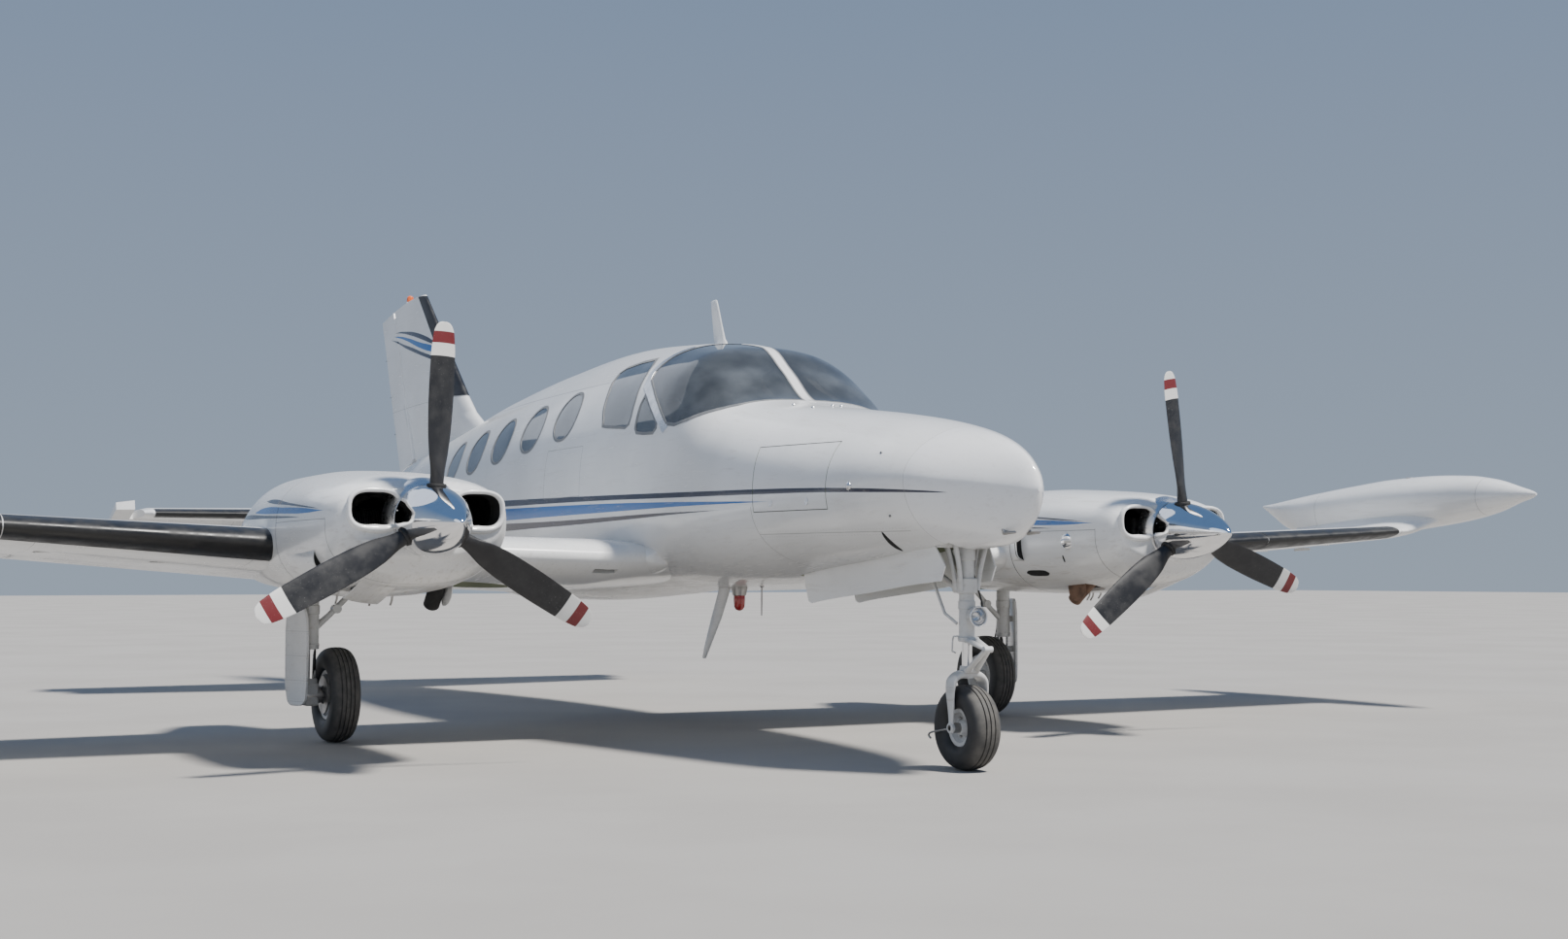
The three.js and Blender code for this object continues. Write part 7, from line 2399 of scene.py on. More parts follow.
    def mirror(self) -> None:
        """The convex gear mirror set in the inboard flank of the left cowling."""
        y, z, turn = -2.87, 1.17, math.radians(20)
        skin = self.shape.centre - float(self.shape.side_x(y, z))
        middle = np.array([skin, y, z])
        axis = np.array([-math.cos(turn), -math.sin(turn), 0.0])
        a = np.linspace(0, 1, 12)
        steps = list(zip((0.016 + 0.017 * np.sin(a * math.pi / 2)).tolist(),
                         (0.0485 * np.cos(a * math.pi / 2) + 0.0004).tolist()))
        dome = stepped_bar("mirror_dome_left", middle - 0.018 * axis, middle + 0.016 * axis,
                           [(0, 0.0485), *steps], 48)
        dress(dome, AIRFRAME, (CHROME,))
        rim = ring_tube("mirror_rim_left", self.rim(middle - 0.001 * axis, axis, 0.051, 0.004))
        dress(rim, AIRFRAME, (BARE_METAL,))

    @staticmethod
    def rim(middle: np.ndarray, axis: np.ndarray, radius: float, thick: float) -> np.ndarray:
        """Rings of a round rim about an axis."""
        sideways = np.cross(axis, (0.0, 0.0, 1.0))
        sideways /= np.linalg.norm(sideways)
        upward = np.cross(sideways, axis)
        a = np.linspace(0, 2 * math.pi, 48, endpoint=False)[:, None, None]
        b = np.linspace(0, 2 * math.pi, 12, endpoint=False)[None, :, None]
        away = np.cos(a) * sideways + np.sin(a) * upward
        return middle + away * (radius + thick * np.cos(b)) + axis * thick * np.sin(b)

    def inboard_flank(self) -> None:
        """The left cowling's inboard scoop with a near-black sheet across its mouth, and a louvre
        and a small slot drawn as near-black sheets on the skin, all painted shade.
        """
        y = np.linspace(-2.40, -2.272, 16)
        z = np.linspace(1.052, 1.212, 20)
        t = (y - y[0]) / (y[-1] - y[0])
        across = np.linspace(-1, 1, len(z))
        rise = (0.048 * (1 - t) ** 0.7 + 0.001)[:, None] * np.clip(1 - np.abs(across) ** 6, 0,
                                                                   1)[None]
        skin = self.shape.centre - self.shape.side_x(*np.meshgrid(y, z, indexing="ij"))
        place = np.stack([skin, *np.meshgrid(y, z, indexing="ij")], -1)
        outer, inner = place.copy(), place.copy()
        outer[..., 0] -= rise + 0.0006
        inner[..., 0] -= np.maximum(rise - 0.005, -0.006)
        dress(thick_sheet("flank_scoop_left", outer, inner), AIRFRAME, (PLAIN_PAINT,),
              degrees=50)
        # The scoop's mouth is a near-black sheet, painted shade inside it.
        mouth = np.stack([outer[0], place[0]])
        mouth[:, :, 1] += 0.008
        dress(thick_sheet("flank_scoop_mouth_left", mouth, mouth + [0, 0.004, 0]), AIRFRAME,
              (BLACK_AND_SHADE,))
        # Louvre and slot are near-black sheets on the skin, painted shade standing for the
        # openings.
        for name, front, rear, low, high in (("flank_louvre_left", -2.59, -2.36, 0.955, 0.992),
                                             ("flank_slot_left", -2.812, -2.797, 1.04, 1.083)):
            rows = np.linspace(front, rear, 12)
            ends = np.sqrt(np.clip(1 - np.linspace(-1, 1, 12) ** 4, 0.02, 1))
            grid_y = rows[:, None] + np.zeros(6)
            grid_z = (low + high) / 2 + (high - low) / 2 * ends[:, None] * np.linspace(-1, 1, 6)
            flat = np.stack([self.shape.centre - self.shape.side_x(grid_y, grid_z) - 0.0012, grid_y,
                             grid_z], -1)
            dress(thick_sheet(name, flat, flat + [0.004, 0, 0]), AIRFRAME, (BLACK_AND_SHADE,))

    def build(self) -> None:
        """Builds both nacelles."""
        self.cowl()
        self.underside()
        self.engine()
        self.rear_body()
        self.mirror()
        self.inboard_flank()


@dataclass
class Propellers:
    """Two three-bladed propellers with hollow spinners, turned as the photograph shows them."""

    at: tuple[float, float, float] = PROPELLER_AT
    tilt: float = PROPELLER_TILT
    phases: dict[Side, float] = field(default_factory=lambda: {Side.LEFT: -9.3, Side.RIGHT: 1.4})
    stations: tuple[tuple[float, ...], ...] = ((60, 76, 70, 40), (120, 76, 68, 40),
                                               (200, 84, 60, 38), (330, 140, 34, 32),
                                               (450, 158, 25, 27.5), (560, 160, 20, 24),
                                               (780, 148, 14, 19), (910, 122, 10, 16),
                                               (950, 92, 8, 15.3), (966, 60, 7.2, 15.1),
                                               (972, 26, 6, 15))
    profile: tuple[tuple[float, float], ...] = ((-402, 0.5), (-399, 7), (-392, 16), (-375, 33),
                                                (-340, 58), (-290, 87), (-240, 110), (-180, 133),
                                                (-120, 150), (-60, 163), (0, 171.5), (40, 174.5),
                                                (85, 176))

    def blade(self, name: str) -> Piece:
        """One blade along +Z, with a rounded leading edge and a thin trailing edge."""
        table = np.array(self.stations, float)
        radius = np.unique(np.concatenate([np.linspace(60, 900, 46), np.linspace(900, 972, 16)]))
        chord, thick, twist = np.moveaxis(smooth_rows(table, radius), -1, 0)
        a = np.linspace(0, 2 * math.pi, 36, endpoint=False)
        flat = np.clip((radius - 200) / 200, 0, 1)[:, None]
        along = chord[:, None] / 2 * np.cos(a)
        across = thick[:, None] / 2 * np.sin(a) * (1 + 0.45 * flat * np.cos(a)) / (1 + 0.12 * flat)
        pitch = np.radians(twist)[:, None]
        ring = np.stack([along * np.cos(pitch) - across * np.sin(pitch),
                         along * np.sin(pitch) + across * np.cos(pitch),
                         np.broadcast_to(radius[:, None], along.shape)], -1)
        return closed_loft(name, ring * MM)

    def placed(self, piece: Piece, side: Side, degrees: float = 0.0) -> Piece:
        """Turns a piece about the propeller's axis, tilts it and moves it to its engine.

        Turning by a about Y gives x cos a + z sin a and z cos a - x sin a. The tilt then turns it
        about X.
        """
        a, t = math.radians(degrees), math.radians(self.tilt)
        p = corners_of(piece)
        p = np.stack([p[:, 0] * math.cos(a) + p[:, 2] * math.sin(a), p[:, 1],
                      p[:, 2] * math.cos(a) - p[:, 0] * math.sin(a)], -1)
        p = np.stack([p[:, 0], p[:, 1] * math.cos(t) - p[:, 2] * math.sin(t),
                      p[:, 1] * math.sin(t) + p[:, 2] * math.cos(t)], -1)
        return set_corners(piece, p + np.array([side.value * self.at[0], *self.at[1:]]))

    def build(self) -> None:
        """Builds both propellers."""
        for side in Side:
            body = f"{side.word}_propeller"
            paint = BladePaint(f"blade_paint_{side.word}", (side.value * self.at[0], *self.at[1:]))
            phase = self.phases[side]
            blades, cuffs = [], []
            for turn in (0, 120, 240):
                blades.append(self.placed(self.blade("blade"), side, phase + turn))
                cuff = stepped_bar("cuff", (0, 0, 0.12), (0, 0, 0.20),
                                   [(0, 0.0455), (0.045, 0.0475), (0.05, 0.049), (0.058, 0.047),
                                    (0.06, 0.042)], 32)
                cuffs.append(self.placed(cuff, side, phase + turn))
            hub = stepped_bar("hub", (0, 0.08, 0), (0, -0.11, 0),
                              [(0, 0.088), (0.004, 0.092), (0.07, 0.092), (0.12, 0.08),
                               (0.17, 0.062), (0.19, 0.05)], 48)
            hub = carve(hub,
                        stepped_bar("plate", (0, 0.06, 0), (0, 0.072, 0),
                                    [(0, 0.1658), (0.012, 0.1658)], 72), Cut.JOIN)
            dress(joined(f"propeller_blades_{side.word}", blades), body, (paint,),
                  (f"propeller_{side.word}",), degrees=50)
            dress(joined(f"propeller_cuffs_{side.word}", cuffs), body, (HOSE,))
            hub.name = f"propeller_hub_{side.word}"
            dress(self.placed(hub, side), body, (STEEL,))
            shell = self.spinner(side, phase)
            dress(shell, body, (CHROME,), (f"spinner_{side.word}",), degrees=40)
            rivets = []
            for k in range(18):
                a = 2 * math.pi * k / 18 + 0.1
                x, z = 0.1752 * math.cos(a), 0.1752 * math.sin(a)
                rivets.append(stepped_bar("r", (x, 0.066, z), (x * 1.012, 0.066, z * 1.012),
                                          [(0, 0.0045), (0.0012, 0.0045), (0.0018, 0.0025)], 10))
            dress(self.placed(joined(f"spinner_screws_{side.word}", rivets), side), body,
                  (BARE_METAL,))

    def spinner(self, side: Side, phase: float) -> Piece:
        """The hollow spinner with a hole round each blade."""
        table = np.array(self.profile, float)
        y = np.unique(np.concatenate([-402 + 402 * np.linspace(0, 1, 40) ** 2, [85.0]]))
        radius = smooth_rows(table, y)[:, 0]
        a = np.linspace(0, 2 * math.pi, 96, endpoint=False)

        def cone(name: str, depth: np.ndarray, size: np.ndarray) -> Piece:
            """A solid of rings about the Y axis."""
            return closed_loft(name,
                               np.stack([size[:, None] * np.cos(a),
                                         np.broadcast_to(depth[:, None], (len(depth), 96)),
                                         size[:, None] * np.sin(a)], -1) * MM)

        shell = cone(f"spinner_shell_{side.word}", y, np.maximum(radius, 0.2))
        inner_y = y[y > -380]
        inner = smooth_rows(table, inner_y)[:, 0] - 6
        inner_y = np.append(inner_y, 95.0)
        carve(shell, cone("room", inner_y, np.maximum(np.append(inner, inner[-1]), 0.5)))
        for turn in (0, 120, 240):
            a_turn = math.radians(phase + turn)
            end = (0.26 * math.sin(a_turn), 0.0, 0.26 * math.cos(a_turn))
            carve(shell, stepped_bar("hole", (0, 0, 0), end, [(0, 0.051), (0.26, 0.051)], 48))
        return self.placed(shell, side)


@dataclass
class Gear:
    """Landing gear: legs, links, wheels with grooved tyres, brakes, hoses, doors and taxi lamp."""

    main_x: float = 2.27
    leg_x: float = LEG_X
    axle_y: float = AXLE_Y
    main_z: float = 0.27268
    nose_y: float = -4.528
    nose_axle: tuple[float, float] = (-4.525, 0.20998)
    toe: float = 20.0

    def tyre_profile(self, radius: float, half: float, rim: tuple[float, float],
                     grooves: Sequence[float]) -> list[tuple[float, float]]:
        """Half-round tyre section with grooves.

        Its radius is low + (radius - low) cos^0.62, and its offset half sin^0.86.

        Args:
            radius: The tyre's radius.
            half: Half its width.
            rim: The rim's radius and half width.
            grooves: Offsets of the tread's grooves.

        Returns:
            Rows of radius and offset, closed round.
        """
        seat, flange = rim
        low = (radius + seat) / 2
        a = np.linspace(-0.5 * math.pi, 0.5 * math.pi, 45)
        offset = half * np.sign(np.sin(a)) * np.abs(np.sin(a)) ** 0.86
        size = low + (radius - low) * np.clip(np.cos(a), 0, 1) ** 0.62
        far = np.all(np.abs(offset[:, None] - np.array(grooves)) > 0.0045, axis=1)
        at = np.sort(np.concatenate([offset[far],
                                     *[np.array([g - 0.0036, g - 0.0027, g + 0.0027, g + 0.0036])
                                       for g in grooves]]))
        deep = np.any(np.abs(at[:, None] - np.array(grooves)) < 0.003, axis=1) * 0.0065
        crown = list(zip((np.interp(at, offset, size) - deep).tolist(), at.tolist()))
        wall = [(seat + 0.001, flange - 0.008), (seat + 0.013, flange - 0.005),
                (seat + 0.017, flange + 0.006), (seat + 0.030, half * 0.9),
                (low - 0.018, half * 0.985)]
        return [(r, -o) for r, o in wall] + crown + wall[::-1]

    def wheel(self, name: str, body: str, centre: tuple[float, float, float], radius: float,
              half: float, rim: tuple[float, float], grooves: Sequence[float],
              nodes: tuple[str, str]) -> None:
        """One wheel: a rounded grooved tyre and a dished rim with bolts on both faces.

        Args:
            name: Name of the wheel.
            body: The body that it turns with.
            centre: Its middle.
            radius: The tyre's radius.
            half: Half the tyre's width.
            rim: The rim's radius and half width.
            grooves: Offsets of the tread's grooves.
            nodes: The CAD nodes of the tyre and the rim.
        """
        seat, flange = rim
        tyre = turned(f"{name}_tyre_tread", self.tyre_profile(radius, half, rim, grooves), centre,
                      112)
        dress(tyre, body,
              (TreadRubber(f"tread_{name}", centre=centre, radius=radius),), (nodes[0],),
              degrees=38)
        bore = 0.0209
        dish = [(bore, -flange * 1.04), (bore + 0.011, -flange * 1.04),
                (bore + 0.015, -flange * 0.9), (bore + 0.018, -flange * 0.38),
                (seat * 0.60, -flange * 0.30), (seat * 0.80, -flange * 0.50),
                (seat - 0.011, -flange * 0.74), (seat - 0.006, -flange - 0.001),
                (seat + 0.002, -flange - 0.003), (seat + 0.013, -flange - 0.003),
                (seat + 0.0145, -flange + 0.001), (seat + 0.012, -flange + 0.004),
                (seat, -flange + 0.007)]
        disc = turned(f"{name}_rim_disc", dish + [(r, -o) for r, o in dish[::-1]], centre, 88)
        dress(disc, body, (GEAR_PAINT,), (nodes[1],), degrees=30)
        bolts = []
        ring = seat * 0.66
        for k in range(9 if seat > 0.1 else 6):
            a = 2 * math.pi * k / (9 if seat > 0.1 else 6)
            y, z = centre[1] + ring * math.cos(a), centre[2] + ring * math.sin(a)
            for way in (-1, 1):
                x = centre[0] + way * flange * 0.30
                bolts.append(stepped_bar("b", (x, y, z), (x + way * 0.014, y, z),
                                         [(0, 0.0095), (0.003, 0.0095), (0.0032, 0.0072),
                                          (0.011, 0.007), (0.0138, 0.0045)], 6))
        valve_y = centre[1] + seat * 0.82
        bolts.append(stepped_bar("v", (centre[0] - flange * 0.45, valve_y, centre[2]),
                                 (centre[0] - flange * 1.0, valve_y + 0.006, centre[2]),
                                 [(0, 0.004), (0.03, 0.003)], 10))
        dress(joined(f"{name}_wheel_bolts", bolts), body, (STEEL,))

    def main_leg(self) -> None:
        """Main leg: strut, piston, foot, axle, side brace, torque links, brake and its hose."""
        x, y, z = self.leg_x, self.axle_y, self.main_z
        strut = stepped_bar("strut", (x, y, 0.535), (x, y, 1.02),
                            [(0, 0.038), (0.002, 0.047), (0.03, 0.050), (0.034, 0.046),
                             (0.20, 0.046), (0.204, 0.050), (0.25, 0.050), (0.254, 0.046),
                             (0.40, 0.046), (0.404, 0.052), (0.478, 0.052), (0.485, 0.04)], 56)
        both(strut, "main_strut_{}", AIRFRAME, (GEAR_PAINT,), "main_leg_{}")
        piston = stepped_bar("piston", (x, y, 0.335), (x, y, 0.545), [(0, 0.031), (0.21, 0.031)],
                             48)
        both(piston, "main_piston_{}", AIRFRAME, (CHROME,))
        foot = block("foot", (x - 0.042, y - 0.045, z - 0.06), (x + 0.042, y + 0.045, 0.345))
        soften(foot, 0.016, 3)
        collar = stepped_bar("collar", (x, y, 0.325), (x, y, 0.37),
                             [(0, 0.041), (0.035, 0.040), (0.045, 0.034)], 40)
        carve(foot, collar, Cut.JOIN)
        both(foot, "main_foot_{}", AIRFRAME, (GEAR_PAINT,))
        axle = stepped_bar("axle", (x + 0.05, y, z), (self.main_x - 0.088, y, z),
                           [(0, 0.024), (0.006, 0.030), (0.012, 0.030), (0.0125, 0.02),
                            (0.02, 0.02), (0.0205, 0.046), (0.108, 0.046), (0.1085, 0.020),
                            (0.262, 0.02), (0.2625, 0.030), (0.278, 0.030), (0.286, 0.018)], 40)
        both(axle, "main_axle_{}", AIRFRAME, (STEEL,))
        trunnion = stepped_bar("trunnion", (x, y - 0.0845, 0.975), (x, y + 0.0845, 0.975),
                               [(0, 0.024), (0.03, 0.024), (0.031, 0.034), (0.138, 0.034),
                                (0.139, 0.024), (0.169, 0.024)], 32)
        both(trunnion, "main_trunnion_{}", AIRFRAME, (GEAR_PAINT,))
        brace = bar("brace",
                    [(x - 0.02, y, 0.655), (x - 0.10, y, 0.725), (2.20, y, 0.842),
                     (2.13, y, 0.905)], [0.021, 0.017, 0.017, 0.021], 24, (0, 1, 0))
        knuckle = stepped_bar("knuckle", (x - 0.145, y - 0.03, 0.765), (x - 0.145, y + 0.03, 0.765),
                              [(0, 0.026), (0.06, 0.026)], 28)
        carve(brace, knuckle, Cut.JOIN)
        both(brace, "main_side_brace_{}", AIRFRAME, (GEAR_PAINT,))
        self.links("main", x, y, 0.52, 0.425, 0.33, 0.15, 1, both_sides=True)
        self.brake()
        hose = bar("hose",
                   self.curve([(x - 0.01, y + 0.052, 0.80), (x - 0.012, y + 0.056, 0.62),
                               (x - 0.02, y + 0.085, 0.50), (x - 0.04, y + 0.135, 0.43),
                               (x - 0.055, y + 0.15, 0.36), (x - 0.062, y + 0.125, 0.315)]), 0.0055,
                   12, (1, 0, 0))
        both(hose, "brake_hose_{}", AIRFRAME, (HOSE,))
        self.leg_door()

    @staticmethod
    def curve(points: Sequence[Sequence[float]], count: int = 40) -> np.ndarray:
        """A smooth path through points, by their running length and a cubic through each axis."""
        table = np.asarray(points, float)
        length = np.concatenate([[0], np.cumsum(np.linalg.norm(np.diff(table, axis=0), axis=1))])
        return smooth_rows(np.column_stack([length, table]), np.linspace(0, length[-1], count))

    def links(self, stem: str, x: float, y: float, top: float, middle: float, low: float,
              reach: float, way: int, both_sides: bool) -> None:
        """A pair of torque links before or behind a piston, each an A-shaped plate with pins.

        Args:
            stem: Leg's name.
            x: Middle of the leg.
            y: Station of the leg.
            top: Height of the upper pin.
            middle: Height of the middle pin.
            low: Height of the lower pin.
            reach: Distance of the middle pin from the leg.
            way: 1 behind the leg, -1 in front.
            both_sides: Whether the other leg gets them too.
        """
        parts = []
        for start, end in (((top, 0.04), (middle, reach)), ((low, 0.04), (middle, reach))):
            for side in (-1, 1):
                parts.append(bar("arm",
                                 [(x + side * 0.026, y + way * start[1], start[0]),
                                  (x + side * 0.008, y + way * end[1], end[0])], [0.013, 0.010], 16,
                                 (1, 0, 0), 1.5))
            parts.append(stepped_bar("pin", (x - 0.04, y + way * start[1], start[0]),
                                     (x + 0.04, y + way * start[1], start[0]),
                                     [(0, 0.008), (0.002, 0.0145), (0.078, 0.0145), (0.08, 0.008)],
                                     20))
        parts.append(stepped_bar("pin", (x - 0.026, y + way * reach, middle),
                                 (x + 0.026, y + way * reach, middle),
                                 [(0, 0.008), (0.002, 0.0155), (0.05, 0.0155), (0.052, 0.008)], 20))
        whole = joined(f"{stem}_torque_links", parts)
        if both_sides:
            both(whole, f"{stem}_torque_links_{{}}", AIRFRAME, (GEAR_PAINT,))
        else:
            dress(whole, "nose_steering", (GEAR_PAINT,))

    def brake(self) -> None:
        """A brake disc that turns with the wheel and a two-pot caliper fixed to the leg."""
        x, y, z = self.main_x, self.axle_y, self.main_z
        for side in Side:
            disc = turned(f"brake_disc_{side.word}",
                          [(0.052, 0.066), (0.108, 0.066), (0.108, 0.074), (0.052, 0.074)],
                          (0, y, z), 72)
            points = corners_of(disc)
            points[:, 0] = side.value * (points[:, 0] + x)
            set_corners(disc, points)
            if side is Side.RIGHT:
                disc.data.flip_normals()
            dress(disc, f"{side.word}_main_wheel", (STEEL,))
        caliper = block("caliper", (x + 0.079, y + 0.052, z - 0.045),
                        (x + 0.112, y + 0.118, z + 0.045))
        soften(caliper, 0.010, 3)
        for up in (-0.022, 0.022):
            pot = stepped_bar("pot", (x + 0.10, y + 0.085, z + up), (x + 0.126, y + 0.085, z + up),
                              [(0, 0.02), (0.022, 0.02), (0.026, 0.015)], 28)
            carve(caliper, pot, Cut.JOIN)
        arm = bar("arm", [(x + 0.098, y + 0.02, z), (x + 0.098, y + 0.07, z)], [0.022, 0.022], 24,
                  (1, 0, 0))
        carve(caliper, arm, Cut.JOIN)
        both(caliper, "brake_caliper_{}", AIRFRAME, (STEEL,))

    def leg_door(self) -> None:
        """The riveted leg door with a stiff rolled edge, on its two brackets."""
        x, y = self.leg_x, self.axle_y
        outline = rounded(np.array([(y - 0.105, 0.80), (y + 0.105, 0.80), (y + 0.105, 0.33),
                                    (y + 0.075, 0.215), (y - 0.06, 0.215), (y - 0.105, 0.27)]))
        door = prism("door", outline, Plane.SIDE, x + 0.071, x + 0.0835)
        rim = prism("rim", outline, Plane.SIDE, x + 0.071, x + 0.086)
        carve(rim, prism("cut", grown(outline, -0.009), Plane.SIDE, x + 0.06, x + 0.1))
        carve(door, rim, Cut.JOIN)
        soften(door, 0.0015, 2)
        pivot = (x + 0.078, y)
        door = spun(door, (*pivot, 0.0), (*pivot, 1.0), -self.toe)
        both(door, "main_leg_door_skin_{}", AIRFRAME, (DOOR_PLATE_PAINT,),
             "main_leg_door_{}")
        arms = []
        for z in (0.45, 0.66):
            arm = block("arm", (x + 0.01, y - 0.03, z - 0.02), (x + 0.0715, y + 0.03, z + 0.02))
            arms.append(spun(soften(arm, 0.006), (*pivot, 0.0), (*pivot, 1.0), -self.toe))
        both(joined("arms", arms), "leg_door_brackets_{}", AIRFRAME, (GEAR_PAINT,))

    def nose_leg(self) -> None:
        """Nose leg: slim strut in a forked trunnion, drag braces, stop rod and the lamp's hose."""
        y = self.nose_y
        strut = stepped_bar("nose_strut", (0, y, 0.630), (0, y, 1.14),
                            [(0, 0.036), (0.003, 0.044), (0.022, 0.046), (0.026, 0.040),
                             (0.16, 0.039), (0.163, 0.043), (0.20, 0.043), (0.203, 0.038),
                             (0.40, 0.038), (0.404, 0.045), (0.50, 0.045), (0.51, 0.03)], 56)
        carve(strut,
              stepped_bar("yoke", (0, y, 0.868), (0, y, 0.945),
                          [(0, 0.044), (0.004, 0.052), (0.030, 0.054), (0.072, 0.054),
                           (0.077, 0.046)], 56), Cut.JOIN)
        for way in (-1, 1):
            for depth in (-0.03, 0.03):
                flange = bar("flange",
                             [(way * 0.047, y + depth * 0.7, 0.885),
                              (way * 0.062, y + depth, 0.985),
                              (way * 0.094, y + depth * 1.3, 1.13)], [0.0125, 0.0105, 0.0125], 24,
                             (0, 1, 0), 1.35)
                carve(strut, flange, Cut.JOIN)
        dress(strut, AIRFRAME, (GEAR_PAINT,), ("nose_leg",))
        parts = [stepped_bar("t", (-0.164, y, 1.12), (0.164, y, 1.12), [(0, 0.026), (0.328, 0.026)],
                             28),
                 stepped_bar("c", (-0.164, y + 0.33, 1.12), (0.164, y + 0.33, 1.12),
                             [(0, 0.02), (0.328, 0.02)], 24)]
        for way in (-1, 1):
            parts.append(bar("d",
                             [(way * 0.035, y + 0.03, 0.89), (way * 0.06, y + 0.15, 0.965),
                              (way * 0.095, y + 0.33, 1.12)], [0.016, 0.0145, 0.016], 20,
                             (1, 0, 0)))
        parts.append(stepped_bar("k", (-0.05, y + 0.035, 0.89), (0.05, y + 0.035, 0.89),
                                 [(0, 0.019), (0.10, 0.019)], 24))
        parts.append(bar("steer",
                         [(-0.045, y + 0.02, 0.72), (-0.07, y + 0.09, 0.77),
                          (-0.08, y + 0.19, 0.95)], 0.008, 16, (1, 0, 0)))
        parts.append(bar("stop",
                         self.curve([(-0.034, y + 0.018, 0.658), (-0.056, y + 0.034, 0.656),
                                     (-0.061, y + 0.037, 0.62), (-0.062, y + 0.038, 0.585),
                                     (-0.046, y + 0.028, 0.576)]), 0.0042, 12, (0, 1, 0)))
        dress(joined("nose_braces", parts), AIRFRAME, (GEAR_PAINT,))
        self.taxi_lamp()
        hose = bar("nose_hose",
                   self.curve([(0.042, y + 0.01, 0.98), (0.062, y - 0.02, 0.87),
                               (0.052, y - 0.055, 0.80), (0.03, y - 0.05, 0.765)]), 0.0045, 12,
                   (1, 0, 0))
        dress(hose, AIRFRAME, (HOSE,))
        self.fork()

    def taxi_lamp(self) -> None:
        """The taxi lamp: bracket, shell with a polished rim, bright bowl, bulb and clear glass."""
        y, z = self.nose_y - 0.035, 0.756
        front = y - 0.068
        shell = stepped_bar("taxi_lamp_shell", (0, y + 0.012, z), (0, front, z),
                            [(0, 0.018), (0.012, 0.026), (0.026, 0.040), (0.06, 0.049),
                             (0.08, 0.0505)], 56)
        carve(shell, stepped_bar("hollow", (0, y - 0.012, z), (0, front - 0.02, z),
                                 [(0, 0.022), (0.01, 0.035), (0.045, 0.0462), (0.076, 0.0464)], 56))
        dress(shell, AIRFRAME, (GEAR_PAINT,))
        a = np.linspace(0, 2 * math.pi, 56, endpoint=False)[:, None]
        b = np.linspace(0, 2 * math.pi, 12, endpoint=False)[None, :]
        ring = 0.0485 + 0.0036 * np.cos(b)
        rim = np.stack([ring * np.cos(a), front + 0.0036 * np.sin(b) + 0 * a, z + ring * np.sin(a)],
                       -1)
        dress(ring_tube("taxi_lamp_rim", rim), AIRFRAME, (BARE_METAL,))
        bowl = stepped_bar("taxi_lamp_bowl", (0, y - 0.015, z), (0, front + 0.012, z),
                           [(0, 0.012), (0.004, 0.022), (0.010, 0.031), (0.020, 0.0385),
                            (0.032, 0.0435), (0.041, 0.0455)], 56)
        carve(bowl,
              stepped_bar("dish", (0, y - 0.0165, z), (0, front - 0.02, z),
                          [(0, 0.006), (0.004, 0.0205), (0.010, 0.0295), (0.020, 0.037),
                           (0.032, 0.042), (0.072, 0.0445)], 56))
        dress(bowl, AIRFRAME, (CHROME,), degrees=50)
        bulb = stepped_bar("taxi_lamp_bulb", (0, y - 0.014, z), (0, y - 0.037, z),
                           [(0, 0.006), (0.012, 0.0065), (0.02, 0.005), (0.023, 0.001)], 24)
        dress(bulb, AIRFRAME, (CLEAR_LENS,))
        glass = stepped_bar("taxi_lamp_lens", (0, front + 0.005, z), (0, front - 0.004, z),
                            [(0, 0.0462), (0.005, 0.0455), (0.008, 0.028), (0.009, 0.004)], 56)
        dress(glass, AIRFRAME, (LAMP_GLASS,))

    def fork(self) -> None:
        """The steered part: piston, arch with curved blades, bored axle, links and towing hook."""
        y, body = self.nose_y, "nose_steering"
        axle_y, axle_z = self.nose_axle
        piston = stepped_bar("nose_piston", (0, y, 0.472), (0, y, 0.6315),
                             [(0, 0.0255), (0.1595, 0.0255)], 48)
        dress(piston, body, (CHROME,), ("nose_fork",))
        half = [(0.0935, axle_y, axle_z - 0.02), (0.0935, axle_y, 0.25), (0.0965, y, 0.32),
                (0.0995, y, 0.385), (0.0935, y, 0.432), (0.074, y, 0.458), (0.045, y, 0.470),
                (0.0, y, 0.474)]
        path = np.array(half + [(-px, py, pz) for px, py, pz in half[-2::-1]])
        line = self.curve(path, 90)
        drop = np.interp(line[:, 2], [0.19, 0.24, 0.39, 0.44, 0.474],
                         [0.021, 0.017, 0.036, 0.041, 0.036])
        thick = np.interp(line[:, 2], [0.19, 0.26, 0.39, 0.44, 0.474],
                          [0.0078, 0.0078, 0.0095, 0.013, 0.020])
        sideways, upward = frame_along(line, (0, 1, 0))
        a = np.linspace(0, 2 * math.pi, 32, endpoint=False)
        broad = np.sign(np.sin(a)) * np.abs(np.sin(a)) ** 0.7
        slim = np.sign(np.cos(a)) * np.abs(np.cos(a)) ** 0.7
        arch = closed_loft("nose_arch",
                           line[:, None] + thick[:, None, None] * slim[None, :, None]
                           * sideways[:, None] + drop[:, None, None] * broad[None, :, None]
                           * upward[:, None])
        carve(arch,
              stepped_bar("boss", (0, y, 0.452), (0, y, 0.512),
                          [(0, 0.034), (0.04, 0.038), (0.06, 0.035)], 44), Cut.JOIN)
        for way in (-1, 1):
            hub = stepped_bar("hub", (way * 0.0835, axle_y, axle_z), (way * 0.106, axle_y, axle_z),
                              [(0, 0.023), (0.004, 0.026), (0.019, 0.026), (0.0225, 0.022)], 32)
            carve(arch, hub, Cut.JOIN)
            carve(arch,
                  stepped_bar("bore", (way * 0.08, axle_y, axle_z), (way * 0.12, axle_y, axle_z),
                              [(0, 0.0165), (0.04, 0.0165)], 32))
        dress(arch, body, (GEAR_PAINT,), degrees=45)
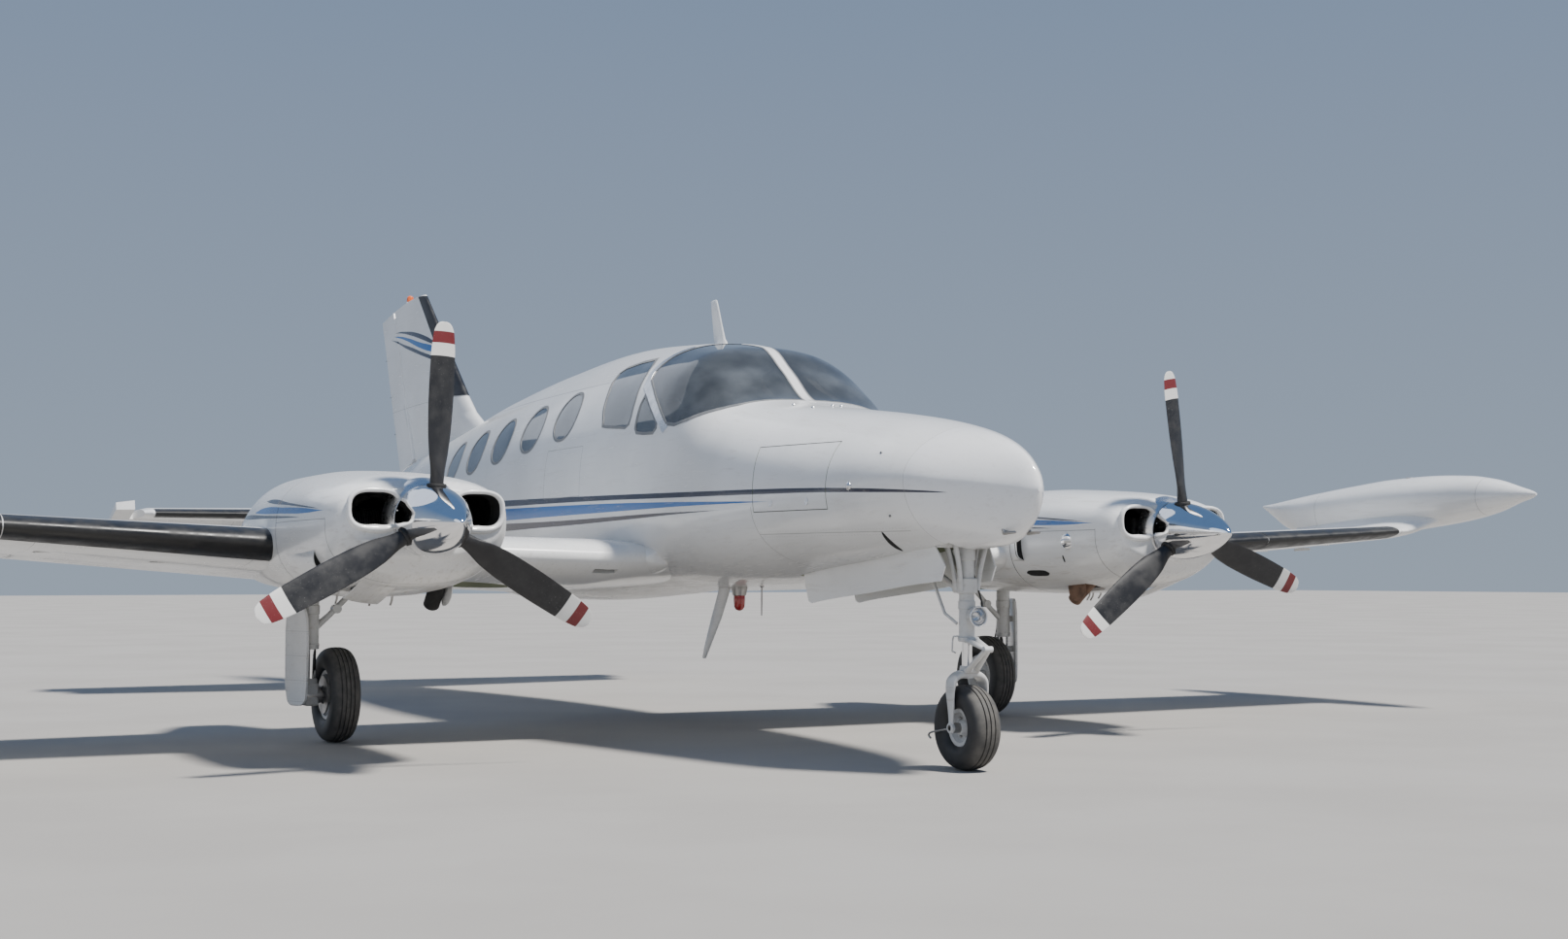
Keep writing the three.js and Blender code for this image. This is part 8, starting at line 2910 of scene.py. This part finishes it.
        axle = stepped_bar("axle", (-0.104, axle_y, axle_z), (0.104, axle_y, axle_z),
                           [(0, 0.0160), (0.0215, 0.0162), (0.022, 0.0199), (0.186, 0.0199),
                            (0.1865, 0.0162), (0.208, 0.0160)], 32)
        carve(axle,
              stepped_bar("bore", (-0.12, axle_y, axle_z), (0.12, axle_y, axle_z),
                          [(0, 0.0115), (0.24, 0.0115)], 28))
        parts = [axle]
        for way in (-1, 1):
            parts.append(stepped_bar("s", (way * 0.0485, axle_y, axle_z),
                                     (way * 0.0825, axle_y, axle_z), [(0, 0.025), (0.034, 0.025)],
                                     28))
        parts.append(bar("hook",
                         self.curve([(-0.099, axle_y + 0.02, axle_z - 0.006),
                                     (-0.104, axle_y + 0.10, axle_z - 0.02),
                                     (-0.106, axle_y + 0.17, axle_z - 0.034),
                                     (-0.104, axle_y + 0.185, axle_z - 0.048),
                                     (-0.100, axle_y + 0.172, axle_z - 0.062)]), 0.005, 12,
                         (1, 0, 0)))
        dress(joined("nose_axle", parts), body, (STEEL,))
        # Near-black discs inside the axle's bore, painted shade in the hole.
        dark = [stepped_bar("d", (way * 0.09, axle_y, axle_z), (way * 0.0925, axle_y, axle_z),
                            [(0, 0.0116), (0.0025, 0.0116)], 24) for way in (-1, 1)]
        dress(joined("nose_axle_holes", dark), body, (BLACK_AND_SHADE,))
        self.links("nose", 0.0, y, 0.640, 0.598, 0.490, 0.178, -1, both_sides=False)

    def nose_doors(self) -> None:
        """The two long nose gear doors hanging open, with their stiffening ribs."""
        front, rear, drop, x = -4.48, -3.18, 0.165, 0.1645
        y = np.linspace(front, rear, 40)
        edge = FUSELAGE.cap_z(y, 0.165, above=False)
        t = np.clip(0.35 + (y - front) / 0.05, 0, 1)
        end = np.clip((rear - y) / 0.04, 0, 1)
        low = edge - drop * np.sqrt(np.clip(t, 0.02, 1)) * (0.35 + 0.65 * np.clip(end, 0, 1))
        s = np.linspace(0, 1, 14)
        z = (edge + 0.022)[:, None] + (low - edge - 0.022)[:, None] * s
        bend = x - 0.010 * np.sin(math.pi * s * 0.5)[None] ** 2 + 0 * z
        forward = 0.085 * s[None] * np.exp(-(((y - front) / 0.22) ** 2))[:, None]
        outer = np.stack([bend, y[:, None] - forward, z], -1)
        door = thick_sheet("door", outer, outer - [0.008, 0, 0])
        both(door, "nose_gear_door_skin_{}", AIRFRAME, (PLAIN_PAINT,),
             "nose_gear_door_{}", degrees=50)
        ribs = []
        for at in (-4.25, -3.95, -3.65, -3.35):
            base = float(FUSELAGE.cap_z(at, 0.165, above=False))
            ribs.append(block("rib", (x - 0.026, at - 0.008, base - 0.12),
                              (x - 0.014, at + 0.008, base + 0.02)))
        both(joined("ribs", ribs), "nose_door_ribs_{}", AIRFRAME, (PRIMER,))

    def build(self) -> None:
        """Builds the whole landing gear."""
        for side in Side:
            word = side.word
            self.wheel(f"main_{word}", f"{word}_main_wheel",
                       (side.value * self.main_x, self.axle_y, self.main_z), 0.2724, 0.084,
                       (0.1275, 0.056), (-0.036, -0.012, 0.012, 0.036),
                       (f"main_{word}_tyre", f"main_{word}_rim"))
        self.wheel("nose", "nose_wheel", (0.0, *self.nose_axle), 0.2097, 0.08, (0.0795, 0.046),
                   (-0.026, 0.0, 0.026), ("nose_tyre", "nose_rim"))
        self.main_leg()
        self.nose_leg()
        self.nose_doors()


@dataclass
class Cabin:
    """Seats with padded cushions, the instrument panel, control wheels and pedestal."""

    seat_x: float = 0.33
    width: float = 0.44
    rows: tuple[tuple[float, int], ...] = ((-1.9, 1), (-0.95, -1), (0.25, 1), (1.3, 1))
    panel_y: float = -2.56

    @staticmethod
    def floor_z(y: float) -> float:
        """Height of the floor at a station."""
        return 1.205 - 0.061 * (y + 1.5)

    def cushion(self, name: str, low: Sequence[float], high: Sequence[float],
                lean: float = 0.0) -> Piece:
        """A padded block, blown up as cloth, its swelling capped.

        Args:
            name: Piece name.
            low: Lowest corner.
            high: Highest corner.
            lean: How far its top leans back along Y.

        Returns:
            The cushion.
        """
        pad = soften(block(name, low, high), 0.02, 3)
        remesh = pad.modifiers.new("remesh", "REMESH")
        remesh.mode = "VOXEL"
        remesh.voxel_size = 0.0125
        self.apply(pad)
        rest = corners_of(pad)
        cloth = pad.modifiers.new("cloth", "CLOTH")
        settings = cloth.settings
        settings.use_pressure = True
        settings.uniform_pressure_force = 4.0
        settings.effector_weights.gravity = 0.0
        settings.mass = 0.3
        settings.tension_stiffness = settings.compression_stiffness = 18.0
        cloth.point_cache.frame_start, cloth.point_cache.frame_end = 1, 20
        scene = bpy.context.scene
        for frame in range(1, 21):
            scene.frame_set(frame)
        self.apply(pad)
        scene.frame_set(1)
        moved_by = corners_of(pad) - rest
        far = np.linalg.norm(moved_by, axis=1, keepdims=True)
        set_corners(pad, rest + moved_by * np.minimum(1.0, 0.026 / np.maximum(far, 1e-6)))
        if lean:
            points = corners_of(pad)
            points[:, 1] += lean * (points[:, 2] - low[2]) / (high[2] - low[2])
            set_corners(pad, points)
        return pad

    @staticmethod
    def apply(piece: Piece) -> None:
        """Bakes a piece's modifiers into its mesh."""
        graph = bpy.context.evaluated_depsgraph_get()
        mesh = bpy.data.meshes.new_from_object(piece.evaluated_get(graph))
        piece.modifiers.clear()
        old, piece.data = piece.data, mesh
        mesh.name = piece.name
        bpy.data.meshes.remove(old)

    def padded_copy(self, source: Piece, name: str, at: Sequence[float], facing: int) -> None:
        """A copy of a cushion at a seat, turned to face forward or back."""
        twin = copy_of(source, name)
        points = corners_of(twin)
        points[:, 1] *= facing
        if facing < 0:
            twin.data.flip_normals()
        set_corners(twin, points + np.asarray(at, float))
        dress(twin, AIRFRAME, (LEATHER,), degrees=60)

    def seats(self) -> None:
        """Every seat: base, padded cushion, padded back with its shell, and headrest."""
        half = self.width / 2
        cushion = self.cushion("cushion", (-half + 0.015, -0.215, 0.0),
                               (half - 0.015, 0.215, 0.105))
        back = self.cushion("back", (-half + 0.02, 0.0, 0.0), (half - 0.02, 0.07, 0.50), 0.09)
        for side in Side:
            for row, (y, facing) in enumerate(self.rows[:3] if side is Side.LEFT else self.rows):
                x, z = side.value * self.seat_x, self.floor_z(y)
                tag = f"{side.word}_{row + 1}"
                foot = y + facing * 0.19
                self.padded_copy(cushion, f"seat_cushion_{tag}", (x, y, z + 0.225), facing)
                self.padded_copy(back, f"seat_back_{tag}", (x, foot + facing * 0.008, z + 0.338),
                                 facing)
                head = soften(block("head", (x - 0.105, -0.033, z + 0.85),
                                    (x + 0.105, 0.033, z + 0.985)), 0.028, 4)
                points = corners_of(head)
                points[:, 1] = foot + facing * (0.145 + points[:, 1])
                set_corners(head, points)
                if facing < 0:
                    head.data.flip_normals()
                head.name = f"seat_headrest_{tag}"
                dress(head, AIRFRAME, (LEATHER,), degrees=60)
                base = soften(block("base", (x - half + 0.06, y - 0.15, z + 0.001),
                                    (x + half - 0.06, y + 0.15, z + 0.215)), 0.012)
                base.name = f"seat_base_{tag}"
                nodes = (f"seats_{side.word}",) if row == 0 else ()
                dress(base, AIRFRAME, (PANEL_BLACK,), nodes)
                shell = soften(block("shell", (x - half + 0.03, -0.012, z + 0.33),
                                     (x + half - 0.03, 0.012, z + 0.84)), 0.01)
                points = corners_of(shell)
                points[:,
                       1] = foot + facing * (0.082 + points[:, 1] + 0.09 * (points[:, 2] - z - 0.33)
                                             / 0.5)
                set_corners(shell, points)
                if facing < 0:
                    shell.data.flip_normals()
                shell.name = f"seat_shell_{tag}"
                dress(shell, AIRFRAME, (PANEL_BLACK,))
        drop(cushion)
        drop(back)

    def panel(self) -> None:
        """The board with round dials, the glare shield, the pedestal and both control wheels."""
        y = self.panel_y
        room = FUSELAGE.solid("room", -3.0, 1.9, -0.052, 0.05, 96)
        board = carve(block("instrument_board", (-0.8, y - 0.04, 1.5), (0.8, y, 1.885)), room,
                      Cut.KEEP, keep_tool=True)
        dress(board, AIRFRAME, (PANEL_BLACK,), ("instrument_panel",))
        shield = carve(block("glare_shield", (-0.8, -2.924, 1.878), (0.8, y + 0.06, 1.905)), room,
                       Cut.KEEP)
        dress(soften(shield, 0.006), AIRFRAME, (PANEL_BLACK,))
        rims, faces = [], []
        places = [(sx * (0.36 + dx), z) for sx in (-1, 1) for dx in (-0.15, -0.03, 0.09) for z
                  in (1.80, 1.69)]
        places += [(dx, z) for dx in (-0.10, -0.035, 0.035, 0.10) for z in (1.82, 1.76)]
        for x, z in places:
            size = 0.044 if abs(x) > 0.15 else 0.026
            rims.append(turned("rim",
                               [(size, 0.0), (size + 0.005, 0.0), (size + 0.004, 0.006),
                                (size, 0.005)], (0, 0, 0), 28))
            rim = rims[-1]
            points = corners_of(rim)
            set_corners(rim, np.stack([points[:, 1] + x, points[:, 0] + y, points[:, 2] + z], -1))
            rim.data.flip_normals()
            faces.append(stepped_bar("face", (x, y - 0.002, z), (x, y + 0.002, z),
                                     [(0, size), (0.004, size)], 28))
        dress(joined("dial_rims", rims), AIRFRAME, (BARE_METAL,))
        dress(joined("dial_faces", faces), AIRFRAME, (BLACK_AND_SHADE,))
        base = soften(block("pedestal", (-0.11, y - 0.03, self.floor_z(y) + 0.001),
                            (0.11, y + 0.26, 1.5)), 0.02, 3)
        dress(base, AIRFRAME, (PANEL_BLACK,))
        levers = []
        for k in range(6):
            x = -0.075 + 0.03 * k
            levers.append(bar("lever",
                              [(x, y + 0.10, 1.49), (x, y + 0.11, 1.56), (x, y + 0.125, 1.585)],
                              [0.004, 0.004, 0.011], 12, (1, 0, 0)))
        dress(joined("power_levers", levers), AIRFRAME, (STEEL,))
        for side in Side:
            x = side.value * 0.36
            parts = [bar("shaft", [(x, y, 1.64), (x, y + 0.10, 1.645), (x, y + 0.19, 1.65)], 0.013,
                         20, (1, 0, 0)),
                     bar("grip",
                         Gear.curve([(x - 0.095, y + 0.195, 1.775), (x - 0.105, y + 0.195, 1.72),
                                     (x - 0.085, y + 0.197, 1.665), (x, y + 0.2, 1.652),
                                     (x + 0.085, y + 0.197, 1.665), (x + 0.105, y + 0.195, 1.72),
                                     (x + 0.095, y + 0.195, 1.775)]), 0.014, 18, (0, 1, 0)),
                     stepped_bar("boss", (x, y + 0.17, 1.65), (x, y + 0.212, 1.652),
                                 [(0, 0.02), (0.02, 0.033), (0.042, 0.03)], 28)]
            dress(joined(f"control_wheel_{side.word}", parts), AIRFRAME, (PANEL_BLACK,))

    def build(self) -> None:
        """Builds the cabin's furniture."""
        self.seats()
        self.panel()


# ---------------------------------------------------------------- studio


@dataclass
class Studio:
    """Camera, floor and soft lights."""

    camera_at: tuple[float, float, float] = (-5.43, -12.527, 0.953)
    turn_degrees: tuple[float, float, float] = (93.15, 0.0, -28.81)
    lens_mm: float = 44.61
    floor_half: float = 90.0
    floor_tones: tuple[Colour, Colour] = ((0.345, 0.330, 0.310), (0.310, 0.296, 0.278))
    sky_tones: tuple[Colour, Colour] = ((0.50, 0.60, 0.74), (0.16, 0.30, 0.58))
    sky_strength: float = 0.66

    def camera(self) -> None:
        """The camera at the photograph's viewing angle."""
        data = bpy.data.cameras.new("camera")
        data.lens, data.sensor_width, data.clip_end = self.lens_mm, 36.0, 400.0
        camera = bpy.data.objects.new("camera", data)
        camera.location = self.camera_at
        camera.rotation_euler = [math.radians(v) for v in self.turn_degrees]
        bpy.context.scene.collection.objects.link(camera)
        bpy.context.scene.camera = camera

    def floor(self) -> None:
        """A wide plain pale floor."""
        half = self.floor_half
        corners = np.array([(-half, -half, 0), (half, -half, 0), (half, half, 0), (-half, half, 0)])
        floor = new_piece("studio_floor", corners, [(0, 1, 2, 3)], closed=False)
        sheet = NodeSheet("studio_floor")
        clouds = sheet.noise(0.6, 4)
        floor.data.materials.append(sheet.finish(
            Base_Color=sheet.mix(sheet.ramp(clouds, 0.3, 0.7), *self.floor_tones),
            Roughness=sheet.ramp(clouds, 0.3, 0.7, 0.75, 0.9)))
        floor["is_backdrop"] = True

    def lights(self) -> None:
        """A large warm key light, two fills and a pale sky."""
        for name, at, aim, size, power, colour in (
                ("key_light", (3.5, -6.5, 13.0), (0.0, -1.5, 1.2), 0.12, 7.2, (1.0, 0.97, 0.92)),
                ("fill_light", (-14.0, -9.0, 8.0), (0.0, -0.5, 1.4), 0.7, 0.3, (0.92, 0.96, 1.0)),
                ("rear_light", (-4.0, 14.0, 11.0), (0.0, 1.0, 1.5), 0.7, 0.3, (0.95, 0.97, 1.0))):
            data = bpy.data.lights.new(name, "SUN")
            data.angle, data.energy, data.color = size, power, colour
            light = bpy.data.objects.new(name, data)
            light.location = at
            way = np.asarray(aim, float) - np.asarray(at, float)
            way /= np.linalg.norm(way)
            light.rotation_euler = (math.acos(-way[2]), 0.0,
                                    math.atan2(way[1], way[0]) - math.pi / 2)
            bpy.context.scene.collection.objects.link(light)
        world = bpy.data.worlds.new("studio_sky")
        world.use_nodes = True
        tree = world.node_tree
        sky = tree.nodes["Background"]
        coords = tree.nodes.new("ShaderNodeTexCoord")
        split = tree.nodes.new("ShaderNodeSeparateXYZ")
        blend = tree.nodes.new("ShaderNodeMapRange")
        mix = tree.nodes.new("ShaderNodeMix")
        mix.data_type = "RGBA"
        tree.links.new(coords.outputs["Generated"], split.inputs[0])
        tree.links.new(split.outputs[2], blend.inputs[0])
        blend.inputs[1].default_value, blend.inputs[2].default_value = 0.0, 0.6
        tree.links.new(blend.outputs[0], mix.inputs[0])
        mix.inputs[6].default_value = (*self.sky_tones[0], 1.0)
        mix.inputs[7].default_value = (*self.sky_tones[1], 1.0)
        tree.links.new(mix.outputs[2], sky.inputs[0])
        sky.inputs[1].default_value = self.sky_strength
        bpy.context.scene.world = world

    def build(self) -> None:
        """Sets up the studio."""
        self.camera()
        self.floor()
        self.lights()


ASSEMBLIES = (Studio(), Fuselage(), Wings(), Tail(), Nacelles(), Propellers(), Gear(), Cabin())


def main() -> tuple[np.ndarray, np.ndarray]:
    """Loads the frame and builds every sub-assembly in order.

    Returns:
        The CAD model's lowest and highest corners.
    """
    logging.basicConfig(level=logging.INFO, format="%(name)s: %(message)s")
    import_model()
    low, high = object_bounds()
    for assembly in ASSEMBLIES:
        log.info("building %s", type(assembly).__name__)
        assembly.build()
    return np.array(low), np.array(high)


if __name__ == "__main__":
    cad_low, cad_high = main()
